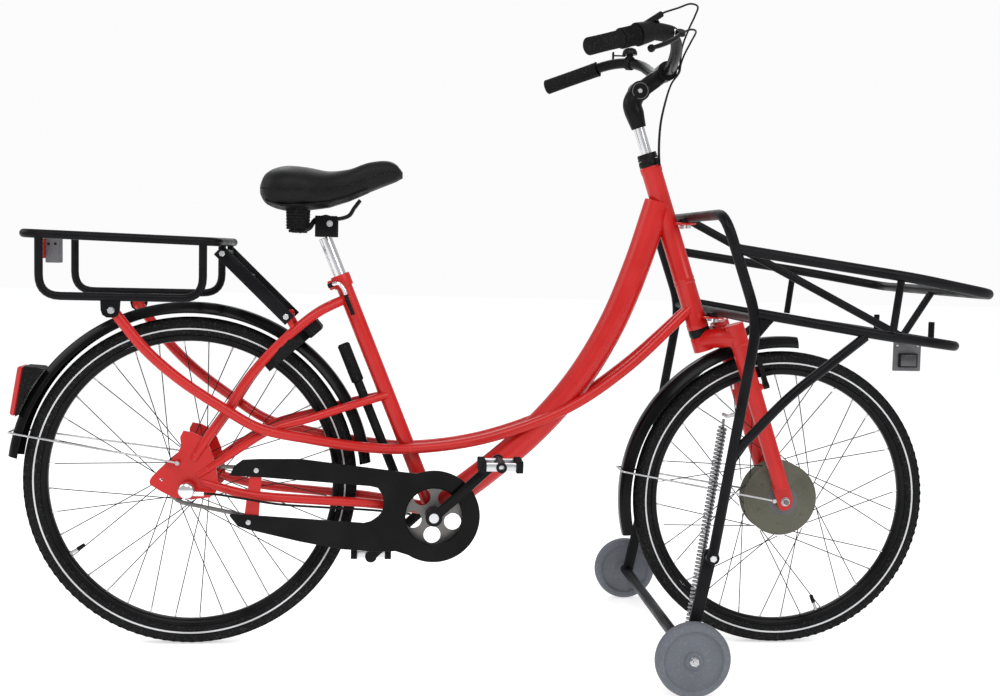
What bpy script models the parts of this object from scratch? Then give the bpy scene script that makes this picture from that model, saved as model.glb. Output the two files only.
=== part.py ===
"""Transport bicycle with a front carrier, a rear rack and a two-wheel front stand.

Lengths are metres and angles are radians. The model is laid out from the rear axle: +X runs
forward, +Y to the rider's left, +Z up from the ground. A root empty then carries everything so
that the origin lies on the ground under the middle of the bicycle's box.
"""

import math

import bmesh
import bpy
from mathutils import Matrix, Vector

# Clearances
FIT = 0.0003
RUNNING_GAP = 0.0006

# Facets of round pieces
WHEEL_STEPS = 24
HEAD_SIDES = 12
SHAFT_SIDES = 12
TUBE_SIDES = 8
THIN_SIDES = 6
CHAINRING_STEPS = 12
SPROCKET_STEPS = 6

# Wheels
WHEELBASE = 1.210
REAR_WHEEL_RADIUS = 0.332
FRONT_WHEEL_RADIUS = 0.307
TYRE_WIDTH = 0.039
TYRE_DEPTH = 0.037
RIM_DEPTH = 0.0124
RIM_WIDTH = 0.027
SPOKE_COUNT = 36
SPOKE_THICKNESS = 0.0020
SPOKE_CROSSING_GAP = 0.0026
SPOKE_PHASE = math.radians(3.5)
REAR_LACING_ANGLE = math.radians(62)
FRONT_LACING_ANGLE = math.radians(44)

# Hubs and axles
REAR_FLANGE_RADIUS = 0.034
REAR_FLANGE_SPREAD = 0.056
REAR_BARREL_RADIUS = 0.024
REAR_HUB_LENGTH = 0.078
MOTOR_RADIUS = 0.066
MOTOR_FLANGE_RADIUS = 0.077
MOTOR_FLANGE_SPREAD = 0.040
MOTOR_LENGTH = 0.080
FLANGE_WIDTH = 0.003
AXLE_RADIUS = 0.005
AXLE_NUT_RADIUS = 0.0095
AXLE_NUT_HEIGHT = 0.0078
FRONT_AXLE_END = 0.006

# Frame
BRACKET_AHEAD = 0.487
BRACKET_HEIGHT = 0.275
BRACKET_SHELL_RADIUS = 0.0205
BRACKET_SHELL_LENGTH = 0.068
BRACKET_BORE_RADIUS = 0.0172
SEAT_ANGLE = math.radians(22.3)
SEAT_TUBE_LENGTH = 0.517
SEAT_TUBE_RADIUS = 0.0160
COLLAR_RADIUS = 0.0195
COLLAR_HEIGHT = 0.026
COLLAR_LUG_LENGTH = 0.014
COLLAR_LUG_WIDTH = 0.017
SKEWER_RADIUS = 0.0050
SKEWER_END = 0.0160
SKEWER_NUT_RADIUS = 0.0080
SKEWER_NUT_HEIGHT = 0.0075
HEAD_ANGLE = math.radians(18.6)
HEAD_LENGTH = 0.347
HEAD_TUBE_RADIUS = 0.0210
HEAD_BORE_RADIUS = 0.0175
HEAD_RIDGE_UP = 0.104
HEAD_RIDGE_LENGTH = 0.005
HEAD_RIDGE_RISE = 0.0011
DOWN_TUBE_RADIUS = 0.0275
DOWN_TUBE_FLATNESS = 0.84
DOWN_TUBE_BOW = 0.084
DOWN_TUBE_TOP = 0.272
RAIL_RADIUS = 0.0105
SEAT_STAY_RADIUS = 0.0095
MIDDLE_STAY_RADIUS = 0.0085
CHAIN_STAY_RADIUS = 0.0095
SEAT_STAY_TOP = 0.468
MIDDLE_STAY_TOP = 0.256
DROPOUT_OFFSET = 0.064
DROPOUT_THICKNESS = 0.006
EYELET_RADIUS = 0.0115
BRIDGE_RADIUS = 0.0045

# Ways of the frame's bent tubes: share of the way, bow and side at each station
RAIL_START_AHEAD = -0.131
RAIL_START_RISE = 0.349
RAIL_TOP = 0.045
RAIL_STATIONS = (
    (0.051, -0.0756, 0.128),
    (0.104, -0.1338, 0.112),
    (0.171, -0.1897, 0.093),
    (0.235, -0.2352, 0.075),
    (0.318, -0.2600, 0.053),
    (0.412, -0.2790, 0.0415),
    (0.495, -0.2855, 0.0255),
    (0.627, -0.2662, 0.0260),
    (0.774, -0.2051, 0.0275),
    (0.883, -0.1220, 0.0255),
)
SEAT_STAY_STATIONS = (
    (0.104, 0.0089, 0.066),
    (0.270, 0.0194, 0.066),
    (0.422, 0.0318, 0.063),
    (0.555, 0.0355, 0.060),
    (0.721, 0.0326, 0.054),
    (0.863, 0.0226, 0.038),
)
MIDDLE_STAY_STATIONS = (
    (0.235, 0.0187, 0.064),
    (0.407, 0.0288, 0.058),
    (0.625, 0.0189, 0.049),
    (0.800, 0.0120, 0.0405),
)
CHAIN_STAY_STATIONS = (
    (0.201, -0.0116, 0.063),
    (0.500, -0.0060, 0.052),
    (0.700, 0.0, 0.043),
)
DROPOUT_OUTLINE = (
    (-0.069, 0.018),
    (-0.072, 0.003),
    (-0.026, -0.024),
    (0.044, -0.022),
    (0.060, 0.000),
    (0.050, 0.060),
    (0.030, 0.097),
    (-0.008, 0.111),
    (-0.012, 0.080),
    (-0.034, 0.050),
)

# Drive
CHAIN_OFFSET = 0.0445
CHAIN_PITCH = 0.0127
CHAINRING_TEETH = 38
SPROCKET_TEETH = 18
TOOTH_WIDTH = 0.003
CHAIN_WIDTH = 0.0070
CHAIN_DEPTH = 0.0086
DRIVER_RADIUS = 0.0155
CRANK_LENGTH = 0.171
CRANK_OFFSET = 0.0775
CRANK_THICKNESS = 0.0125
CRANK_WIDTH = 0.021
CRANK_RISE = math.radians(43)
CRANK_BOSS_RADIUS = 0.017
CRANK_EYE_RADIUS = 0.0125
CHAINRING_WINDOWS = 5
CHAINRING_WINDOW_RADIUS = 0.0145
CHAINRING_WINDOW_AT = 0.044
SPINDLE_RADIUS = 0.0085
PEDAL_AXLE_RADIUS = 0.0048
PEDAL_LENGTH = 0.088
PEDAL_WIDTH = 0.086
PEDAL_HEIGHT = 0.024
PEDAL_CAGE_WIDTH = 0.014
PEDAL_CORE_RADIUS = 0.0105

# Chain guard, with its outline measured from the bottom bracket
GUARD_OFFSET = 0.0692
GUARD_THICKNESS = 0.0045
GUARD_DISC_RADIUS = 0.093
GUARD_WINDOW_RADIUS = 0.059
GUARD_SCREW_RADIUS = 0.0055
GUARD_SCREW_HEAD = 0.0025
GUARD_SCREWS = ((-0.352, 0.0904), (-0.3667, -0.0134))
GUARD_OUTLINE = (
    (-0.2664, 0.1150),
    (-0.3814, 0.1116),
    (-0.4048, 0.0790),
    (-0.2030, 0.0664),
    (-0.1121, 0.0583),
    (-0.0996, 0.0242),
    (-0.1111, 0.0),
    (-0.1387, -0.0137),
    (-0.4052, 0.0037),
    (-0.3873, -0.0215),
    (-0.2644, -0.0521),
    (-0.1828, -0.0669),
)

# Mudguards
MUDGUARD_WIDTH = 0.060
MUDGUARD_WALL = 0.0018
MUDGUARD_SKIRT = 0.022
MUDGUARD_STAY_RADIUS = 0.0021
MUDGUARD_STAY_EYE = 0.0045
REAR_MUDGUARD_GAP = 0.031
FRONT_MUDGUARD_GAP = 0.032
REAR_MUDGUARD_SPAN = (math.radians(6.7), math.radians(172.3))
FRONT_MUDGUARD_SPAN = (math.radians(85.5), math.radians(194.0))
REAR_STAY_ANGLE = math.radians(164.5)
FRONT_STAY_ANGLE = math.radians(170.5)

# Rear rack
RACK_TUBE_RADIUS = 0.0085
RACK_WIDTH = 0.299
RACK_REAR = -0.297
RACK_FRONT = 0.066
RACK_TOP_HEIGHT = 0.818
RACK_LOWER_HEIGHT = 0.706
RACK_TILT = -0.024
RACK_CROSS_BARS = (-0.215, -0.105, 0.005)
RACK_UPRIGHT_REAR = -0.264
RACK_UPRIGHT_FRONT = 0.039
RACK_PLATE_THICKNESS = 0.004
RACK_BOLT_RADIUS = 0.0068
STRUT_SPREAD = 0.0745
STRUT_THICKNESS = 0.004
STRUT_WIDTH = 0.026
STRUT_BOLT_RADIUS = 0.0065
REFLECTOR_LENGTH = 0.092
REFLECTOR_HEIGHT = 0.040
REFLECTOR_THICKNESS = 0.010
REFLECTOR_BRACKET = Vector((0.028, 0.030, 0.058))

# Tail light
LIGHT_WIDTH = 0.056
LIGHT_TOP = (-0.324, 0.229)
LIGHT_FOOT = (-0.341, 0.128)
LENS_THICKNESS = 0.0115

# Ring lock
LOCK_RING_RADIUS = 0.0575
LOCK_RING_HALF_WIDTH = 0.0085
LOCK_THICKNESS = 0.024
LOCK_MOUTH = math.radians(50)
LOCK_LUG_ANGLE = math.radians(112)
LOCK_LUG_LENGTH = 0.017
SHACKLE_RADIUS = 0.0040
SHACKLE_GAP = 0.0010
SHACKLE_SPAN = math.radians(150)

# Hand pump
PUMP_OFFSET = 0.0445
PUMP_BOTTOM = 0.060
PUMP_HANDLE_BOTTOM = 0.302
PUMP_TOP = 0.385
PUMP_BARREL_RADIUS = 0.0095
PUMP_HANDLE_RADIUS = 0.0130

# Rear gear's box and cable
GEAR_BOX_RADIUS = 0.0165
GEAR_BOX_WIDTH = 0.026
SHIFT_CABLE_RADIUS = 0.0024
SHIFT_CABLE_WAY = (
    Vector((0.020, 0.001, -0.001)),
    Vector((0.075, 0.004, -0.010)),
    Vector((0.140, 0.018, -0.023)),
    Vector((0.220, 0.034, -0.0315)),
    Vector((0.330, 0.0475, -0.0400)),
    Vector((0.405, 0.0610, -0.0500)),
)

# Seatpost and saddle
SEATPOST_RADIUS = 0.0135
SEATPOST_SHOWN = 0.0805
SEATPOST_INSERTED = 0.190
CLAMP_RADIUS = 0.0210
CLAMP_HALF_LENGTH = 0.0300
CLAMP_AHEAD = 0.0120
SADDLE_REAR = 0.131
SADDLE_LENGTH = 0.284
SADDLE_SECTIONS = (
    (0.000, 0.046, 0.933, 0.915),
    (0.060, 0.088, 0.954, 0.900),
    (0.170, 0.104, 0.967, 0.890),
    (0.330, 0.100, 0.966, 0.892),
    (0.480, 0.071, 0.960, 0.898),
    (0.620, 0.045, 0.966, 0.911),
    (0.760, 0.034, 0.981, 0.929),
    (0.900, 0.029, 0.983, 0.944),
    (1.000, 0.015, 0.960, 0.950),
)
SHELL_DEPTH = 0.010
SHELL_SHARE = 0.86
BOOT_RADIUS = 0.0195
BOOT_TOP_RADIUS = 0.0215
BOOT_BOTTOM = 0.842
BOOT_SIDE = 0.046
BOOT_AHEAD = 0.207
BOOT_PAD_RADIUS = 0.016
BOOT_PAD_THICKNESS = 0.006
SADDLE_WIRE_RADIUS = 0.0036
SADDLE_WIRE_SPREAD = 0.0215
SADDLE_WIRE_HEIGHT = 0.0135
SADDLE_NOSE_AHEAD = 0.0715

# Fork
FORK_LENGTH = 0.391
FORK_RAKE = 0.0593
FORK_SPREAD = 0.120
BLADE_RADIUS = 0.0175
BLADE_TAPER = 0.92
BLADE_TOP = -0.020
BLADE_BOTTOM = -0.360
BLADE_CAP_RADIUS = 0.0200
CROWN_UP = -0.027
CROWN_RADIUS = 0.0205
FORK_DROPOUT_OFFSET = 0.0525
FORK_DROPOUT_THICKNESS = 0.006
STEERER_RADIUS = 0.0150
STEERER_ABOVE_HEAD = 0.028
CUP_RADIUS = 0.0225
CUP_DEPTH = 0.010
LOWER_CUP_HEIGHT = 0.017
UPPER_CUP_HEIGHT = 0.014
LOCKNUT_HEIGHT = 0.013

# Front brake
BRAKE_BOSS_UP = -0.150
BRAKE_BOSS_SPREAD = 0.0410
BRAKE_BOSS_RADIUS = 0.0075
BRAKE_PIN_RADIUS = 0.0040
BRAKE_PIN_LENGTH = 0.013
BRAKE_ARM_LENGTH = 0.062
BRAKE_HUB_RADIUS = 0.0080
BRAKE_PAD_RISE = 0.028
BRAKE_PAD_GAP = 0.0020
BRAKE_PAD_SIZE = Vector((0.050, 0.009, 0.0095))

# Stem and handlebar
QUILL_RADIUS = 0.0111
QUILL_INSERTED = 0.070
STEM_BASE_UP = 0.428
STEM_PIVOT_UP = 0.4984
STEM_PIVOT_AHEAD = 0.0210
STEM_BOSS_RADIUS = 0.0205
STEM_BOSS_HALF = 0.0095
STEM_CHEEK_OUTER = 0.0185
STEM_BOLT_RADIUS = 0.0050
STEM_ARM_HEIGHT = 0.030
BAR_CLAMP_UP = 0.5203
BAR_CLAMP_AHEAD = 0.0853
BAR_CLAMP_RADIUS = 0.0127
BAR_CLAMP_WALL = 0.0075
BAR_CLAMP_HALF = 0.0210
BAR_RADIUS = 0.0110
BAR_STATIONS = (
    (0.000, 0.000, 0.000),
    (0.000, 0.032, 0.000),
    (-0.0015, 0.062, 0.0010),
    (-0.0055, 0.100, 0.0085),
    (-0.0095, 0.140, 0.0210),
    (-0.0170, 0.172, 0.0335),
    (-0.0380, 0.205, 0.0435),
    (-0.0780, 0.236, 0.0425),
)
BAR_END = (-0.204, 0.311, -0.0005)
BAR_CLUTTER_STATION = 6
GRIP_RADIUS = 0.0165
GRIP_STRETCH = 0.150
RIGHT_GRIP_LENGTH = 0.073
LEFT_GRIP_LENGTH = 0.122
SLEEVE_LENGTH = 0.038
SLEEVE_RADIUS = 0.0200
HOUSING_LENGTH = 0.036
HOUSING_RADIUS = 0.0225
LINK_WALL = 0.0030
SHIFT_BARREL_RADIUS = 0.0062
BRAKE_BARREL_RADIUS = 0.0048

# Brake lever and bell
PERCH_REACH = 0.026
LEVER_ALONG = 0.050
LEVER_REACH = 0.046
LEVER_DROP = 0.028
LEVER_EYE_RADIUS = 0.0095
LEVER_HALF_HEIGHT = 0.0045
LEVER_BLADE_RADIUS = 0.0046
LEVER_BALL_RADIUS = 0.0075
BELL_CLAMP_RADIUS = 0.0150
BELL_POST_RADIUS = 0.0075
BELL_RADIUS = 0.0165
BELL_RISE = 0.034
BELL_LEVER_RISE = 0.0158

# Control cables, measured from the handlebar's clamp
CONTROL_CABLE_RADIUS = 0.0024
SHIFT_LOOP = (
    Vector((-0.0190, -0.1900, 0.0948)),
    Vector((0.0134, -0.1550, 0.1115)),
    Vector((0.0329, -0.1300, 0.1110)),
    Vector((0.0322, -0.1100, 0.0952)),
    Vector((0.0267, -0.0850, 0.0740)),
    Vector((0.0184, -0.0550, 0.0411)),
)
BRAKE_LOOP = (
    Vector((0.0118, -0.1700, 0.0590)),
    Vector((0.0284, -0.1400, 0.0606)),
    Vector((0.0282, -0.1000, 0.0465)),
    Vector((0.0242, -0.0580, 0.0290)),
)
CABLE_STRAIGHT = 0.004
CABLE_JOIN = Vector((0.0255, -0.0400, 0.0197))
CABLE_FALL = (
    Vector((0.0226, -0.0380, -0.0039)),
    Vector((0.0065, -0.0360, -0.0281)),
    Vector((-0.0050, -0.0340, -0.0700)),
    Vector((-0.0115, -0.0320, -0.1099)),
    Vector((-0.0126, -0.0300, -0.1599)),
    Vector((-0.0103, -0.0290, -0.1918)),
)

# Front carrier, measured from the head tube's lower end
EAR_REACH = 0.030
EAR_ROOT = 0.012
EAR_THICKNESS = 0.004
EAR_WIDTH = 0.084
UPPER_EAR_RISE = 0.2155
LOWER_EAR_RISE = 0.0255
EAR_NUT_RADIUS = 0.0058
EAR_NUT_HEIGHT = 0.010
CARRIER_BOLTS = ((-0.030, 0.016), (0.030, 0.016))
CARRIER_TUBE_RADIUS = 0.0100
CARRIER_REAR_WIDTH = 0.664
CARRIER_FRONT_WIDTH = 0.576
CARRIER_CROSS_AHEAD = 0.0150
CARRIER_PLATE = 0.004
LEG_KNEE = (0.032, 0.031)
TOP_LOOP_START = (-0.010, 0.163)
TOP_LOOP_TURN = (0.331, 0.116)
TOP_LOOP_TIP = (0.497, 0.088)
LOW_LOOP_START = (0.030, 0.047)
LOW_LOOP_TURN = (0.270, 0.010)
LOW_LOOP_TIP = (0.435, -0.011)
UPRIGHT_TOP = (0.298, 0.112)
UPRIGHT_FOOT = (0.287, 0.020)
BRACE_TOP = (0.235, 0.008)
BRACE_MIDDLE = (0.092, -0.107)
BRACE_FOOT = (-0.002, -0.210)
GUSSET = ((0.030, 0.050), (0.085, 0.041), (0.075, 0.020), (0.035, -0.016), (0.028, 0.0))
FOOT_PLATE = ((0.006, -0.186), (0.020, -0.184), (0.034, -0.172), (0.022, -0.196), (-0.008, -0.240))
STUD_SIDE = 0.15
STUD_RADIUS = 0.0062
STUD_RISE = 0.040
LAMP_PLATE_SIZE = Vector((0.060, 0.005, 0.062))
LAMP_LENS_SIZE = Vector((0.040, 0.011, 0.030))

# Front stand
STAND_PIVOT_HEIGHT = 0.253
STAND_PIVOT_BACK = 0.037
STAND_AXLE_BACK = 0.074
STAND_WHEEL_RADIUS = 0.070
STAND_WHEEL_WIDTH = 0.028
STAND_WHEEL_SPREAD = 0.715
STAND_WHEEL_STEPS = 16
STAND_AXLE_RADIUS = 0.0115
STAND_PIN_RADIUS = 0.0050
STAND_ARM_INSET = 0.0160
STAND_ARM_THICKNESS = 0.010
STAND_ARM_WIDTH = 0.024
STAND_NUT_RADIUS = 0.0085
SPRING_COILS = 14
SPRING_COIL_POINTS = 8
SPRING_RADIUS = 0.0078
SPRING_WIRE_RADIUS = 0.0019
SPRING_END = 0.016
SPRING_SIDE = 0.2975
SPRING_HOOK = (-0.015, -0.144)
SPRING_PIN_RADIUS = 0.0035

# Derived stations of the layout
REAR_AXLE = Vector((0.0, 0.0, REAR_WHEEL_RADIUS))
FRONT_AXLE = Vector((WHEELBASE, 0.0, FRONT_WHEEL_RADIUS))
BRACKET = Vector((BRACKET_AHEAD, 0.0, BRACKET_HEIGHT))
STEER_UP = Vector((-math.sin(HEAD_ANGLE), 0.0, math.cos(HEAD_ANGLE)))
STEER_AHEAD = Vector((math.cos(HEAD_ANGLE), 0.0, math.sin(HEAD_ANGLE)))
SEAT_UP = Vector((-math.sin(SEAT_ANGLE), 0.0, math.cos(SEAT_ANGLE)))
SEAT_AHEAD = Vector((math.cos(SEAT_ANGLE), 0.0, math.sin(SEAT_ANGLE)))
SIDEWAYS = Vector((0.0, 1.0, 0.0))
UPWARD = Vector((0.0, 0.0, 1.0))
FORWARD = Vector((1.0, 0.0, 0.0))
HEAD_BOTTOM = FRONT_AXLE + STEER_UP * FORK_LENGTH - STEER_AHEAD * FORK_RAKE
HEAD_TOP = HEAD_BOTTOM + STEER_UP * HEAD_LENGTH
SEAT_TUBE_TOP = BRACKET + SEAT_UP * SEAT_TUBE_LENGTH
RAIL_START = REAR_AXLE + Vector((RAIL_START_AHEAD, 0.0, RAIL_START_RISE))
SEAT_STAY_START = REAR_AXLE + Vector((0.012, 0.0, 0.053))
MIDDLE_STAY_START = REAR_AXLE + Vector((0.020, 0.0, 0.020))
CHAIN_STAY_START = REAR_AXLE + Vector((0.030, 0.0, 0.008))
STRUT_TOP = Vector((RACK_FRONT, 0.0, RACK_TOP_HEIGHT - 0.0265))
STRUT_FOOT = REAR_AXLE + Vector((0.190, 0.0, 0.3385))
REAR_STAY_EYE = REAR_AXLE + Vector((-0.0174, 0.0, 0.0476))
FRONT_STAY_EYE = FRONT_AXLE + Vector((-0.024, 0.0, 0.002))
LOCK_CENTRE = REAR_AXLE + Vector((0.1815, 0.0, 0.2650))
LOCK_AXIS = Vector((0.751, 0.0, 0.660)).normalized()
LOCK_NORMAL = SIDEWAYS.cross(LOCK_AXIS)
STEM_PIVOT = HEAD_BOTTOM + STEER_UP * STEM_PIVOT_UP + STEER_AHEAD * STEM_PIVOT_AHEAD
BAR_CLAMP = HEAD_BOTTOM + STEER_UP * BAR_CLAMP_UP + STEER_AHEAD * BAR_CLAMP_AHEAD
STAND_PIVOT = Vector((HEAD_BOTTOM.x - STAND_PIVOT_BACK, 0.0, STAND_PIVOT_HEIGHT))
STAND_AXLE = Vector((HEAD_BOTTOM.x - STAND_AXLE_BACK, 0.0, STAND_WHEEL_RADIUS))
RACK_SIDE = RACK_WIDTH / 2
RAIL_START_SIDE = RACK_SIDE - RACK_PLATE_THICKNESS / 2 - RAIL_RADIUS - 2 * RUNNING_GAP
LEG_SIDE = CARRIER_REAR_WIDTH / 2
TIP_SIDE = CARRIER_FRONT_WIDTH / 2
STAND_ARM_SIDE = LEG_SIDE - STAND_ARM_INSET
CARRIER_EARS = (UPPER_EAR_RISE, LOWER_EAR_RISE)
BRAKE_BOSS_AHEAD = FORK_RAKE + BLADE_RADIUS + 0.010
REAR_MUDGUARD_REACH = REAR_WHEEL_RADIUS + REAR_MUDGUARD_GAP
FRONT_MUDGUARD_REACH = FRONT_WHEEL_RADIUS + FRONT_MUDGUARD_GAP
SPROCKET_PITCH_RADIUS = CHAIN_PITCH * SPROCKET_TEETH / (2 * math.pi)
CHAINRING_PITCH_RADIUS = CHAIN_PITCH * CHAINRING_TEETH / (2 * math.pi)

PARTS = bpy.data.collections.new("transport_bicycle")
CUTTERS = bpy.data.collections.new("cutters")


def clear_scene():
    """Remove the objects that a new file starts with and link the two collections."""
    for thing in list(bpy.data.objects):
        bpy.data.objects.remove(thing, do_unlink=True)
    for collection in (PARTS, CUTTERS):
        bpy.context.scene.collection.children.link(collection)


def steer_point(up, ahead=0.0, side=0.0):
    """Point measured along and ahead of the steering axis from the head tube's lower end."""
    return HEAD_BOTTOM + STEER_UP * up + STEER_AHEAD * ahead + SIDEWAYS * side


def seat_point(up, ahead=0.0, side=0.0):
    """Point measured along and ahead of the seat tube from the bottom bracket."""
    return BRACKET + SEAT_UP * up + SEAT_AHEAD * ahead + SIDEWAYS * side


def rear_point(x, z, side=0.0):
    """Point measured from the rear axle."""
    return REAR_AXLE + Vector((x, side, z))


def front_point(x, z, side=0.0):
    """Point measured from the head tube's lower end, along the ground's axes."""
    return HEAD_BOTTOM + Vector((x, side, z))


def work_object(name, data):
    """Object in the cutters collection, hidden until it is finished or used up."""
    thing = bpy.data.objects.new(name, data)
    thing.hide_render = True
    thing.display_type = "WIRE"
    CUTTERS.objects.link(thing)
    return thing


def settle(thing):
    """Replace an object's data by its evaluated mesh, with world placing and modifiers applied."""
    bpy.context.view_layer.update()
    graph = bpy.context.evaluated_depsgraph_get()
    mesh = bpy.data.meshes.new_from_object(thing.evaluated_get(graph))
    mesh.transform(thing.matrix_world)
    shell = bmesh.new()
    shell.from_mesh(mesh)
    bmesh.ops.remove_doubles(shell, verts=shell.verts, dist=1e-6)
    bmesh.ops.recalc_face_normals(shell, faces=shell.faces)
    shell.to_mesh(mesh)
    shell.free()
    name = thing.name
    bpy.data.objects.remove(thing, do_unlink=True)
    return work_object(name, mesh)


def from_bmesh(shell, matrix=None):
    """Work object from a bmesh, placed by a matrix."""
    mesh = bpy.data.meshes.new("solid")
    if matrix is not None:
        bmesh.ops.transform(shell, matrix=matrix, verts=shell.verts)
    shell.to_mesh(mesh)
    shell.free()
    return work_object("solid", mesh)


def facing(origin, direction, across=None):
    """Matrix whose local Z lies along direction and whose local X lies near across."""
    z_axis = direction.normalized()
    guide = across if across is not None else SIDEWAYS
    if abs(z_axis.dot(guide.normalized())) > 0.99:
        guide = Vector((1.0, 0.0, 0.0))
    x_axis = (guide - z_axis * guide.dot(z_axis)).normalized()
    y_axis = z_axis.cross(x_axis)
    turn = Matrix((x_axis, y_axis, z_axis)).transposed().to_4x4()
    return Matrix.Translation(origin) @ turn


def rod(start, end, radius, sides=16, end_radius=None):
    """Round bar, or a cone, between two points."""
    span = end - start
    shell = bmesh.new()
    bmesh.ops.create_cone(
        shell,
        cap_ends=True,
        segments=sides,
        radius1=radius,
        radius2=radius if end_radius is None else end_radius,
        depth=span.length,
    )
    return from_bmesh(shell, facing((start + end) / 2, span))


def cross_rod(centre, radius, near, far, sides=16):
    """Round bar along Y through centre, from side near to side far."""
    start = Vector((centre.x, near, centre.z))
    end = Vector((centre.x, far, centre.z))
    return rod(start, end, radius, sides)


def block(centre, size, ahead=None, up=None):
    """Box of a given size; its first edge lies along ahead and its third near up."""
    shell = bmesh.new()
    bmesh.ops.create_cube(shell, size=1.0)
    bmesh.ops.scale(shell, vec=size, verts=shell.verts)
    if ahead is None:
        return from_bmesh(shell, Matrix.Translation(centre))
    x_axis = ahead.normalized()
    guide = up if up is not None else UPWARD
    z_axis = (guide - x_axis * guide.dot(x_axis)).normalized()
    y_axis = z_axis.cross(x_axis)
    turn = Matrix((x_axis, y_axis, z_axis)).transposed().to_4x4()
    return from_bmesh(shell, Matrix.Translation(centre) @ turn)


def beam(start, end, width, height, up=None):
    """Rectangular bar between two points."""
    span = end - start
    return block((start + end) / 2, Vector((span.length, width, height)), span, up)


def rounded(thing, width, segments=1):
    """Round or chamfer the sharp edges of a solid."""
    bevel = thing.modifiers.new("rounded edges", "BEVEL")
    bevel.width = width
    bevel.segments = segments
    bevel.limit_method = "ANGLE"
    bevel.angle_limit = math.radians(40)
    return settle(thing)


def tube(points, radius, sides=8, closed=False, scales=None):
    """Round tube that follows points; scales widen or narrow it at each of them."""
    curve = bpy.data.curves.new("tube", "CURVE")
    curve.dimensions = "3D"
    curve.bevel_depth = radius
    curve.bevel_resolution = (sides - 4) // 2
    curve.use_fill_caps = True
    spline = curve.splines.new("POLY")
    spline.points.add(len(points) - 1)
    for index, point in enumerate(points):
        spline.points[index].co = (*point, 1.0)
        if scales is not None:
            spline.points[index].radius = scales[index]
    spline.use_cyclic_u = closed
    return settle(work_object("tube", curve))


def smooth(points, steps=3):
    """Points of a curve that runs smoothly through the given points."""
    result = []
    last = len(points) - 1
    for index in range(last):
        before = points[max(index - 1, 0)]
        start = points[index]
        end = points[index + 1]
        after = points[min(index + 2, last)]
        for step in range(steps):
            t = step / steps
            result.append(
                0.5
                * (
                    2 * start
                    + (end - before) * t
                    + (2 * before - 5 * start + 4 * end - after) * t ** 2
                    + (3 * start - before - 3 * end + after) * t ** 3
                )
            )
    result.append(points[last])
    return result


def bent(corners, radius, steps=4):
    """Straight runs between corners, joined by bends of about the given radius."""
    result = [corners[0]]
    for index in range(1, len(corners) - 1):
        corner = corners[index]
        back = corners[index - 1] - corner
        ahead = corners[index + 1] - corner
        reach = min(radius, 0.45 * back.length, 0.45 * ahead.length)
        start = corner + back.normalized() * reach
        end = corner + ahead.normalized() * reach
        for step in range(steps + 1):
            t = step / steps
            result.append(start * (1 - t) ** 2 + corner * 2 * t * (1 - t) + end * t ** 2)
    result.append(corners[-1])
    return result


def route(start, end, stations, steps=1):
    """Smooth way between two points, through stations of share of the way, bow and side."""
    span = Vector((end.x - start.x, 0.0, end.z - start.z))
    outward = Vector((-span.z, 0.0, span.x)).normalized()
    points = [start]
    for share, bow, side in stations:
        point = Vector((start.x, 0.0, start.z)) + span * share + outward * bow
        point.y = side
        points.append(point)
    points.append(end)
    return smooth(points, steps)


def turned(profile, origin, direction, steps=24, sweep=2 * math.pi, across=None, closed=True):
    """Turn a profile of (radius, height) pairs about an axis through origin."""
    shell = bmesh.new()
    corners = [shell.verts.new((radius, 0.0, height)) for radius, height in profile]
    for first, second in zip(corners, corners[1:]):
        shell.edges.new((first, second))
    if closed:
        shell.edges.new((corners[-1], corners[0]))
    thing = from_bmesh(shell)
    screw = thing.modifiers.new("turned", "SCREW")
    screw.axis = "Z"
    screw.angle = sweep
    screw.steps = steps
    screw.render_steps = steps
    screw.use_merge_vertices = True
    screw.merge_threshold = 0.00001
    thing = settle(thing)
    thing.data.transform(facing(origin, direction, across))
    return settle(thing)


def plate(outlines, near, far):
    """Flat plate between two sides, from closed outlines of (x, z) pairs; later ones are holes."""
    curve = bpy.data.curves.new("plate", "CURVE")
    curve.dimensions = "2D"
    curve.fill_mode = "BOTH"
    curve.extrude = abs(far - near) / 2
    for outline in outlines:
        spline = curve.splines.new("POLY")
        spline.points.add(len(outline) - 1)
        for control, (x, z) in zip(spline.points, outline):
            control.co = (x, z, 0.0, 1.0)
        spline.use_cyclic_u = True
    thing = work_object("plate", curve)
    standing = Matrix.Rotation(math.radians(90), 4, "X")
    thing.matrix_world = Matrix.Translation((0.0, (near + far) / 2, 0.0)) @ standing
    return settle(thing)


def arc(centre, radius, start, end, steps):
    """Points (x, z) along an arc, from angle start to angle end."""
    return [
        (
            centre.x + radius * math.cos(start + (end - start) * step / steps),
            centre.z + radius * math.sin(start + (end - start) * step / steps),
        )
        for step in range(steps + 1)
    ]


def circle(centre, radius, steps=24):
    """Closed ring of points (x, z)."""
    return arc(centre, radius, 0.0, 2 * math.pi * (steps - 1) / steps, steps - 1)


def clear_bore(radius, clearance, sides):
    """Radius of a faceted bore whose flats clear a round shaft by a clearance."""
    return (radius + clearance) / math.cos(math.pi / sides)


def wheel_start(steps):
    """Direction that a wheel's facets start in, so that a flat one stands on the ground."""
    return Vector((math.cos(math.pi / steps), 0.0, math.sin(math.pi / steps)))


def crossing(points, centre, reach):
    """Point where a way first comes within reach of a centre, seen from the side."""
    flat = [(point.x - centre.x, point.z - centre.z) for point in points]
    lengths = [math.hypot(x, z) for x, z in flat]
    for index in range(len(points) - 1):
        start, end = lengths[index], lengths[index + 1]
        if (start - reach) * (end - reach) <= 0.0:
            return points[index].lerp(points[index + 1], (start - reach) / (start - end))
    return points[-1]


def mirrored(profile):
    """Closed profile from its upper half, repeated below."""
    return profile + [(radius, -height) for radius, height in reversed(profile)]


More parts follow.
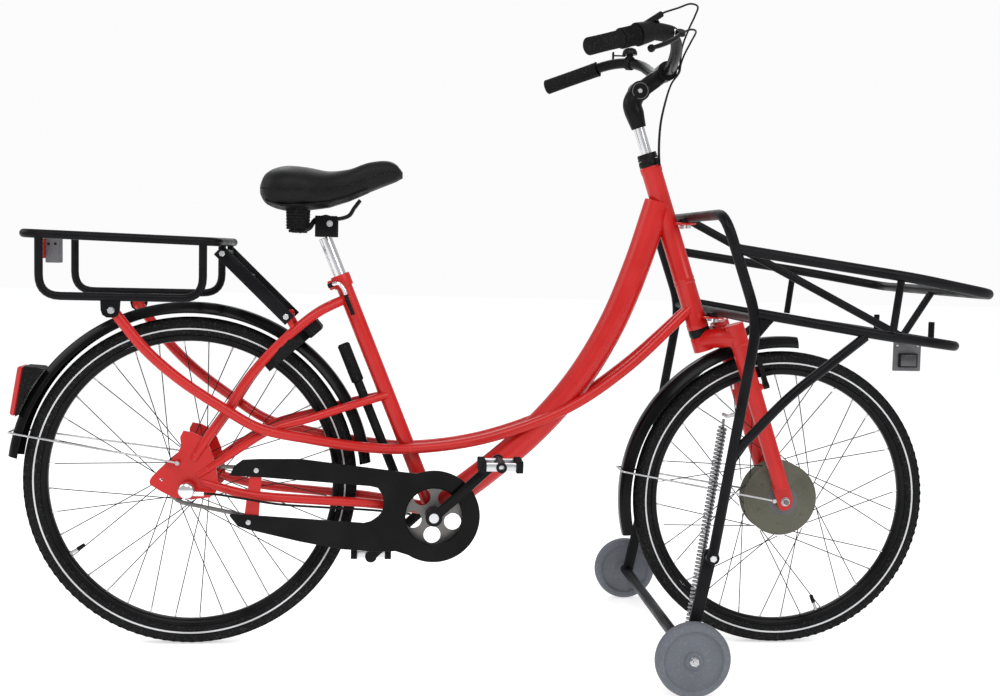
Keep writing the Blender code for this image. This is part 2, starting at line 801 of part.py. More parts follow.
def combine(base, tools, operation):
    """Join the tools to a solid, or cut them from it, one after another."""
    for tool in tools:
        joint = base.modifiers.new("combine", "BOOLEAN")
        joint.operation = operation
        joint.solver = "EXACT"
        joint.object = tool
        base = settle(base)
        bpy.data.objects.remove(tool, do_unlink=True)
    return base


def fuse(base, *tools):
    """One solid out of several that overlap."""
    return combine(base, tools, "UNION")


def carve(base, *tools):
    """Cut solids out of another."""
    return combine(base, tools, "DIFFERENCE")


def merged(*things):
    """Loose solids as one object, for a single cut or union."""
    shell = bmesh.new()
    for thing in things:
        shell.from_mesh(thing.data)
        bpy.data.objects.remove(thing, do_unlink=True)
    return from_bmesh(shell)


def loft(rings):
    """Closed body through rings of equally many points, with flat ends."""
    shell = bmesh.new()
    rows = [[shell.verts.new(point) for point in ring] for ring in rings]
    for first, second in zip(rows, rows[1:]):
        for index, corner in enumerate(first):
            following = (index + 1) % len(first)
            shell.faces.new((corner, first[following], second[following], second[index]))
    shell.faces.new(rows[0])
    shell.faces.new(rows[-1])
    bmesh.ops.recalc_face_normals(shell, faces=shell.faces)
    return from_bmesh(shell)


def softened(thing, levels=1):
    """Round a coarse cage with subdivision."""
    surface = thing.modifiers.new("softened", "SUBSURF")
    surface.levels = levels
    surface.render_levels = levels
    return settle(thing)


def colour(name, red, green, blue, roughness=0.5, metallic=0.0):
    """Principled material."""
    material = bpy.data.materials.new(name)
    material.use_nodes = True
    shader = material.node_tree.nodes["Principled BSDF"]
    shader.inputs["Base Color"].default_value = (red, green, blue, 1.0)
    shader.inputs["Roughness"].default_value = roughness
    shader.inputs["Metallic"].default_value = metallic
    return material


FINISHES = {
    "red": (0.62, 0.012, 0.008, 0.28, 0.0),
    "black": (0.012, 0.012, 0.013, 0.38, 0.0),
    "matt_black": (0.016, 0.016, 0.017, 0.65, 0.0),
    "rubber": (0.018, 0.018, 0.019, 0.82, 0.0),
    "silver": (0.66, 0.66, 0.66, 0.30, 1.0),
    "steel": (0.42, 0.42, 0.43, 0.38, 1.0),
    "olive": (0.055, 0.056, 0.036, 0.50, 0.3),
    "grey": (0.20, 0.21, 0.23, 0.60, 0.0),
    "clear": (0.80, 0.78, 0.76, 0.10, 0.0),
    "leatherette": (0.014, 0.014, 0.015, 0.55, 0.0),
}


class Body:
    """Pieces that move together, carried by an empty on their joint's axis."""

    def __init__(self, name, pivot, parent=None):
        self.pivot = pivot.copy()
        self.empty = bpy.data.objects.new("joint_" + name, None)
        self.empty.empty_display_size = 0.03
        PARTS.objects.link(self.empty)
        if parent is not None:
            self.empty.parent = parent.empty
            self.empty.location = pivot - parent.pivot

    def add(self, name, thing, finish, sharp=32):
        """Finish a solid as a named piece of this body."""
        thing.data.transform(Matrix.Translation(-self.pivot))
        thing.name = name
        thing.data.name = name
        thing.data.materials.clear()
        thing.data.materials.append(colour(name + "_" + finish, *FINISHES[finish]))
        thing.data.shade_smooth()
        thing.data.set_sharp_from_angle(angle=math.radians(sharp))
        CUTTERS.objects.unlink(thing)
        PARTS.objects.link(thing)
        thing.hide_render = False
        thing.display_type = "TEXTURED"
        thing.parent = self.empty
        return thing


def rim_inner_radius(wheel_radius):
    """Radius of the rim's face toward the hub."""
    return wheel_radius - TYRE_DEPTH - RIM_DEPTH


def tyre(axle, wheel_radius):
    """Tyre with a flat tread, standing on the rim and with a flat facet on the ground."""
    half = TYRE_WIDTH / 2
    bead = wheel_radius - TYRE_DEPTH
    tread = wheel_radius / math.cos(math.pi / WHEEL_STEPS)
    profile = mirrored([(bead, 0.66 * half), (bead + 0.5 * TYRE_DEPTH, half), (tread, 0.42 * half)])
    return turned(profile, axle, SIDEWAYS, WHEEL_STEPS, across=wheel_start(WHEEL_STEPS))


def spoked_rim(axle, wheel_radius, flange_radius, flange_spread, lacing_angle):
    """Rim with crossed spokes that end just off the hub's flanges."""
    inner = rim_inner_radius(wheel_radius)
    outer = wheel_radius - TYRE_DEPTH - FIT
    half = RIM_WIDTH / 2
    profile = mirrored([(inner, 0.7 * half), (outer, half)])
    rim = turned(profile, axle, SIDEWAYS, WHEEL_STEPS, across=wheel_start(WHEEL_STEPS))
    hub_end = flange_radius + FIT + SPOKE_THICKNESS / 2
    rim_end = inner + 0.45 * RIM_DEPTH
    spokes = []
    for index in range(SPOKE_COUNT):
        flange = 1 if index % 2 else -1
        lead = 1 if (index // 2) % 2 else -1
        rim_angle = SPOKE_PHASE + 2 * math.pi * index / SPOKE_COUNT
        hub_angle = rim_angle + lead * lacing_angle
        side = flange * (flange_spread / 2 + lead * SPOKE_CROSSING_GAP)
        at_hub = Vector((math.cos(hub_angle), 0.0, math.sin(hub_angle))) * hub_end
        at_rim = Vector((math.cos(rim_angle), 0.0, math.sin(rim_angle))) * rim_end
        at_hub.y = side
        spokes.append(rod(axle + at_hub, axle + at_rim, SPOKE_THICKNESS / 2, 3))
    return fuse(rim, merged(*spokes))


def hub_profile(barrel, flange, spread, length):
    """Section of a flanged hub round its axle."""
    bore = clear_bore(AXLE_RADIUS, FIT, WHEEL_STEPS // 2)
    edge = spread / 2
    return mirrored(
        [
            (bore, length / 2),
            (0.70 * barrel, length / 2),
            (flange, edge + FLANGE_WIDTH / 2),
            (flange, edge - FLANGE_WIDTH / 2),
            (barrel, edge - 2 * FLANGE_WIDTH),
        ]
    )


def axle_with_nuts(axle, inner_face, reach):
    """Axle through both dropouts with a hexagonal nut outside each."""
    shaft = cross_rod(axle, AXLE_RADIUS, -reach, reach, SHAFT_SIDES)
    nuts = []
    for side in (-1, 1):
        start = side * (inner_face + FIT)
        end = start + side * AXLE_NUT_HEIGHT
        nuts.append(cross_rod(axle, AXLE_NUT_RADIUS, start, end, THIN_SIDES))
    return fuse(shaft, *nuts)


def build_rear_wheel(wheel):
    """Tyre, laced rim and hub shell of the rear wheel."""
    wheel.add("rear_tyre", tyre(REAR_AXLE, REAR_WHEEL_RADIUS), "rubber")
    rim = spoked_rim(
        REAR_AXLE, REAR_WHEEL_RADIUS, REAR_FLANGE_RADIUS, REAR_FLANGE_SPREAD, REAR_LACING_ANGLE
    )
    wheel.add("rear_rim", rim, "black")
    profile = hub_profile(
        REAR_BARREL_RADIUS, REAR_FLANGE_RADIUS, REAR_FLANGE_SPREAD, REAR_HUB_LENGTH
    )
    hub = turned(profile, REAR_AXLE, SIDEWAYS, WHEEL_STEPS // 2)
    wheel.add("rear_hub_shell", hub, "steel")


def build_front_wheel(wheel):
    """Tyre, laced rim and hub motor of the front wheel."""
    wheel.add("front_tyre", tyre(FRONT_AXLE, FRONT_WHEEL_RADIUS), "rubber")
    rim = spoked_rim(
        FRONT_AXLE, FRONT_WHEEL_RADIUS, MOTOR_FLANGE_RADIUS, MOTOR_FLANGE_SPREAD, FRONT_LACING_ANGLE
    )
    wheel.add("front_rim", rim, "black")
    profile = hub_profile(MOTOR_RADIUS, MOTOR_FLANGE_RADIUS, MOTOR_FLANGE_SPREAD, MOTOR_LENGTH)
    hub = turned(profile, FRONT_AXLE, SIDEWAYS, WHEEL_STEPS // 2)
    wheel.add("hub_motor", hub, "olive")


def build_sprocket(sprocket):
    """Driver barrel with the rear sprocket, beside the hub shell."""
    steps = WHEEL_STEPS // 2
    bore = clear_bore(AXLE_RADIUS, FIT, steps)
    tip = SPROCKET_PITCH_RADIUS - CHAIN_DEPTH / 2 - FIT
    inner_end = REAR_HUB_LENGTH / 2 + FIT
    outer_end = DROPOUT_OFFSET - DROPOUT_THICKNESS / 2 - 2 * RUNNING_GAP
    half_tooth = TOOTH_WIDTH / 2
    profile = [
        (bore, -outer_end),
        (DRIVER_RADIUS, -outer_end),
        (DRIVER_RADIUS, -CHAIN_OFFSET - half_tooth),
        (tip, -CHAIN_OFFSET - half_tooth),
        (tip, -CHAIN_OFFSET + half_tooth),
        (DRIVER_RADIUS, -CHAIN_OFFSET + half_tooth),
        (DRIVER_RADIUS, -inner_end),
        (bore, -inner_end),
    ]
    sprocket.add("rear_sprocket", turned(profile, REAR_AXLE, SIDEWAYS, steps), "steel")


def chain_outline(clearance):
    """Closed belt line round both toothed wheels, clearance outside their pitch circles."""
    span = BRACKET - REAR_AXLE
    slope = math.atan2(span.z, span.x)
    wrap = math.acos((CHAINRING_PITCH_RADIUS - SPROCKET_PITCH_RADIUS) / span.length)
    front_half_step = (math.pi - wrap) / CHAINRING_STEPS
    back_half_step = wrap / SPROCKET_STEPS
    ring = (CHAINRING_PITCH_RADIUS + clearance) / math.cos(front_half_step)
    cog = (SPROCKET_PITCH_RADIUS + clearance) / math.cos(back_half_step)
    front_turn = math.pi - wrap
    front = arc(BRACKET, ring, slope - front_turn, slope + front_turn, CHAINRING_STEPS)
    back = arc(REAR_AXLE, cog, slope + front_turn, slope + math.pi + wrap, SPROCKET_STEPS)
    return front + back


def build_drive(frame_body):
    """Chain and its guard."""
    chain = plate(
        [chain_outline(CHAIN_DEPTH / 2), chain_outline(-CHAIN_DEPTH / 2)],
        -CHAIN_OFFSET - CHAIN_WIDTH / 2,
        -CHAIN_OFFSET + CHAIN_WIDTH / 2,
    )
    frame_body.add("chain", chain, "steel")
    frame_body.add("chain_guard", chain_guard(), "black")


def guard_point(x, z):
    """Point (x, z) of the chain guard measured from the bottom bracket."""
    return (BRACKET.x + x, BRACKET.z + z)


def chain_guard():
    """Flat guard with two arms, a round window and two screws."""
    disc = arc(BRACKET, GUARD_DISC_RADIUS, math.radians(-122), math.radians(112), 16)
    outline = disc + [guard_point(x, z) for x, z in GUARD_OUTLINE]
    near = -GUARD_OFFSET - GUARD_THICKNESS / 2
    far = -GUARD_OFFSET + GUARD_THICKNESS / 2
    guard = plate([outline, circle(BRACKET, GUARD_WINDOW_RADIUS, 16)], near, far)
    screws = []
    for x, z in GUARD_SCREWS:
        at = BRACKET + Vector((x, 0.0, z))
        screw_end = far - GUARD_THICKNESS / 4
        screws.append(cross_rod(at, GUARD_SCREW_RADIUS, near - GUARD_SCREW_HEAD, screw_end, 8))
    return fuse(guard, *screws)


def crank_arm(side, angle):
    """Arm from the bracket to the pedal, with the pedal's axle."""
    tip = BRACKET + Vector((math.cos(angle), 0.0, math.sin(angle))) * CRANK_LENGTH
    inner = side * CRANK_OFFSET
    outer = side * (CRANK_OFFSET + CRANK_THICKNESS)
    boss = cross_rod(BRACKET, CRANK_BOSS_RADIUS, inner, outer, SHAFT_SIDES)
    eye = cross_rod(tip, CRANK_EYE_RADIUS, inner, outer, SHAFT_SIDES)
    middle = side * (CRANK_OFFSET + CRANK_THICKNESS / 2)
    start = Vector((BRACKET.x, middle, BRACKET.z))
    end = Vector((tip.x, middle, tip.z))
    thickness = CRANK_THICKNESS - 4 * FIT
    arm = beam(start, end, thickness, CRANK_WIDTH, SIDEWAYS.cross(end - start))
    axle_end = side * (CRANK_OFFSET + CRANK_THICKNESS + PEDAL_LENGTH - 0.006)
    axle = cross_rod(tip, PEDAL_AXLE_RADIUS, middle, axle_end, TUBE_SIDES)
    return fuse(boss, arm, eye, axle), tip


def build_cranks(crank):
    """Right arm with its chainring and left arm with the spindle; returns the two pedal places."""
    right, right_tip = crank_arm(-1, CRANK_RISE)
    left, left_tip = crank_arm(1, CRANK_RISE + math.pi)
    tip = CHAINRING_PITCH_RADIUS - CHAIN_DEPTH / 2 - FIT
    inner = -CHAIN_OFFSET + TOOTH_WIDTH / 2
    outer = -CHAIN_OFFSET - TOOTH_WIDTH / 2
    windows = []
    for index in range(CHAINRING_WINDOWS):
        turn = 2 * math.pi * (index + 0.5) / CHAINRING_WINDOWS
        angle = CRANK_RISE + turn
        at = BRACKET + Vector((math.cos(angle), 0.0, math.sin(angle))) * CHAINRING_WINDOW_AT
        windows.append(circle(at, CHAINRING_WINDOW_RADIUS, 6))
    ring = plate([circle(BRACKET, tip, 18), *windows], outer, inner)
    boss_end = BRACKET_SHELL_LENGTH / 2 + 3 * FIT
    overlap = CRANK_THICKNESS / 3
    boss_radius = CRANK_BOSS_RADIUS - 2 * FIT
    boss = cross_rod(BRACKET, boss_radius, -boss_end, -CRANK_OFFSET - overlap, SHAFT_SIDES)
    crank.add("right_crank", fuse(boss, ring, right), "silver")
    spindle = cross_rod(
        BRACKET, SPINDLE_RADIUS, -boss_end + FIT, CRANK_OFFSET + overlap, SHAFT_SIDES
    )
    left_boss = cross_rod(BRACKET, boss_radius, boss_end, CRANK_OFFSET + overlap, SHAFT_SIDES)
    crank.add("left_crank", fuse(spindle, left_boss, left), "silver")
    return right_tip, left_tip


def pedal(at, side):
    """Resin pedal between two cage plates, bored for its axle."""
    inner = side * (CRANK_OFFSET + CRANK_THICKNESS + RUNNING_GAP)
    outer = inner + side * PEDAL_LENGTH
    middle = (inner + outer) / 2
    core = cross_rod(at, PEDAL_CORE_RADIUS, inner, outer, TUBE_SIDES)
    pieces = []
    for edge in (-1, 1):
        centre = at + FORWARD * edge * (PEDAL_WIDTH - PEDAL_CAGE_WIDTH) / 2
        centre.y = middle + side * 0.004
        size = Vector((PEDAL_CAGE_WIDTH, PEDAL_LENGTH - PEDAL_CAGE_WIDTH, PEDAL_HEIGHT))
        pieces.append(block(centre, size))
    for share in (0.20, 0.85):
        centre = at.copy()
        centre.y = inner + (outer - inner) * share
        pieces.append(block(centre, Vector((PEDAL_WIDTH - 0.008, 0.014, 0.017))))
    bore_radius = clear_bore(PEDAL_AXLE_RADIUS, FIT, TUBE_SIDES)
    bore = cross_rod(at, bore_radius, inner - side * 0.01, outer - side * 0.0035, TUBE_SIDES)
    return carve(fuse(core, *pieces), bore)


def rail(side):
    """One of the twin rails that run from the rear rack to the head tube."""
    start = RAIL_START + SIDEWAYS * RAIL_START_SIDE * side
    end = steer_point(RAIL_TOP, -0.006, 0.010 * side)
    stations = [(share, bow, side * spread) for share, bow, spread in RAIL_STATIONS]
    return tube(route(start, end, stations), RAIL_RADIUS, THIN_SIDES)


def seat_stay_way(side, steps=1):
    """Way of an upper stay from the dropout to the top of the seat tube."""
    start = SEAT_STAY_START + SIDEWAYS * DROPOUT_OFFSET * side
    end = seat_point(SEAT_STAY_TOP, 0.0, 0.010 * side)
    stations = [(share, bow, side * spread) for share, bow, spread in SEAT_STAY_STATIONS]
    return route(start, end, stations, steps)


def seat_stay(side, extra=0.0):
    """Upper stay from the dropout to the top of the seat tube."""
    return tube(seat_stay_way(side), SEAT_STAY_RADIUS + extra, THIN_SIDES)


def middle_stay(side):
    """Middle stay from the dropout to the seat tube."""
    start = MIDDLE_STAY_START + SIDEWAYS * DROPOUT_OFFSET * side
    end = seat_point(MIDDLE_STAY_TOP, 0.0, 0.010 * side)
    stations = [(share, bow, side * spread) for share, bow, spread in MIDDLE_STAY_STATIONS]
    return tube(route(start, end, stations), MIDDLE_STAY_RADIUS, THIN_SIDES)


def chain_stay(side):
    """Lower stay from the dropout to the bottom bracket."""
    start = CHAIN_STAY_START + SIDEWAYS * DROPOUT_OFFSET * side
    end = BRACKET + Vector((-0.010, 0.022 * side, 0.004))
    stations = [(share, bow, side * spread) for share, bow, spread in CHAIN_STAY_STATIONS]
    return tube(route(start, end, stations), CHAIN_STAY_RADIUS, THIN_SIDES)


def dropout(side):
    """Plate that holds the axle."""
    outline = [(REAR_AXLE.x + x, REAR_AXLE.z + z) for x, z in DROPOUT_OUTLINE]
    bore = circle(REAR_AXLE, clear_bore(AXLE_RADIUS, FIT, TUBE_SIDES), TUBE_SIDES)
    centre = side * DROPOUT_OFFSET
    return plate([outline, bore], centre - DROPOUT_THICKNESS / 2, centre + DROPOUT_THICKNESS / 2)


def down_tube():
    """Wide bowed tube between the bottom bracket and the head tube, flatter across."""
    start = BRACKET.copy()
    end = steer_point(DOWN_TUBE_TOP, -0.006)
    stations = [
        (step / 6, -DOWN_TUBE_BOW * math.sin(math.pi * step / 6), 0.0) for step in range(1, 6)
    ]
    oval = tube(route(start, end, stations), DOWN_TUBE_RADIUS, 10)
    oval.data.transform(Matrix.Diagonal((1.0, DOWN_TUBE_FLATNESS, 1.0, 1.0)))
    return oval


def ear_place(height):
    """Middle of a carrier ear's upper face, at its edge against the head tube."""
    axis_shift = -math.tan(HEAD_ANGLE) * height
    front = HEAD_TUBE_RADIUS / math.cos(HEAD_ANGLE)
    return front_point(axis_shift + front, height)


def carrier_ear(height):
    """Flat ear on the head tube with the nuts of the carrier's bolts beneath."""
    edge = ear_place(height)
    centre = edge + Vector(((EAR_REACH - EAR_ROOT) / 2, 0.0, -EAR_THICKNESS / 2))
    ear = block(centre, Vector((EAR_REACH + EAR_ROOT, EAR_WIDTH, EAR_THICKNESS)))
    nuts = []
    for side, ahead in CARRIER_BOLTS:
        top = edge + Vector((ahead, side, -EAR_THICKNESS / 2))
        nuts.append(rod(top - UPWARD * EAR_NUT_HEIGHT, top, EAR_NUT_RADIUS, THIN_SIDES))
    return fuse(ear, *nuts)


def pump_axis(up):
    """Point of the pump's axis, parallel to the seat tube and behind it."""
    return seat_point(up, -PUMP_OFFSET)


def mudguard_bridge():
    """Small tube between the seat stays that carries the rear mudguard."""
    reach = REAR_MUDGUARD_REACH + MUDGUARD_WALL / 2 + FIT + BRIDGE_RADIUS
    at = crossing(seat_stay_way(1, 3), REAR_AXLE, reach)
    return cross_rod(Vector((at.x, 0.0, at.z)), BRIDGE_RADIUS, -at.y, at.y, THIN_SIDES)


def seat_collar():
    """Collar at the top of the seat tube with its lug and the quick release's skewer."""
    collar_start = seat_point(SEAT_TUBE_LENGTH - COLLAR_HEIGHT)
    collar = rod(collar_start, SEAT_TUBE_TOP, COLLAR_RADIUS, SHAFT_SIDES)
    middle = SEAT_TUBE_LENGTH - COLLAR_HEIGHT / 2
    lug_size = Vector((COLLAR_LUG_LENGTH, COLLAR_LUG_WIDTH, COLLAR_HEIGHT - 0.006))
    lug = block(seat_point(middle, -COLLAR_RADIUS - 0.003), lug_size, SEAT_AHEAD, SEAT_UP)
    at = seat_point(middle, -COLLAR_RADIUS - 0.004)
    skewer = cross_rod(at, SKEWER_RADIUS, -SKEWER_END, SKEWER_END, THIN_SIDES)
    nut_start = SKEWER_END - SKEWER_NUT_HEIGHT / 2
    nut = cross_rod(at, SKEWER_NUT_RADIUS, nut_start, nut_start + SKEWER_NUT_HEIGHT, THIN_SIDES)
    return [collar, lug, skewer, nut]


def guard_bracket():
    """Tab on the right chain stay that carries the chain guard's rear arms."""
    outer = GUARD_OFFSET - GUARD_THICKNESS / 2 - FIT
    inner = DROPOUT_OFFSET - DROPOUT_THICKNESS / 2
    (x_top, z_top), (x_low, z_low) = GUARD_SCREWS
    width = 0.011
    outline = [
        guard_point(x_top - width, z_top + 0.008),
        guard_point(x_top + width, z_top + 0.008),
        guard_point(x_low + width + 0.008, z_low - 0.008),
        guard_point(x_low - width, z_low - 0.008),
    ]
    return plate([outline], -outer, -inner)


def build_frame(frame_body):
    """Welded frame: tubes, stays, dropouts, lugs and bores."""
    head = rod(HEAD_BOTTOM, HEAD_TOP, HEAD_TUBE_RADIUS, HEAD_SIDES)
    ridge = rod(
        steer_point(HEAD_RIDGE_UP),
        steer_point(HEAD_RIDGE_UP + HEAD_RIDGE_LENGTH),
        HEAD_TUBE_RADIUS + HEAD_RIDGE_RISE,
        HEAD_SIDES,
    )
    seat = rod(BRACKET, SEAT_TUBE_TOP, SEAT_TUBE_RADIUS, SHAFT_SIDES)
    half_shell = BRACKET_SHELL_LENGTH / 2
    shell = cross_rod(BRACKET, BRACKET_SHELL_RADIUS, -half_shell, half_shell, SHAFT_SIDES)
    pump_seat = pump_axis(PUMP_BOTTOM)
    pump_peg = rod(pump_seat - SEAT_UP * 0.010, pump_seat - SEAT_UP * FIT, 0.0070, TUBE_SIDES)
    arm_end = seat_point(PUMP_BOTTOM - 0.006, -0.004)
    pump_arm = beam(pump_seat - SEAT_UP * 0.006, arm_end, 0.010, 0.007)
    pieces = [down_tube(), seat, shell, ridge, pump_arm, pump_peg, *seat_collar()]
    for side in (-1, 1):
        eyelet_in = side * (RAIL_START_SIDE - 0.004)
        eyelet_out = side * (RACK_SIDE - RACK_PLATE_THICKNESS / 2 - FIT)
        eyelet = cross_rod(RAIL_START, EYELET_RADIUS, eyelet_in, eyelet_out, THIN_SIDES)
        pieces += [rail(side), seat_stay(side), middle_stay(side), chain_stay(side)]
        pieces += [dropout(side), eyelet, strut_lug(side)]
    pieces += [mudguard_bridge(), guard_bracket()]
    pieces += [carrier_ear(height) for height in CARRIER_EARS]
    frame = fuse(head, *pieces)
    head_bore = rod(
        steer_point(-0.02), steer_point(HEAD_LENGTH + 0.02), HEAD_BORE_RADIUS, HEAD_SIDES
    )
    seat_bore = rod(
        seat_point(SEAT_TUBE_LENGTH - SEATPOST_INSERTED - 0.055),
        seat_point(SEAT_TUBE_LENGTH + 0.02),
        SEATPOST_RADIUS + FIT,
        SHAFT_SIDES,
    )
    bore_end = half_shell + 0.01
    bore_radius = BRACKET_BORE_RADIUS + FIT
    shell_bore = cross_rod(BRACKET, bore_radius, -bore_end, bore_end, SHAFT_SIDES)
    frame_body.add("frame", carve(frame, head_bore, seat_bore, shell_bore), "red")


def build_bearings(frame_body):
    """Headset cups and the bottom bracket's cartridge."""
    bore = clear_bore(STEERER_RADIUS, FIT, HEAD_SIDES)
    rim = HEAD_TUBE_RADIUS + 2 * FIT
    inside = HEAD_BORE_RADIUS - FIT
    lower = [
        (bore, CUP_DEPTH),
        (inside, CUP_DEPTH),
        (inside, -FIT),
        (rim, -FIT),
        (CUP_RADIUS, -0.5 * LOWER_CUP_HEIGHT),
        (rim, -LOWER_CUP_HEIGHT),
        (bore, -LOWER_CUP_HEIGHT),
    ]
    upper = [
        (bore, HEAD_LENGTH + UPPER_CUP_HEIGHT),
        (rim, HEAD_LENGTH + UPPER_CUP_HEIGHT),
        (rim, HEAD_LENGTH + FIT),
        (inside, HEAD_LENGTH + FIT),
        (inside, HEAD_LENGTH - CUP_DEPTH),
        (bore, HEAD_LENGTH - CUP_DEPTH),
    ]
    for name, profile in (("headset_lower_cup", lower), ("headset_upper_cup", upper)):
        frame_body.add(name, turned(profile, HEAD_BOTTOM, STEER_UP, HEAD_SIDES), "black")
    half = BRACKET_SHELL_LENGTH / 2
    bore = clear_bore(SPINDLE_RADIUS, FIT, SHAFT_SIDES)
    cartridge = mirrored([(bore, half), (BRACKET_BORE_RADIUS, half)])
    cartridge_body = turned(cartridge, BRACKET, SIDEWAYS, SHAFT_SIDES)
    frame_body.add("bottom_bracket_cartridge", cartridge_body, "steel")


def strut_lug(side):
    """Lug on the seat stay that takes the foot of the rear rack's strut."""
    outer = side * (STRUT_SPREAD - STRUT_THICKNESS / 2 - FIT)
    eyelet = cross_rod(STRUT_FOOT, 0.0085, side * 0.048, outer, THIN_SIDES)
    foot = STRUT_FOOT + SIDEWAYS * side * 0.054
    web = beam(foot, foot + Vector((0.012, 0.0, -0.022)), 0.010, 0.014)
    return fuse(eyelet, web)


def rack_top(x):
    """Height of the rear rack's top rail, which slopes down forward."""
    return RACK_TOP_HEIGHT + RACK_TILT * (x - (RACK_REAR + RACK_FRONT) / 2)


def rack_side(side):
    """Side of the rear rack: lower rail bent up at both ends, with the mounting plate."""
    y = side * RACK_SIDE
    corners = [
        Vector((RACK_UPRIGHT_REAR, y, rack_top(RACK_UPRIGHT_REAR))),
        Vector((RACK_UPRIGHT_REAR, y, RACK_LOWER_HEIGHT)),
        Vector((RACK_UPRIGHT_FRONT, y, RACK_LOWER_HEIGHT)),
        Vector((RACK_UPRIGHT_FRONT, y, rack_top(RACK_UPRIGHT_FRONT))),
    ]
    lower = tube(bent(corners, 0.042, 3), RACK_TUBE_RADIUS * 0.94, THIN_SIDES)
    x = RAIL_START.x
    outline = [
        (x - 0.020, RACK_LOWER_HEIGHT),
        (x - 0.019, RAIL_START.z),
        (x - 0.011, RAIL_START.z - 0.014),
        (x + 0.007, RAIL_START.z - 0.014),
        (x + 0.015, RAIL_START.z),
        (x + 0.018, RACK_LOWER_HEIGHT),
    ]
    half = RACK_PLATE_THICKNESS / 2
    tab = plate([outline], y - half, y + half)
    bolt = cross_rod(RAIL_START, RACK_BOLT_RADIUS, y, y + side * 0.0075, THIN_SIDES)
    return [lower, tab, bolt]


def build_rear_rack(frame_body):
    """Tubular rear rack with cross bars, strut and reflector."""
    rear_middle = Vector((RACK_REAR, 0.0, 0.0))
    ring = [rear_middle]
    for x, side in ((RACK_REAR, 1), (RACK_FRONT, 1), (RACK_FRONT, -1), (RACK_REAR, -1)):
        ring.append(Vector((x, side * RACK_SIDE, 0.0)))
    path = bent(ring + [rear_middle], 0.030, 2)[:-1]
    for point in path:
        point.z = rack_top(point.x)
    rack = tube(path, RACK_TUBE_RADIUS, THIN_SIDES, closed=True)
    pieces = []
    for x in RACK_CROSS_BARS:
        at = Vector((x, 0.0, rack_top(x)))
        pieces.append(cross_rod(at, RACK_TUBE_RADIUS * 0.8, -RACK_SIDE, RACK_SIDE, THIN_SIDES))
    for side in (-1, 1):
        pieces += rack_side(side)
    bracket_x = RACK_REAR + 0.026
    top = rack_top(RACK_REAR)
    bracket_middle = Vector((bracket_x, 0.0, top + 0.001 - REFLECTOR_BRACKET.z / 2))
    pieces.append(block(bracket_middle, REFLECTOR_BRACKET))
    tongue_middle = Vector(((RACK_REAR + bracket_x) / 2, 0.0, top - 0.002))
    tongue_size = Vector((bracket_x - RACK_REAR, REFLECTOR_BRACKET.y - 0.004, 0.004))
    pieces.append(block(tongue_middle, tongue_size))
    half_strut = STRUT_SPREAD - STRUT_THICKNESS / 2 - FIT
    pieces.append(cross_rod(STRUT_TOP, 0.0080, -half_strut, half_strut, THIN_SIDES))
    front_top = rack_top(RACK_FRONT)
    for side in (-1, 1):
        lug_at = Vector((RACK_FRONT, side * (half_strut - 0.008), (front_top + STRUT_TOP.z) / 2))
        pieces.append(block(lug_at, Vector((0.012, 0.010, front_top - STRUT_TOP.z))))
    frame_body.add("rear_rack", fuse(rack, *pieces), "black")
    face = bracket_x - REFLECTOR_BRACKET.x / 2 - FIT
    low = top - RACK_TUBE_RADIUS - 2 * FIT
    middle = Vector((face - REFLECTOR_THICKNESS / 2, 0.0, low - REFLECTOR_HEIGHT / 2))
    lens = block(middle, Vector((REFLECTOR_THICKNESS, REFLECTOR_LENGTH, REFLECTOR_HEIGHT)))
    frame_body.add("rear_reflector", rounded(lens, 0.003), "red")


def build_rack_strut(frame_body):
    """Two flat struts with a cross bar, from the rack's front down to the seat stays."""
    pieces = []
    for side in (-1, 1):
        shift = SIDEWAYS * side * STRUT_SPREAD
        along = (STRUT_FOOT - STRUT_TOP).normalized() * 0.007
        start = STRUT_TOP - along + shift
        end = STRUT_FOOT + along + shift
        pieces.append(beam(start, end, STRUT_THICKNESS, STRUT_WIDTH))
        for at in (STRUT_TOP, STRUT_FOOT):
            inner = side * (STRUT_SPREAD - STRUT_THICKNESS / 4)
            outer = side * (STRUT_SPREAD + STRUT_THICKNESS / 2 + 0.004)
            pieces.append(cross_rod(at, STRUT_BOLT_RADIUS, inner, outer, THIN_SIDES))
    brace_at = STRUT_TOP.lerp(STRUT_FOOT, 0.38)
    brace_end = STRUT_SPREAD + STRUT_THICKNESS / 4
    brace = cross_rod(brace_at, 0.0055, -brace_end, brace_end, THIN_SIDES)
    frame_body.add("rear_rack_strut", fuse(brace, *pieces), "black")


def mudguard(axle, reach, start, end, steps):
    """Curved strip with turned-down edges round part of a wheel."""
    half = MUDGUARD_WIDTH / 2
    profile = [
        (reach - MUDGUARD_SKIRT, half - 0.0005),
        (reach - 0.0085, half - 0.0035),
        (reach, 0.48 * half),
        (reach, -0.48 * half),
        (reach - 0.0085, -half + 0.0035),
        (reach - MUDGUARD_SKIRT, -half + 0.0005),
    ]
    across = Vector((math.cos(end), 0.0, math.sin(end)))
    strip = turned(profile, axle, SIDEWAYS, steps, end - start, across, closed=False)
    wall = strip.modifiers.new("wall", "SOLIDIFY")
    wall.thickness = MUDGUARD_WALL
    wall.offset = 0.0
    return settle(strip)


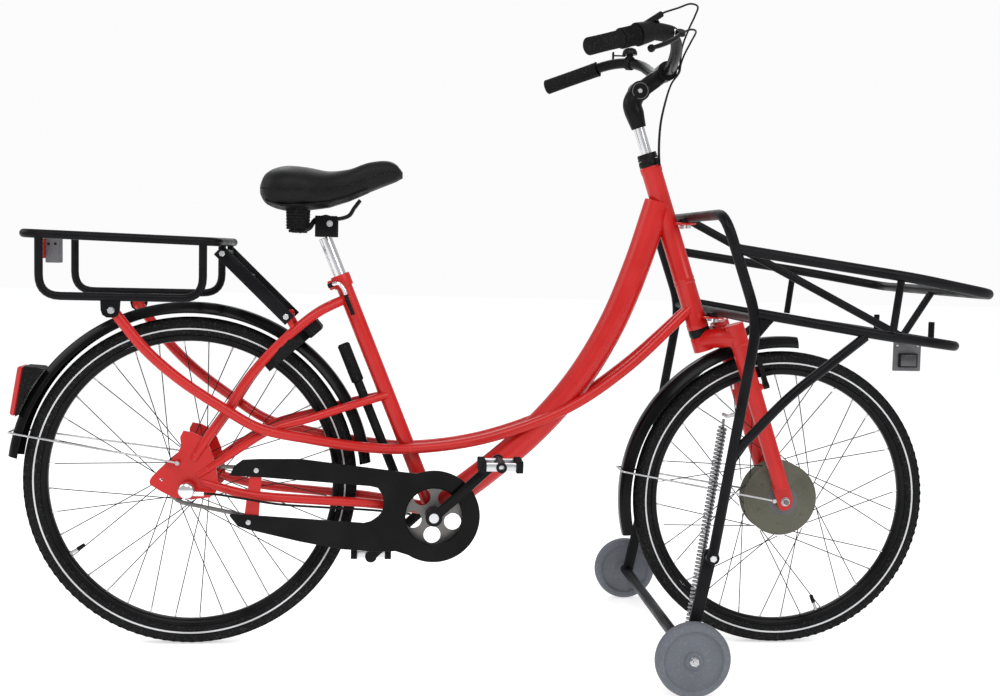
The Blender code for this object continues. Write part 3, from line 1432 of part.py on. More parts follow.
def mudguard_stay(axle, reach, angle, eye, eye_side, guard_side):
    """Wire from an eye at one dropout, round behind the mudguard, to the other side's eye."""
    radius = MUDGUARD_STAY_RADIUS
    behind = reach + MUDGUARD_WALL / 2 + FIT + radius
    out = Vector((math.cos(angle), 0.0, math.sin(angle)))
    corners = []
    for side in (-1, 1):
        eye_end = eye + SIDEWAYS * side * eye_side
        turn = axle + out * behind + SIDEWAYS * side * guard_side
        corners += [eye_end, turn] if side == -1 else [turn, eye_end]
    wire = tube(bent(corners, 0.008, 1), radius, THIN_SIDES)
    eyes = []
    for side in (-1, 1):
        inner = side * (eye_side - radius)
        eyes.append(cross_rod(eye, MUDGUARD_STAY_EYE, inner, inner + side * 0.008, THIN_SIDES))
    return fuse(wire, *eyes)


def build_rear_mudguard(frame_body):
    """Rear mudguard with its wire stay."""
    start, end = REAR_MUDGUARD_SPAN
    guard = mudguard(REAR_AXLE, REAR_MUDGUARD_REACH, start, end, 12)
    frame_body.add("rear_mudguard", guard, "black")
    stay = mudguard_stay(
        REAR_AXLE,
        REAR_MUDGUARD_REACH,
        REAR_STAY_ANGLE,
        REAR_STAY_EYE,
        DROPOUT_OFFSET + SEAT_STAY_RADIUS + FIT + MUDGUARD_STAY_RADIUS,
        MUDGUARD_WIDTH / 2 + 0.004,
    )
    frame_body.add("rear_mudguard_stay", stay, "silver")


def build_tail_light(frame_body):
    """Tail light: housing that follows the mudguard, and its lens."""
    top_x, top_z = LIGHT_TOP
    foot_x, foot_z = LIGHT_FOOT
    outline = [
        (REAR_AXLE.x + top_x, REAR_AXLE.z + top_z),
        (REAR_AXLE.x + foot_x, REAR_AXLE.z + foot_z),
        (REAR_AXLE.x + foot_x + 0.05, REAR_AXLE.z + foot_z + 0.012),
        (REAR_AXLE.x + top_x + 0.05, REAR_AXLE.z + top_z - 0.014),
        (REAR_AXLE.x + top_x + 0.030, REAR_AXLE.z + top_z - 0.002),
    ]
    half = LIGHT_WIDTH / 2
    housing = plate([outline], -half, half)
    keep_off = clear_bore(REAR_MUDGUARD_REACH + MUDGUARD_WALL / 2, FIT, 48)
    housing = carve(housing, cross_rod(REAR_AXLE, keep_off, -0.1, 0.1, 48))
    frame_body.add("tail_light_body", housing, "matt_black")
    top = rear_point(top_x, top_z)
    foot = rear_point(foot_x, foot_z)
    along = (foot - top).normalized()
    outward = Vector((along.z, 0.0, -along.x)) * (LENS_THICKNESS / 2 + FIT)
    start = top + outward + along * 0.002
    end = foot + outward - along * 0.002
    lens = beam(start, end, LIGHT_WIDTH - 0.003, LENS_THICKNESS)
    frame_body.add("tail_light_lens", rounded(lens, 0.003), "clear")


def lock_point(angle, radius):
    """Point of the lock's plane, at an angle from its open side toward the bicycle's left."""
    return LOCK_CENTRE - LOCK_AXIS * radius * math.cos(angle) + SIDEWAYS * radius * math.sin(angle)


def lock_arc(start, end, steps, radius=LOCK_RING_RADIUS):
    """Points along the lock's ring."""
    return [lock_point(start + (end - start) * step / steps, radius) for step in range(steps + 1)]


def build_lock(frame_body, shackle):
    """Ring lock on the seat stays, open below, with its curved shackle drawn in."""
    half = LOCK_THICKNESS / 2
    inner = LOCK_RING_RADIUS - LOCK_RING_HALF_WIDTH
    outer = LOCK_RING_RADIUS + LOCK_RING_HALF_WIDTH
    rings = []
    steps = 12
    for step in range(steps + 1):
        angle = LOCK_MOUTH + (2 * math.pi - 2 * LOCK_MOUTH) * step / steps
        near, far = lock_point(angle, inner), lock_point(angle, outer)
        rise = LOCK_NORMAL * half
        rings.append([near - rise, near + rise, far + rise, far - rise])
    housing = block(
        LOCK_CENTRE + LOCK_AXIS * (outer + 0.009),
        Vector((0.034, 0.072, LOCK_THICKNESS + 0.006)),
        LOCK_AXIS,
        LOCK_NORMAL,
    )
    pieces = [rounded(housing, 0.004)]
    for side in (-1, 1):
        foot = lock_point(side * LOCK_LUG_ANGLE, outer - 0.005)
        stay_at = foot - LOCK_NORMAL * LOCK_LUG_LENGTH
        pieces.append(beam(foot, stay_at, 0.014, 0.014, LOCK_AXIS))
    channel = clear_bore(SHACKLE_RADIUS, SHACKLE_GAP, THIN_SIDES)
    left = lock_arc(LOCK_MOUTH - 0.1, LOCK_MOUTH + SHACKLE_SPAN + 0.12, 12)
    right = lock_arc(-LOCK_MOUTH + 0.1, -LOCK_MOUTH - math.radians(16), 3)
    body = carve(fuse(loft(rings), *pieces), tube(left, channel, THIN_SIDES))
    body = carve(body, tube(right, channel, THIN_SIDES), seat_stay(-1, FIT), seat_stay(1, FIT))
    keep_off = clear_bore(REAR_MUDGUARD_REACH + MUDGUARD_WALL / 2, FIT, 48)
    half_guard = MUDGUARD_WIDTH / 2 + MUDGUARD_WALL
    body = carve(body, cross_rod(REAR_AXLE, keep_off, -half_guard, half_guard, 48))
    frame_body.add("ring_lock_body", body, "matt_black")
    start = LOCK_MOUTH + math.radians(2)
    bar = tube(lock_arc(start, start + SHACKLE_SPAN, 14), SHACKLE_RADIUS, THIN_SIDES)
    shackle.add("ring_lock_shackle", bar, "steel")


def build_pump(frame_body):
    """Hand pump behind the seat tube."""
    barrel_top = pump_axis(PUMP_HANDLE_BOTTOM + 0.01)
    barrel = rod(pump_axis(PUMP_BOTTOM), barrel_top, PUMP_BARREL_RADIUS, TUBE_SIDES)
    handle = rod(pump_axis(PUMP_HANDLE_BOTTOM), pump_axis(PUMP_TOP), PUMP_HANDLE_RADIUS, 12)
    frame_body.add("pump", fuse(rounded(handle, 0.003), barrel), "black")


def build_seat_lever(lever):
    """Quick-release lever beside the seat tube's collar."""
    pivot = lever.pivot
    barrel = rod(pivot - SEAT_AHEAD * 0.006, pivot + SEAT_AHEAD * 0.006, 0.0048, TUBE_SIDES)
    path = [
        pivot,
        pivot + Vector((0.016, -0.003, 0.004)),
        pivot + Vector((0.028, -0.004, -0.010)),
        pivot + Vector((0.034, -0.004, -0.028)),
        pivot + Vector((0.046, -0.004, -0.058)),
    ]
    widths = [0.8, 0.8, 0.8, 0.8, 0.9, 1.3, 1.45, 1.35, 0.9]
    arm = tube(smooth(path, 2), 0.0042, THIN_SIDES, scales=widths)
    lever.add("seat_lever", fuse(barrel, arm), "silver")


def build_shift_gear(frame_body):
    """Box on the right end of the rear axle and the cable that leads forward from it."""
    near = DROPOUT_OFFSET + DROPOUT_THICKNESS / 2 + AXLE_NUT_HEIGHT + 2 * FIT
    centre = REAR_AXLE + Vector((0.002, 0.0, -0.004))
    drum = cross_rod(centre, GEAR_BOX_RADIUS, -near, -near - GEAR_BOX_WIDTH, SHAFT_SIDES)
    snout_start = centre + Vector((0.0, -near - 0.011, -0.006))
    snout_end = snout_start + Vector((0.034, 0.0, -0.001))
    box = fuse(rounded(drum, 0.004), rod(snout_start, snout_end, 0.0055, TUBE_SIDES))
    frame_body.add("shift_box", box, "silver")
    start = snout_end + FORWARD * FIT
    points = [start] + [start + step for step in SHIFT_CABLE_WAY]
    frame_body.add("shift_cable", tube(smooth(points, 1), SHIFT_CABLE_RADIUS, THIN_SIDES), "black")


def saddle_ring(x, half_width, top, bottom):
    """Section of the cushion: crowned above, drawn in at the sides."""
    height = top - bottom
    pairs = (
        (0.66, 0.00),
        (0.98, 0.24),
        (0.94, 0.66),
        (0.52, 0.96),
        (0.00, 0.975),
    )
    right = [Vector((x, half_width * y, bottom + height * z)) for y, z in pairs]
    left = [Vector((x, -point.y, point.z)) for point in reversed(right[:-1])]
    return right + left


def saddle_wire(saddle, side):
    """Way of one of the saddle's wires: boot, straight part in the clamp, then up to the nose."""
    at = saddle.pivot
    height = at.z + SADDLE_WIRE_HEIGHT
    spread = side * SADDLE_WIRE_SPREAD
    boot = Vector((BOOT_AHEAD, side * BOOT_SIDE, BOOT_BOTTOM - 0.004))
    return [
        boot,
        Vector((BOOT_AHEAD + 0.021, side * 0.036, BOOT_BOTTOM + 0.003)),
        Vector((at.x - CLAMP_RADIUS, spread, height - 0.002)),
        Vector((at.x, spread, height)),
        Vector((at.x + CLAMP_RADIUS + 0.004, spread, height)),
        Vector((at.x + 0.045, side * 0.020, height + 0.007)),
        Vector((at.x + 0.055, side * 0.017, height + 0.022)),
        Vector((at.x + SADDLE_NOSE_AHEAD, side * 0.014, height + 0.0435)),
    ]


def build_saddle(saddle):
    """Clamp, rails, base shell with its two spring boots, and the cushion."""
    rings = []
    for share, half_width, top, bottom in SADDLE_SECTIONS:
        rings.append(saddle_ring(SADDLE_REAR + SADDLE_LENGTH * share, half_width, top, bottom))
    saddle.add("saddle_cushion", softened(loft(rings)), "leatherette", 60)
    boots = []
    for side in (-1, 1):
        foot = Vector((BOOT_AHEAD, side * BOOT_SIDE, BOOT_BOTTOM))
        head = Vector((BOOT_AHEAD, side * BOOT_SIDE, 0.886))
        boots.append(rod(foot, head, BOOT_RADIUS, SHAFT_SIDES, BOOT_TOP_RADIUS))
    wires = []
    channels = []
    for side in (-1, 1):
        way = saddle_wire(saddle, side)
        wires.append(tube(smooth(way, 1), SADDLE_WIRE_RADIUS, THIN_SIDES))
        channels.append(tube(smooth(way, 1), SADDLE_WIRE_RADIUS + FIT, THIN_SIDES))
        pad = Vector((BOOT_AHEAD, side * BOOT_SIDE, BOOT_BOTTOM - FIT))
        wires.append(rod(pad - UPWARD * BOOT_PAD_THICKNESS, pad, BOOT_PAD_RADIUS, THIN_SIDES))
    nose = saddle_wire(saddle, 1)[-2]
    nose_at = Vector((nose.x, 0.0, nose.z))
    bridge = cross_rod(nose_at, SADDLE_WIRE_RADIUS * 1.2, -nose.y, nose.y, THIN_SIDES)
    rails = carve(fuse(bridge, *wires), saddle_base(FIT))
    shell = carve(fuse(saddle_base(), *boots), *channels)
    saddle.add("saddle_shell", shell, "matt_black")
    saddle.add("saddle_rails", rails, "steel")
    half = CLAMP_HALF_LENGTH
    clamp = cross_rod(saddle.pivot, CLAMP_RADIUS, -half, half, SHAFT_SIDES)
    channels = []
    for side in (-1, 1):
        way = saddle_wire(saddle, side)
        channels.append(tube(smooth(way, 1), SADDLE_WIRE_RADIUS + FIT, THIN_SIDES))
    saddle.add("saddle_clamp", carve(clamp, *channels), "matt_black")


def saddle_base(extra=0.0):
    """Dished shell under the cushion, deeper by extra."""
    rings = []
    for share, half_width, _, bottom in SADDLE_SECTIONS[1:-2]:
        x = SADDLE_REAR + SADDLE_LENGTH * share
        top = bottom - FIT
        half = half_width * SHELL_SHARE
        low = top - SHELL_DEPTH - extra
        half_ring = [(half, top), (half, top - 0.004 - extra), (0.55 * half, low)]
        ring = [Vector((x, y, z)) for y, z in half_ring]
        rings.append(ring + [Vector((x, -y, z)) for y, z in reversed(half_ring)])
    return loft(rings)


def build_fork(steering):
    """Fork with its crown, blades, dropouts and steerer."""
    steerer_end = HEAD_LENGTH + STEERER_ABOVE_HEAD
    steerer = rod(steer_point(CROWN_UP), steer_point(steerer_end), STEERER_RADIUS, HEAD_SIDES)
    crown_race = steer_point(-LOWER_CUP_HEIGHT - FIT)
    base = rod(crown_race, steer_point(CROWN_UP - 0.022), CUP_RADIUS, HEAD_SIDES)
    pieces = []
    for side in (-1, 1):
        spread = side * FORK_SPREAD / 2
        shoulder = [
            steer_point(CROWN_UP, 0.0, 0.0),
            steer_point(CROWN_UP, 0.022, 0.45 * spread),
            steer_point(CROWN_UP - 0.004, 0.75 * FORK_RAKE, 0.86 * spread),
            steer_point(CROWN_UP - 0.008, FORK_RAKE, spread),
        ]
        pieces.append(tube(shoulder, CROWN_RADIUS, THIN_SIDES))
        top = steer_point(BLADE_TOP + 0.010, FORK_RAKE, spread)
        bottom = steer_point(BLADE_BOTTOM, FORK_RAKE, spread)
        pieces.append(rod(top, bottom, BLADE_RADIUS, SHAFT_SIDES, BLADE_TAPER * BLADE_RADIUS))
        cap = steer_point(BLADE_TOP + 0.013, FORK_RAKE, spread)
        cap_start = steer_point(BLADE_TOP - 0.030, FORK_RAKE, spread)
        pieces.append(rod(cap_start, cap, BLADE_CAP_RADIUS, TUBE_SIDES))
        pieces.append(fork_dropout(side))
        boss = steer_point(BRAKE_BOSS_UP, BRAKE_BOSS_AHEAD - FIT, side * BRAKE_BOSS_SPREAD)
        root = steer_point(BRAKE_BOSS_UP, FORK_RAKE + 0.004, side * (BRAKE_BOSS_SPREAD + 0.010))
        pieces.append(rod(root, boss - STEER_AHEAD * 0.0035, BRAKE_BOSS_RADIUS, THIN_SIDES))
        pin_end = boss + STEER_AHEAD * BRAKE_PIN_LENGTH
        pieces.append(rod(boss - STEER_AHEAD * 0.006, pin_end, BRAKE_PIN_RADIUS, TUBE_SIDES))
    wedge = block(steer_point(CROWN_UP + 0.012, 0.044), Vector((0.026, 0.030, 0.030)), STEER_AHEAD)
    cup_room = clear_bore(CUP_RADIUS, FIT, HEAD_SIDES)
    keep_clear = rod(crown_race, steer_point(0.08), cup_room, HEAD_SIDES)
    fork = fuse(fuse(steerer, base), carve(fuse(wedge, *pieces), keep_clear))
    keep_off = clear_bore(FRONT_MUDGUARD_REACH + MUDGUARD_WALL / 2, FIT, 36)
    half_guard = MUDGUARD_WIDTH / 2 + MUDGUARD_WALL
    arch = cross_rod(FRONT_AXLE, keep_off, -half_guard, half_guard, 36)
    bore_start = steer_point(steerer_end - QUILL_INSERTED - 0.020)
    bore_end = steer_point(steerer_end + 0.02)
    bore = rod(bore_start, bore_end, QUILL_RADIUS + FIT, HEAD_SIDES)
    steering.add("fork", carve(fork, arch, bore), "red")


def fork_dropout(side):
    """Plate at the blade's foot that takes the front axle."""
    centre = side * FORK_DROPOUT_OFFSET
    up = steer_point(BLADE_BOTTOM + 0.012, FORK_RAKE)
    width = STEER_AHEAD * 0.0165
    foot = FRONT_AXLE - STEER_UP * 0.017
    corners = [up - width, up + width, FRONT_AXLE + width, foot + width * 0.4, foot - width * 0.6]
    corners.append(FRONT_AXLE - width)
    outline = [(point.x, point.z) for point in corners]
    bore = circle(FRONT_AXLE, clear_bore(AXLE_RADIUS, FIT, TUBE_SIDES), TUBE_SIDES)
    half = FORK_DROPOUT_THICKNESS / 2
    return plate([outline, bore], centre - half, centre + half)


def build_steering(steering):
    """Everything that turns with the fork, apart from the wheel."""
    build_fork(steering)
    start = HEAD_LENGTH + UPPER_CUP_HEIGHT + FIT
    bore = clear_bore(STEERER_RADIUS, FIT, HEAD_SIDES)
    nut = [
        (bore, start + LOCKNUT_HEIGHT),
        (CUP_RADIUS - 0.003, start + LOCKNUT_HEIGHT),
        (CUP_RADIUS - 0.001, start),
        (bore, start),
    ]
    steering.add("headset_locknut", turned(nut, HEAD_BOTTOM, STEER_UP, HEAD_SIDES), "black")
    span_start, span_end = FRONT_MUDGUARD_SPAN
    guard = mudguard(FRONT_AXLE, FRONT_MUDGUARD_REACH, span_start, span_end, 9)
    steering.add("front_mudguard", guard, "black")
    inner_face = FORK_DROPOUT_OFFSET + FORK_DROPOUT_THICKNESS / 2
    stay = mudguard_stay(
        FRONT_AXLE,
        FRONT_MUDGUARD_REACH,
        FRONT_STAY_ANGLE,
        FRONT_STAY_EYE,
        inner_face + FIT + MUDGUARD_STAY_RADIUS,
        MUDGUARD_WIDTH / 2 + 0.004,
    )
    steering.add("front_mudguard_stay", stay, "silver")
    axle = axle_with_nuts(FRONT_AXLE, inner_face, inner_face + AXLE_NUT_HEIGHT + FRONT_AXLE_END)
    steering.add("front_axle", axle, "silver")
    build_quill(steering)


def build_quill(steering):
    """Quill with the stem's base and its pivot boss."""
    quill_start = steer_point(HEAD_LENGTH + STEERER_ABOVE_HEAD - QUILL_INSERTED)
    quill = rod(quill_start, steer_point(STEM_BASE_UP + 0.02), QUILL_RADIUS, HEAD_SIDES)
    knee = [
        steer_point(STEM_BASE_UP),
        steer_point(STEM_BASE_UP + 0.027),
        steer_point(STEM_BASE_UP + 0.050, 0.001),
        steer_point(STEM_BASE_UP + 0.064, 0.012),
        STEM_PIVOT.copy(),
    ]
    base = tube(knee, 0.0195, SHAFT_SIDES, scales=[0.74, 0.86, 1.0, 1.0, 0.7])
    boss = cross_rod(STEM_PIVOT, STEM_BOSS_RADIUS, -STEM_BOSS_HALF, STEM_BOSS_HALF, SHAFT_SIDES)
    keep_off = clear_bore(STEM_BOSS_RADIUS, RUNNING_GAP, SHAFT_SIDES)
    cheeks = []
    for side in (-1, 1):
        start = side * STEM_BOSS_HALF
        cheeks.append(cross_rod(STEM_PIVOT, keep_off, start, side * 0.03, SHAFT_SIDES))
    bolt_radius = clear_bore(STEM_BOLT_RADIUS, FIT, SHAFT_SIDES)
    bolt_hole = cross_rod(STEM_PIVOT, bolt_radius, -0.03, 0.03, SHAFT_SIDES)
    piece = carve(fuse(quill, base), *cheeks)
    piece = carve(fuse(piece, boss), bolt_hole)
    steering.add("quill_stem", piece, "black")


def bar_point(station, side):
    """Station of the handlebar, measured from the stem's clamp."""
    x, y, z = station
    return BAR_CLAMP + Vector((x, side * y, z))


def grip_line(side):
    """Start of the straight grip part and its direction outward."""
    start = bar_point(BAR_STATIONS[-1], side)
    end = bar_point(BAR_END, side)
    return start, (end - start).normalized()


def bar_path(side):
    """Points of half the handlebar, from the clamp to the end."""
    start, along = grip_line(side)
    inboard = [bar_point(station, side) for station in BAR_STATIONS]
    return inboard + [start + along * GRIP_STRETCH]


def handlebar(extra=0.0):
    """Swept handlebar, thicker at the clamp; extra widens it for a bore."""
    left = bar_path(1)
    right = bar_path(-1)
    path = list(reversed(right)) + left[1:]
    middle = len(right) - 1
    thick = BAR_CLAMP_RADIUS / BAR_RADIUS
    scales = [thick if abs(index - middle) <= 1 else 1.0 for index in range(len(path))]
    return tube(path, BAR_RADIUS + extra, TUBE_SIDES, scales=scales)


def grip_frame(side):
    """Directions at a grip: along it outward, forward across it, and up across it."""
    _, along = grip_line(side)
    up = (UPWARD - along * along.z).normalized()
    forward = along.cross(up) * side
    return along, forward, up


def build_stem(stem):
    """Stem extension, handlebar and grips."""
    reach = (BAR_CLAMP - STEM_PIVOT).normalized()
    cheek_inner = STEM_BOSS_HALF + FIT
    arm_half = STEM_CHEEK_OUTER - 3 * FIT
    wall = BAR_CLAMP_RADIUS + BAR_CLAMP_WALL
    ring = cross_rod(BAR_CLAMP, wall, -BAR_CLAMP_HALF, BAR_CLAMP_HALF, SHAFT_SIDES)
    arm_start = STEM_PIVOT + reach * 0.002
    arm_end = BAR_CLAMP - reach * 0.004
    arm = beam(arm_start, arm_end, 2 * arm_half, STEM_ARM_HEIGHT)
    lip = block(BAR_CLAMP + reach * 0.020, Vector((0.012, 0.036, 0.022)), reach)
    outer = STEM_CHEEK_OUTER
    head = cross_rod(STEM_PIVOT, STEM_BOSS_RADIUS, -outer, outer, SHAFT_SIDES)
    solid = fuse(ring, lip, arm, head)
    keep_off = clear_bore(STEM_BOSS_RADIUS, RUNNING_GAP, SHAFT_SIDES)
    gap = cross_rod(STEM_PIVOT, keep_off, -cheek_inner, cheek_inner, SHAFT_SIDES)
    base_room = beam(
        STEM_PIVOT - reach * 0.040, STEM_PIVOT - reach * 0.002, 2 * cheek_inner, 0.060
    )
    extension = carve(solid, fuse(gap, base_room), handlebar(FIT))
    bolt_end = STEM_CHEEK_OUTER - 0.002
    bolt = cross_rod(STEM_PIVOT, STEM_BOLT_RADIUS, -bolt_end, bolt_end, SHAFT_SIDES)
    stem.add("stem_extension", fuse(extension, bolt), "black")
    stem.add("handlebar", handlebar(), "black")
    bore_radius = clear_bore(BAR_RADIUS, FIT, TUBE_SIDES)
    grips = ((-1, "right_grip", RIGHT_GRIP_LENGTH), (1, "left_grip", LEFT_GRIP_LENGTH))
    for side, name, length in grips:
        start, along = grip_line(side)
        outer = start + along * (GRIP_STRETCH + 0.005)
        inner = start + along * (GRIP_STRETCH - length)
        grip = rounded(rod(inner, outer, GRIP_RADIUS, SHAFT_SIDES), 0.003)
        bore = rod(inner - along * 0.02, start + along * (GRIP_STRETCH + FIT), bore_radius, TUBE_SIDES)
        stem.add(name, carve(grip, bore), "rubber")


def build_controls(stem, sleeve, brake_lever, bell_lever):
    """Twist shifter, housing, brake lever, bell and the cables of the right control."""
    start, along = grip_line(-1)
    sleeve_end = GRIP_STRETCH - RIGHT_GRIP_LENGTH - RUNNING_GAP
    inner = start + along * (sleeve_end - SLEEVE_LENGTH)
    outer = start + along * sleeve_end
    turning = rod(inner, outer, SLEEVE_RADIUS, SHAFT_SIDES, 0.92 * SLEEVE_RADIUS)
    bore_radius = clear_bore(BAR_RADIUS, RUNNING_GAP, SHAFT_SIDES)
    bore = rod(inner - along * 0.01, outer + along * 0.01, bore_radius, SHAFT_SIDES)
    sleeve.add("shifter_sleeve", carve(turning, bore), "rubber")
    housing_outer = inner - along * RUNNING_GAP
    housing_inner = housing_outer - along * HOUSING_LENGTH
    housing = rod(housing_inner, housing_outer, 0.85 * HOUSING_RADIUS, 14, HOUSING_RADIUS)
    perch_along, perch_forward = perch_frame()
    perch_at = brake_lever.pivot
    bar_at = bar_point(BAR_STATIONS[BAR_CLUTTER_STATION], -1)
    inner_end = bar_at - perch_along * 0.010
    way = [housing_outer - along * 0.004, start, bar_at, inner_end]
    link = tube(way, BAR_RADIUS + 2 * LINK_WALL, TUBE_SIDES)
    arm = beam(bar_at, perch_at - perch_forward * 0.006, 0.016, 0.012)
    shift_barrel = rod(shift_barrel_start(), shift_barrel_end(), SHIFT_BARREL_RADIUS, TUBE_SIDES)
    barrel_start = perch_at - perch_forward * 0.011
    brake_barrel = rod(barrel_start, brake_barrel_end(), BRAKE_BARREL_RADIUS, TUBE_SIDES)
    body = fuse(link, housing, arm, shift_barrel, brake_barrel)
    room = lever_axis() * 3 * LEVER_HALF_HEIGHT
    slot = rod(perch_at - room, perch_at + room, LEVER_EYE_RADIUS + RUNNING_GAP, SHAFT_SIDES)
    body = carve(body, slot, handlebar(FIT))
    stem.add("control_housing", body, "black")
    build_brake_lever(brake_lever)
    build_bell(stem, bell_lever)
    build_control_cables(stem)


def perch_frame():
    """Direction along the bar at the brake lever's perch, outward, and forward across it."""
    before = bar_point(BAR_STATIONS[BAR_CLUTTER_STATION - 1], -1)
    after = bar_point(BAR_STATIONS[BAR_CLUTTER_STATION + 1], -1)
    along = (after - before).normalized()
    up = (UPWARD - along * along.z).normalized()
    return along, up.cross(along)


def perch_pivot():
    """Pivot of the brake lever, ahead of the bar."""
    _, forward = perch_frame()
    return bar_point(BAR_STATIONS[BAR_CLUTTER_STATION], -1) + forward * PERCH_REACH


def lever_tip():
    """Ball end of the brake lever, ahead of and below the grip."""
    start, along = grip_line(-1)
    _, forward, up = grip_frame(-1)
    return start + along * LEVER_ALONG + forward * LEVER_REACH - up * LEVER_DROP


def lever_axis():
    """Axis that the brake lever turns about."""
    start, along = grip_line(-1)
    blade = (lever_tip() - perch_pivot()).normalized()
    toward = (start + along * 0.05 - perch_pivot()).normalized()
    return blade.cross(toward).normalized()


def build_brake_lever(brake_lever):
    """Brake lever: pivot eye, blade and ball end."""
    pivot = brake_lever.pivot
    axis = lever_axis()
    half = axis * LEVER_HALF_HEIGHT
    eye = rod(pivot - half, pivot + half, LEVER_EYE_RADIUS, SHAFT_SIDES)
    tip = lever_tip()
    blade = tip - pivot
    outward = axis.cross(blade).normalized() * -0.006
    path = [pivot, pivot + blade * 0.25 + outward, pivot + blade * 0.60 + outward, tip]
    arm = tube(smooth(path, 1), LEVER_BLADE_RADIUS, THIN_SIDES)
    along = blade.normalized()
    ball = rod(tip - along * 0.008, tip + along * 0.004, LEVER_BALL_RADIUS, TUBE_SIDES)
    brake_lever.add("brake_lever", fuse(eye, arm, rounded(ball, 0.002)), "black")


def shift_barrel_start():
    """Root of the shift cable's barrel on the housing."""
    start, along = grip_line(-1)
    return start + along * 0.022 + UPWARD * 0.013


def shift_barrel_end():
    """Mouth of the shift cable's barrel."""
    start, along = grip_line(-1)
    return start - along * 0.026 + UPWARD * 0.027


def brake_barrel_end():
    """Mouth of the brake cable's barrel."""
    _, forward = perch_frame()
    return perch_pivot() + Vector((0.012, 0.028, 0.006)) - forward * 0.004


def build_bell(stem, bell_lever):
    """Bell on the left side of the bar with its thumb lever."""
    at = bar_point(BAR_STATIONS[BAR_CLUTTER_STATION], 1)
    before = bar_point(BAR_STATIONS[BAR_CLUTTER_STATION - 1], 1)
    after = bar_point(BAR_STATIONS[BAR_CLUTTER_STATION + 1], 1)
    along = (after - before).normalized() * 0.007
    clamp = rod(at - along, at + along, BELL_CLAMP_RADIUS, TUBE_SIDES)
    top = at + UPWARD * BELL_RISE
    post = rod(at, top - UPWARD * 0.014, BELL_POST_RADIUS, TUBE_SIDES)
    dome = rod(top - UPWARD * 0.016, top, BELL_RADIUS, TUBE_SIDES, 0.6 * BELL_RADIUS)
    bell = carve(fuse(clamp, post, dome), handlebar(FIT))
    stem.add("bell", bell, "black")
    pivot = bell_lever.pivot
    pin = rod(pivot - UPWARD * 0.0018, pivot + UPWARD * 0.0018, 0.0050, TUBE_SIDES)
    reach = Vector((-0.024, -0.004, -0.001))
    arm = beam(pivot, pivot + reach, 0.006, 0.0030)
    thumb = block(pivot + reach, Vector((0.004, 0.010, 0.016)))
    bell_lever.add("bell_lever", fuse(pin, arm, thumb), "black")


def bell_pivot():
    """Axis of the bell's thumb lever, just behind its post."""
    back = BELL_POST_RADIUS + 0.0055 + FIT
    return bar_point(BAR_STATIONS[BAR_CLUTTER_STATION], 1) + Vector((-back, 0.0, BELL_LEVER_RISE))


def build_control_cables(stem):
    """Shift and brake cables: two loops that join and run down to the head tube."""
    shift_end = shift_barrel_end()
    shift_out = (shift_end - shift_barrel_start()).normalized()
    shift_start = shift_end + shift_out * FIT
    brake_end = brake_barrel_end()
    brake_root = perch_pivot() - perch_frame()[1] * 0.011
    brake_out = (brake_end - brake_root).normalized()
    brake_start = brake_end + brake_out * FIT
    join = BAR_CLAMP + CABLE_JOIN
    shift = [shift_start, shift_start + shift_out * CABLE_STRAIGHT]
    shift += [BAR_CLAMP + step for step in SHIFT_LOOP] + [join]
    brake = [brake_start, brake_start + brake_out * CABLE_STRAIGHT]
    brake += [BAR_CLAMP + step for step in BRAKE_LOOP] + [join]
    brake += [BAR_CLAMP + step for step in CABLE_FALL]
    one = tube(shift, CONTROL_CABLE_RADIUS, THIN_SIDES)
    two = tube(brake, CONTROL_CABLE_RADIUS, THIN_SIDES)
    stem.add("control_cables", fuse(two, one), "black")


def build_brake_arm(arm, side):
    """Brake arm on its fork boss with the brake pad beside the rim."""
    pivot = arm.pivot
    bore_radius = clear_bore(BRAKE_PIN_RADIUS, FIT, SHAFT_SIDES)
    hub_end = pivot + STEER_AHEAD * (BRAKE_PIN_LENGTH - 0.002)
    bore_start = pivot - STEER_AHEAD * 0.01
    bore = rod(bore_start, pivot + STEER_AHEAD * 0.03, bore_radius, SHAFT_SIDES)
    hub = carve(rod(pivot + STEER_AHEAD * FIT, hub_end, BRAKE_HUB_RADIUS, SHAFT_SIDES), bore)
    at = pivot + STEER_AHEAD * 0.0060
    top = at + STEER_UP * BRAKE_ARM_LENGTH - SIDEWAYS * side * 0.001
    root = at + STEER_UP * (bore_radius + BRAKE_HUB_RADIUS) / 2
    bar = beam(root, top, 0.0085, 0.010, STEER_AHEAD)
    rim_middle = rim_inner_radius(FRONT_WHEEL_RADIUS) + 0.5 * RIM_DEPTH
    arm_at = at + STEER_UP * BRAKE_PAD_RISE
    radial = Vector((arm_at.x - FRONT_AXLE.x, 0.0, arm_at.z - FRONT_AXLE.z)).normalized()
    pad_at = FRONT_AXLE + radial * rim_middle
    pad_at.y = side * (RIM_WIDTH / 2 + BRAKE_PAD_GAP + BRAKE_PAD_SIZE.y / 2)
    pad = block(pad_at, BRAKE_PAD_SIZE, radial.cross(SIDEWAYS), radial)
    stud_end = pad_at.copy()
    stud_end.y = at.y
    stud = rod(pad_at, stud_end, 0.0040, THIN_SIDES)
    tie = beam(stud_end, arm_at, 0.0075, 0.0090, STEER_AHEAD)
    piece = fuse(fuse(fuse(hub, bar), pad), fuse(stud, tie))
    name = "front_brake_left_arm" if side == 1 else "front_brake_right_arm"
    arm.add(name, piece, "black")


def carrier_loop(start, turn, tip, radius):
    """Loop of tube from one leg forward, across the front and back to the other leg."""
    half = []
    for (x, z), side in ((start, LEG_SIDE), (turn, LEG_SIDE), (tip, TIP_SIDE)):
        half.append(front_point(x, z, -side))
    other = [Vector((point.x, -point.y, point.z)) for point in reversed(half)]
    return tube(bent(half + other, 0.040, 2), radius, THIN_SIDES)


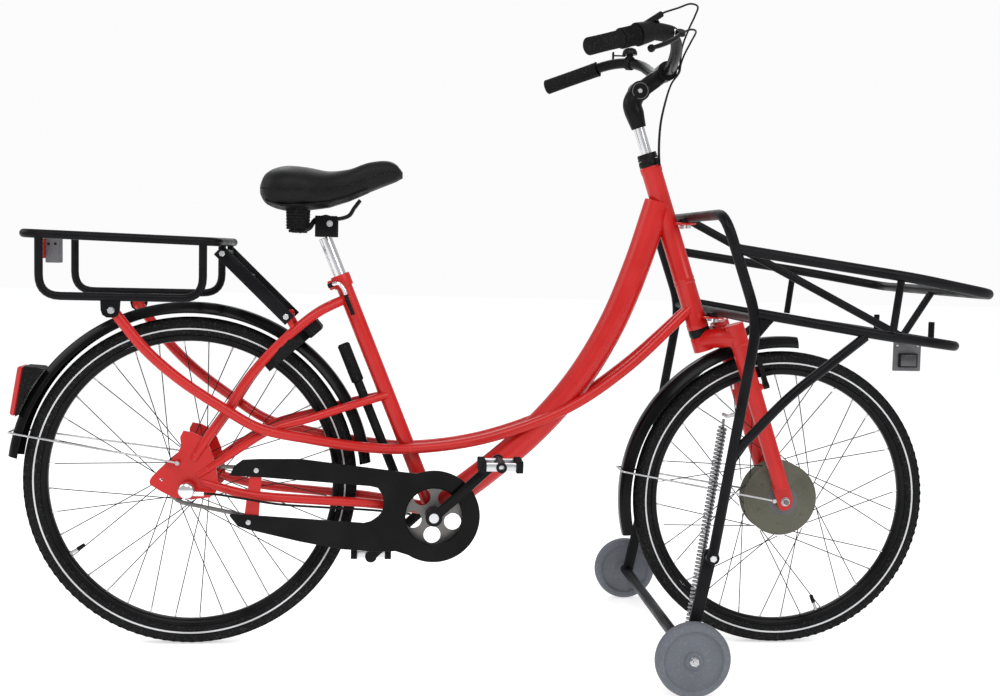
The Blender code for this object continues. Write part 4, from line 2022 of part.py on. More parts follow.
def between(first, second, radius, side=0.0):
    """Straight tube between two carrier stations at one side."""
    return rod(front_point(*first, side), front_point(*second, side), radius, THIN_SIDES)


def carrier_side(side):
    """One side of the carrier: upright, brace, gusset, foot plate, stud and stand pivot."""
    y = side * LEG_SIDE
    radius = CARRIER_TUBE_RADIUS
    brace = [front_point(*place, y) for place in (BRACE_TOP, BRACE_MIDDLE, BRACE_FOOT)]
    pieces = [
        between(UPRIGHT_TOP, UPRIGHT_FOOT, radius * 0.72, y),
        tube(brace, radius * 0.9, THIN_SIDES),
    ]
    for outline in (GUSSET, FOOT_PLATE):
        ring = [(HEAD_BOTTOM.x + x, HEAD_BOTTOM.z + z) for x, z in outline]
        pieces.append(plate([ring], y - CARRIER_PLATE / 2, y + CARRIER_PLATE / 2))
    stud_foot = front_point(*LOW_LOOP_TIP, side * STUD_SIDE)
    pieces.append(rod(stud_foot, stud_foot + UPWARD * STUD_RISE, STUD_RADIUS, THIN_SIDES))
    at = STAND_PIVOT + SIDEWAYS * y
    pieces.append(cross_rod(at, 0.0125, y - side * 0.0060, y + side * 0.0060, THIN_SIDES))
    pin_end = side * (STAND_ARM_SIDE - STAND_ARM_THICKNESS / 2 - 2 * RUNNING_GAP)
    pieces.append(cross_rod(at, STAND_PIN_RADIUS, y, pin_end, TUBE_SIDES))
    pieces.append(cross_rod(at, 0.0070, y, y + side * 0.0100, THIN_SIDES))
    return pieces


def build_carrier(frame_body):
    """Front carrier: hoop with legs, two loops, uprights, braces and clamp plates."""
    radius = CARRIER_TUBE_RADIUS
    crosses = []
    for height in CARRIER_EARS:
        crosses.append(ear_place(height) + Vector((CARRIER_CROSS_AHEAD, 0.0, FIT + radius)))
    upper_cross, lower_cross = crosses
    half = [
        upper_cross - SIDEWAYS * LEG_SIDE,
        front_point(*LEG_KNEE, -LEG_SIDE),
        STAND_PIVOT - SIDEWAYS * LEG_SIDE,
    ]
    other = [Vector((point.x, -point.y, point.z)) for point in half]
    hoop = tube(bent(list(reversed(half)) + other, 0.048, 2), radius, THIN_SIDES)
    pieces = [
        cross_rod(lower_cross, radius * 0.9, -LEG_SIDE, LEG_SIDE, THIN_SIDES),
        carrier_loop(TOP_LOOP_START, TOP_LOOP_TURN, TOP_LOOP_TIP, radius),
        carrier_loop(LOW_LOOP_START, LOW_LOOP_TURN, LOW_LOOP_TIP, radius * 0.95),
        between(TOP_LOOP_TIP, LOW_LOOP_TIP, radius * 0.75),
        rod(upper_cross, front_point(*LOW_LOOP_TIP), radius * 0.85, THIN_SIDES),
    ]
    for height in CARRIER_EARS:
        low = ear_place(height) + Vector((0.001, 0.0, FIT))
        size = Vector((EAR_REACH, EAR_WIDTH, 0.009))
        pieces.append(block(low + Vector((size.x / 2, 0.0, size.z / 2)), size))
        for side, ahead in CARRIER_BOLTS:
            foot = ear_place(height) + Vector((ahead, side, FIT + 0.004))
            pieces.append(rod(foot, foot + UPWARD * 0.0125, EAR_NUT_RADIUS, THIN_SIDES))
    for side in (-1, 1):
        pieces += carrier_side(side)
    hook = front_point(*SPRING_HOOK)
    leg = STAND_PIVOT.lerp(front_point(*LEG_KNEE), 0.62)
    pin = [
        Vector((leg.x, -LEG_SIDE, leg.z)),
        Vector((hook.x, -LEG_SIDE + 0.012, hook.z)),
        Vector((hook.x, -SPRING_SIDE + 0.008, hook.z)),
    ]
    pieces.append(tube(pin, SPRING_PIN_RADIUS, THIN_SIDES))
    rooms = []
    for height in CARRIER_EARS:
        top = ear_place(height) + UPWARD * FIT
        size = Vector((EAR_REACH + EAR_ROOT, EAR_WIDTH + 2 * EAR_THICKNESS, 5 * EAR_THICKNESS))
        middle = top + Vector(((EAR_REACH - EAR_ROOT) / 2 + FIT, 0.0, -size.z / 2))
        rooms.append(block(middle, size))
    carrier = carve(fuse(hoop, *pieces), *rooms)
    frame_body.add("front_rack", carrier, "black")
    tip = front_point(*LOW_LOOP_TIP)
    top = tip.z - radius * 0.95 - FIT
    plate_middle = Vector((tip.x + 0.012, 0.0, top - LAMP_PLATE_SIZE.z / 2))
    lamp = block(plate_middle, LAMP_PLATE_SIZE)
    lens = block(plate_middle - Vector((0.0, 0.007, 0.008)), LAMP_LENS_SIZE)
    frame_body.add("front_lamp_plate", fuse(lamp, lens), "grey")


def least_coil_gap(points, apart):
    """Return the least distance between wire points that are more than half a turn apart."""
    least = math.inf
    for index, point in enumerate(points):
        for other in points[index + apart:]:
            least = min(least, (other - point).length)
    return least


def spring_line():
    """Axis of the stand's spring: its two hooked ends, down the inside of the right leg."""
    hook = front_point(*SPRING_HOOK, -SPRING_SIDE)
    foot = STAND_AXLE - SIDEWAYS * SPRING_SIDE
    along = (foot - hook).normalized()
    start = hook + along * (SPRING_PIN_RADIUS + FIT)
    end = foot - along * (STAND_AXLE_RADIUS + FIT)
    return start, end


def build_spring(frame_body):
    """Tension spring of the stand, one unbroken coil with short straight ends."""
    start, end = spring_line()
    span = end - start
    along = span.normalized()
    across = along.cross(SIDEWAYS).normalized()
    other = along.cross(across)
    total = SPRING_COILS * SPRING_COIL_POINTS
    coil_length = span.length - 2 * SPRING_END
    coil = []
    for index in range(total + 1):
        angle = 2 * math.pi * index / SPRING_COIL_POINTS
        rise = start + along * (SPRING_END + coil_length * index / total)
        coil.append(rise + (across * math.cos(angle) + other * math.sin(angle)) * SPRING_RADIUS)
    straight = 2 * SPRING_WIRE_RADIUS
    points = [start, start + along * straight, *coil, end - along * straight, end]
    gap = least_coil_gap(coil, SPRING_COIL_POINTS // 2 + 1) - straight
    print("least gap between turns of the spring, mm:", round(gap * 1000, 2))
    frame_body.add("stand_spring", tube(points, SPRING_WIRE_RADIUS, THIN_SIDES), "silver")


def build_stand(stand):
    """U-shaped stand: two arms and the axle tube with a pin for each wheel."""
    tube_end = STAND_WHEEL_SPREAD / 2 - STAND_WHEEL_WIDTH / 2 - RUNNING_GAP
    bar = cross_rod(STAND_AXLE, STAND_AXLE_RADIUS, -tube_end, tube_end, TUBE_SIDES)
    pieces = []
    for side in (-1, 1):
        y = side * STAND_ARM_SIDE
        top = STAND_PIVOT + SIDEWAYS * y
        foot = STAND_AXLE + SIDEWAYS * y
        half = STAND_ARM_THICKNESS / 2
        pieces.append(beam(top, foot, STAND_ARM_THICKNESS, STAND_ARM_WIDTH))
        pieces.append(cross_rod(STAND_PIVOT, 0.0140, y - half - FIT, y + half + FIT, TUBE_SIDES))
        nut_start = side * (STAND_WHEEL_SPREAD / 2 + STAND_WHEEL_WIDTH / 2 + RUNNING_GAP)
        pin_end = nut_start + side * 0.010
        nut_end = nut_start + side * 0.007
        pin_start = side * (tube_end - 0.02)
        pieces.append(cross_rod(STAND_AXLE, STAND_PIN_RADIUS, pin_start, pin_end, TUBE_SIDES))
        pieces.append(cross_rod(STAND_AXLE, STAND_NUT_RADIUS, nut_start, nut_end, THIN_SIDES))
    bore_radius = clear_bore(STAND_PIN_RADIUS, FIT, TUBE_SIDES)
    bore_end = LEG_SIDE + STAND_ARM_INSET
    bore = cross_rod(STAND_PIVOT, bore_radius, -bore_end, bore_end, TUBE_SIDES)
    stand.add("stand_arms", carve(fuse(bar, *pieces), bore), "black")


def stand_wheel(side):
    """Small solid wheel with chamfered edges and a flat facet on the ground."""
    half = STAND_WHEEL_WIDTH / 2
    steps = STAND_WHEEL_STEPS
    radius = STAND_WHEEL_RADIUS / math.cos(math.pi / steps)
    bore = clear_bore(STAND_PIN_RADIUS, FIT, steps)
    profile = mirrored([(bore, half), (radius - 0.005, half), (radius, 0.62 * half)])
    centre = STAND_AXLE + SIDEWAYS * side * STAND_WHEEL_SPREAD / 2
    return turned(profile, centre, SIDEWAYS, steps, across=wheel_start(steps))


def place_on_origin(root):
    """Stand the bicycle's box centred over the origin, on the ground."""
    rear_reach = REAR_MUDGUARD_REACH * math.cos(math.pi - REAR_MUDGUARD_SPAN[1])
    front_reach = front_point(*TOP_LOOP_TIP).x + CARRIER_TUBE_RADIUS
    root.empty.location = Vector(((rear_reach - front_reach) / 2, 0.0, 0.0))


def main():
    """Build every piece of the bicycle."""
    clear_scene()
    root = Body("bicycle", Vector((0.0, 0.0, 0.0)))
    build_frame(root)
    build_bearings(root)
    build_drive(root)
    build_rear_rack(root)
    build_rack_strut(root)
    build_rear_mudguard(root)
    build_tail_light(root)
    inner_face = DROPOUT_OFFSET + DROPOUT_THICKNESS / 2
    rear_axle = axle_with_nuts(REAR_AXLE, inner_face, inner_face + AXLE_NUT_HEIGHT)
    root.add("rear_axle", rear_axle, "silver")
    build_shift_gear(root)
    build_lock(root, Body("lock_shackle", LOCK_CENTRE, root))
    build_pump(root)
    build_carrier(root)
    build_spring(root)
    build_rear_wheel(Body("rear_wheel", REAR_AXLE, root))
    build_sprocket(Body("rear_sprocket", REAR_AXLE, root))
    collar_middle = SEAT_TUBE_LENGTH - COLLAR_HEIGHT / 2
    lever_pivot = seat_point(collar_middle, -COLLAR_RADIUS - 0.004, -SKEWER_END - 0.0085)
    build_seat_lever(Body("seat_lever", lever_pivot, root))
    post = Body("seatpost", SEAT_TUBE_TOP, root)
    post_top = SEAT_TUBE_LENGTH + SEATPOST_SHOWN
    post_start = seat_point(SEAT_TUBE_LENGTH - SEATPOST_INSERTED)
    seatpost = rod(post_start, seat_point(post_top), SEATPOST_RADIUS, SHAFT_SIDES)
    post.add("seatpost", seatpost, "silver")
    saddle_pivot = seat_point(post_top + CLAMP_RADIUS + FIT, CLAMP_AHEAD)
    build_saddle(Body("saddle", saddle_pivot, post))
    crank = Body("crank", BRACKET, root)
    right_at, left_at = build_cranks(crank)
    for side, at, name in ((-1, right_at, "right_pedal"), (1, left_at, "left_pedal")):
        Body(name, at, crank).add(name, pedal(at, side), "black")
    steering = Body("steering", HEAD_BOTTOM, root)
    build_steering(steering)
    build_front_wheel(Body("front_wheel", FRONT_AXLE, steering))
    for side, name in ((-1, "brake_arm_right"), (1, "brake_arm_left")):
        pivot = steer_point(BRAKE_BOSS_UP, BRAKE_BOSS_AHEAD, side * BRAKE_BOSS_SPREAD)
        build_brake_arm(Body(name, pivot, steering), side)
    stem = Body("stem", STEM_PIVOT, steering)
    build_stem(stem)
    start, along = grip_line(-1)
    sleeve = Body("shifter", start + along * 0.025, stem)
    brake_lever = Body("brake_lever", perch_pivot(), stem)
    bell_lever = Body("bell_lever", bell_pivot(), stem)
    build_controls(stem, sleeve, brake_lever, bell_lever)
    stand = Body("stand", STAND_PIVOT, root)
    build_stand(stand)
    for side, name in ((-1, "stand_wheel_right"), (1, "stand_wheel_left")):
        centre = STAND_AXLE + SIDEWAYS * side * STAND_WHEEL_SPREAD / 2
        Body(name, centre, stand).add(name, stand_wheel(side), "grey")
    place_on_origin(root)


main()
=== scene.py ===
"""Looks of a transport bicycle: a low frame, two carriers, a hub motor and a sprung stand.

Each sub-assembly is a class that holds its sizes and builds its pieces around the
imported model. Places are measured from the rear axle, then set into the shared frame.
"""

import logging
import math
from dataclasses import dataclass
from enum import Enum

import bmesh
import bpy
from mathutils import Matrix, Vector


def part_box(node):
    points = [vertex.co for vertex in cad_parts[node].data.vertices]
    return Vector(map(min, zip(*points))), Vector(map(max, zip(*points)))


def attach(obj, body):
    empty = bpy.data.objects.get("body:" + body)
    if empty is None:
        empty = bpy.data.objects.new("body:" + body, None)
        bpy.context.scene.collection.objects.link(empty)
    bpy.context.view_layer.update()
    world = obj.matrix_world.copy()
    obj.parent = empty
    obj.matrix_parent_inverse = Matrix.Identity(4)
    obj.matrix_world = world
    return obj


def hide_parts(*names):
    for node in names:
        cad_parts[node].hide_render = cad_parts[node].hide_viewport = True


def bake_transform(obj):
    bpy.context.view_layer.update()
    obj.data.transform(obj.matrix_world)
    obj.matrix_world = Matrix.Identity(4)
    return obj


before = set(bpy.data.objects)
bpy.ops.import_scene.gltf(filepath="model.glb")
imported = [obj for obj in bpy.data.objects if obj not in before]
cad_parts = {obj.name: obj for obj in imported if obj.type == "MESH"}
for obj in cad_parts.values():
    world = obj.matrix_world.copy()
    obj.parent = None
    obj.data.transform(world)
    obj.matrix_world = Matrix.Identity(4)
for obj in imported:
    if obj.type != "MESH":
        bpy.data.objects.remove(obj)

log = logging.getLogger("bicycle")
Place = tuple[float, float, float]
Pair = tuple[float, float]
Paint = tuple[float, float, float, float]
Tree = bpy.types.NodeTree
Socket = bpy.types.NodeSocket
Values = dict[str | int, float | Place | Paint | Socket]
REAR_AXLE = -0.588179
SIDEWAYS = Vector((0.0, 1.0, 0.0))
UPWARD = Vector((0.0, 0.0, 1.0))
STEER_UP = Vector((-0.318959, 0.0, 0.947768))
STEER_AHEAD = Vector((0.947768, 0.0, 0.318959))
SEAT_UP = Vector((-0.379456, 0.0, 0.92521))
SEAT_AHEAD = Vector((0.92521, 0.0, 0.379456))


def at(x: float, y: float, z: float) -> Vector:
    """Turns a place measured from the rear axle into the shared frame.

    Args: x, y, z: metres ahead, to the left and above the ground.
    Returns: the point in the shared frame.
    """
    return Vector((x + REAR_AXLE, y, z))


def beside(spot: Pair, y: float) -> Vector:
    """Returns the point at side place y of an axle that runs across at x and z."""
    return at(spot[0], y, spot[1])


def route(places: list[Place] | tuple[Place, ...], hand: int = 1) -> list[Vector]:
    """Turns measured places into points.

    Args: places: measured from the rear axle. hand: 1 as given, -1 mirrored to the right.
    Returns: the points in the shared frame.
    """
    return [at(x, hand * y, z) for x, y, z in places]


def spanning(places: list[Place]) -> list[Vector]:
    """Returns the way through places on the right side and back through them on the left."""
    return [*route(places, -1), *reversed(route(places))]


REAR_HUB = at(0.0, 0.0, 0.332)
FRONT_HUB = at(1.21, 0.0, 0.307)
CRANK = at(0.487, 0.0, 0.275)
HEAD = at(1.029084, 0.0, 0.658663)
STEM_PIVOT = at(0.89, 0.0, 1.1377)
CRANK_AXLE: Pair = (0.487, 0.275)
PEDAL_AXLES = (("right", -1, (0.612062, 0.391622)), ("left", 1, (0.361939, 0.158378)))
RACK_BOLT: Pair = (-0.131, 0.681)
STRUT_BOLT: Pair = (0.19, 0.6705)
STAND_PIVOT: Pair = (0.9921, 0.253)
STAND_AXLE: Pair = (0.9551, 0.07)
TURN_STEPS = 120
TREAD_KNOBS = 110
SPOKES = 36
PATCHES_PER_METRE = 14.0
SPECKS_PER_METRE = 260.0
DUST_COLOUR: Paint = (0.36, 0.34, 0.31, 1.0)
COAT_ROUGHNESS = 0.08
RELIEF_DEPTH = 0.0006


def feed(tree: Tree, inputs: bpy.types.NodeInputs, values: Values) -> None:
    """Sets or links the inputs of a node.

    Args: tree: where the node is. inputs: its inputs. values: a plain value for each
        input that is set, another node's output for each that is linked.
    """
    for key, value in values.items():
        if isinstance(value, Socket):
            tree.links.new(value, inputs[key])
        else:
            inputs[key].default_value = value


def wire(tree: Tree, kind: str, values: Values, output: str | int = 0, **settings: str) -> Socket:
    """Adds a shader node with its inputs wired.

    Args: tree: where it goes. kind: its type. values: its inputs. output: name or
        number of the output in use. settings: its own options.
    Returns: that output.
    """
    made = tree.nodes.new(f"ShaderNode{kind}")
    for name, value in settings.items():
        setattr(made, name, value)
    feed(tree, made.inputs, values)
    return made.outputs[output]


class Grain(Enum):
    """How the small relief of a surface runs."""

    FINE = "fine"
    CELLS = "cells"
    BRUSHED = "brushed"
    PRISMS = "prisms"


@dataclass(frozen=True)
class Finish:
    """One surface finish with its colour, gloss, relief, marks and dust."""

    name: str
    colour: Place
    roughness: float
    metallic: float = 0.0
    coat: float = 0.0
    grain: Grain = Grain.FINE
    per_metre: float = 900.0
    relief: float = 0.15
    spread: float = 0.12
    dust: float = 0.12
    shine: float = 0.5

    def material(self) -> bpy.types.Material:
        """Returns the material of this finish, made once and then shared."""
        found = bpy.data.materials.get(self.name)
        return found or self._make()

    def _make(self) -> bpy.types.Material:
        """Builds the material with its patches, dust, gloss map and relief.

        Returns: the new material.
        """
        material = bpy.data.materials.new(self.name)
        material.use_nodes = True
        tree = material.node_tree
        place = tree.nodes.new("ShaderNodeTexCoord").outputs["Object"]
        shade = self._ramp(tree, self._noise(tree, place, PATCHES_PER_METRE, 5.0), 0.3, 0.72)
        specks = self._ramp(tree, self._noise(tree, place, SPECKS_PER_METRE, 3.0), 0.52, 0.78)
        dark = [c * (1.0 - self.spread) for c in self.colour]
        light = [min(1.0, c * (1.0 + self.spread) + 0.004) for c in self.colour]
        base = self._blend(tree, shade, (*dark, 1.0), (*light, 1.0))
        dusty = wire(tree, "Math", {0: specks, 1: self.dust}, operation="MULTIPLY")
        low, high = max(0.03, self.roughness * 0.82), min(1.0, self.roughness * 1.22 + 0.02)
        relief = {
            "Strength": self.relief,
            "Distance": RELIEF_DEPTH,
            "Height": self._height(tree, place),
        }
        values = {
            "Metallic": self.metallic,
            "Coat Weight": self.coat,
            "Coat Roughness": COAT_ROUGHNESS,
            "Specular IOR Level": self.shine,
            "Base Color": self._blend(tree, dusty, base, DUST_COLOUR),
            "Roughness": wire(tree, "MapRange", {"To Min": low, "To Max": high, "Value": shade}),
            "Normal": wire(tree, "Bump", relief, "Normal"),
        }
        feed(tree, tree.nodes["Principled BSDF"].inputs, values)
        return material

    def _noise(self, tree: Tree, place: Socket, scale: float, detail: float) -> Socket:
        """Returns the value of a noise with that many cells to the metre."""
        return wire(tree, "TexNoise", {"Scale": scale, "Detail": detail, "Vector": place}, "Fac")

    def _ramp(self, tree: Tree, value: Socket, low: float, high: float) -> Socket:
        """Returns the value spread so that low becomes 0 and high becomes 1."""
        limits = {"From Min": low, "From Max": high, "Value": value}
        return wire(tree, "MapRange", limits, interpolation_type="SMOOTHSTEP")

    def _blend(self, tree: Tree, value: Socket, low: Socket | Paint, high: Paint) -> Socket:
        """Returns a colour that runs from low to high with the value."""
        return wire(tree, "Mix", {"Factor": value, "A": low, "B": high}, "Result", data_type="RGBA")

    def _height(self, tree: Tree, place: Socket) -> Socket:
        """Builds the height that gives the finish its grain.

        Args: tree: where its nodes go. place: the coordinates that they read.
        Returns: the height.
        """
        if self.grain in (Grain.CELLS, Grain.PRISMS):
            cells = self.grain is Grain.CELLS
            values = {"Scale": self.per_metre, "Randomness": 1.0 if cells else 0.1, "Vector": place}
            return wire(
                tree, "TexVoronoi", values, "Distance",
                feature="F1" if cells else "DISTANCE_TO_EDGE",
            )
        if self.grain is Grain.BRUSHED:
            stretched = wire(tree, "Mapping", {"Scale": (1.0, 14.0, 1.0), "Vector": place})
            return self._noise(tree, stretched, self.per_metre / 8, 6.0)
        return self._noise(tree, place, self.per_metre, 4.0)


RED_PAINT = Finish(
    "red_paint", (0.5, 0.006, 0.004), 0.33, coat=0.1, per_metre=240, relief=0.06, spread=0.04,
    dust=0.005, shine=0.35,
)
RED_WELD = Finish(
    "red_weld", (0.56, 0.007, 0.005), 0.42, grain=Grain.CELLS, per_metre=520, relief=0.4, dust=0.01
)
POWDER_BLACK = Finish(
    "powder_black", (0.004, 0.004, 0.005), 0.38, per_metre=1300, relief=0.2, dust=0.01, shine=0.1
)
SATIN_BLACK = Finish(
    "satin_black", (0.003, 0.003, 0.0035), 0.3, per_metre=700, relief=0.1, dust=0.008, shine=0.12
)
GUARD_BLACK = Finish(
    "guard_black", (0.002, 0.002, 0.0025), 0.2, per_metre=90, relief=0.08, dust=0.003, shine=0.1
)
PLASTIC_BLACK = Finish(
    "plastic_black", (0.005, 0.005, 0.0055), 0.55, per_metre=1900, relief=0.25, dust=0.05, shine=0.1
)
RUBBER = Finish(
    "grip_rubber_black", (0.006, 0.006, 0.0065), 0.72, per_metre=1500, relief=0.3, dust=0.06,
    shine=0.08,
)
TYRE_RUBBER = Finish(
    "tyre_rubber", (0.006, 0.006, 0.0065), 0.7, per_metre=700, relief=0.3, dust=0.1, shine=0.09
)
TYRE_LINE = Finish(
    "tyre_line", (0.6, 0.61, 0.62), 0.34, grain=Grain.PRISMS, per_metre=900, relief=0.25
)
LEATHERETTE = Finish(
    "leatherette_black", (0.005, 0.005, 0.0055), 0.44, grain=Grain.CELLS, per_metre=620,
    relief=0.35, dust=0.02, shine=0.14,
)
SEAM_BLACK = Finish(
    "seam_black", (0.007, 0.007, 0.0075), 0.7, grain=Grain.CELLS, per_metre=900, relief=0.5,
    shine=0.1,
)
ALLOY = Finish(
    "alloy", (0.62, 0.63, 0.64), 0.3, metallic=1.0, grain=Grain.BRUSHED, relief=0.1, dust=0.06
)
POLISHED = Finish(
    "polished_alloy", (0.72, 0.72, 0.73), 0.16, metallic=1.0, grain=Grain.BRUSHED, relief=0.05,
    dust=0.04,
)
STEEL = Finish(
    "plain_steel", (0.5, 0.5, 0.51), 0.34, metallic=1.0, grain=Grain.BRUSHED, relief=0.14
)
DARK_STEEL = Finish(
    "oiled_steel", (0.16, 0.155, 0.15), 0.38, metallic=1.0, grain=Grain.BRUSHED, relief=0.2
)
SPRING_ZINC = Finish(
    "spring_zinc", (0.26, 0.26, 0.27), 0.28, metallic=1.0, per_metre=1600, relief=0.12
)
MOTOR_OLIVE = Finish(
    "motor_olive", (0.095, 0.092, 0.066), 0.46, metallic=0.35, per_metre=1200, relief=0.2
)
WHEEL_GREY = Finish(
    "stand_wheel_grey", (0.108, 0.119, 0.14), 0.62, per_metre=1100, relief=0.3, dust=0.25
)
PLATE_GREY = Finish("plate_grey", (0.1, 0.1, 0.105), 0.55, per_metre=1500, relief=0.25)
RED_LENS = Finish(
    "red_lens", (0.42, 0.006, 0.006), 0.12, coat=0.6, grain=Grain.PRISMS, per_metre=420, relief=0.5
)
DARK_LENS = Finish(
    "dark_lens", (0.03, 0.03, 0.033), 0.15, coat=0.6, grain=Grain.PRISMS, per_metre=420, relief=0.5,
    dust=0.02,
)
CABLE_BLACK = Finish(
    "cable_black", (0.004, 0.004, 0.004), 0.42, per_metre=1500, relief=0.15, shine=0.1
)


def mesh_of_curve(
    points: list[Vector], radii: list[float], sides: int, closed: bool
) -> bmesh.types.BMesh:
    """Sweeps a circle along points.

    Args: points: the middle line. radii: one radius for each point.
        sides: how many sides the circle has. closed: joins the end to the start.
    Returns: the swept mesh.
    """
    line = bpy.data.curves.new("line", "CURVE")
    line.dimensions = "3D"
    line.bevel_depth = 1.0
    line.bevel_resolution = max(0, (sides - 4) // 2)
    line.use_fill_caps = not closed
    spline = line.splines.new("POLY")
    spline.points.add(len(points) - 1)
    for knot, point, radius in zip(spline.points, points, radii):
        knot.co = (*point, 1.0)
        knot.radius = radius
    spline.use_cyclic_u = closed
    holder = bpy.data.objects.new("line", line)
    mesh = bpy.data.meshes.new_from_object(holder)
    part = bmesh.new()
    part.from_mesh(mesh)
    bmesh.ops.remove_doubles(part, verts=part.verts, dist=1e-6)
    bpy.data.objects.remove(holder)
    bpy.data.curves.remove(line)
    bpy.data.meshes.remove(mesh)
    return part


def cornered(points: list[Vector], radius: float, steps: int = 7) -> list[Vector]:
    """Rounds each inner corner of a route.

    Args: points: the corners. radius: how far each bend reaches along its legs.
        steps: points in each bend.
    Returns: the route with bends.
    """
    way = [points[0]]
    for before, corner, after in zip(points, points[1:], points[2:]):
        reach = min(radius, (before - corner).length * 0.49, (after - corner).length * 0.49)
        start = corner + (before - corner).normalized() * reach
        end = corner + (after - corner).normalized() * reach
        for step in range(steps + 1):
            share = step / steps
            way.append(start.lerp(corner, share).lerp(corner.lerp(end, share), share))
    return [*way, points[-1]]


def flowing(points: list[Vector], steps: int = 8) -> list[Vector]:
    """Runs a smooth line through all points.

    Args: points: places on the line. steps: points between two of them.
    Returns: the smooth line.
    """
    ends = [points[0] * 2 - points[1], *points, points[-1] * 2 - points[-2]]
    way = []
    for a, b, c, d in zip(ends, ends[1:], ends[2:], ends[3:]):
        t1 = max(1e-6, (b - a).length ** 0.5)
        t2 = t1 + max(1e-6, (c - b).length ** 0.5)
        t3 = t2 + max(1e-6, (d - c).length ** 0.5)
        for step in range(steps):
            t = t1 + (t2 - t1) * step / steps
            a1 = a * ((t1 - t) / t1) + b * (t / t1)
            a2 = b * ((t2 - t) / (t2 - t1)) + c * ((t - t1) / (t2 - t1))
            a3 = c * ((t3 - t) / (t3 - t2)) + d * ((t - t2) / (t3 - t2))
            b1 = a1 * ((t2 - t) / t2) + a2 * (t / t2)
            b2 = a2 * ((t3 - t) / (t3 - t1)) + a3 * ((t - t1) / (t3 - t1))
            way.append(b1 * ((t2 - t) / (t2 - t1)) + b2 * ((t - t1) / (t2 - t1)))
    return [*way, points[-1]]


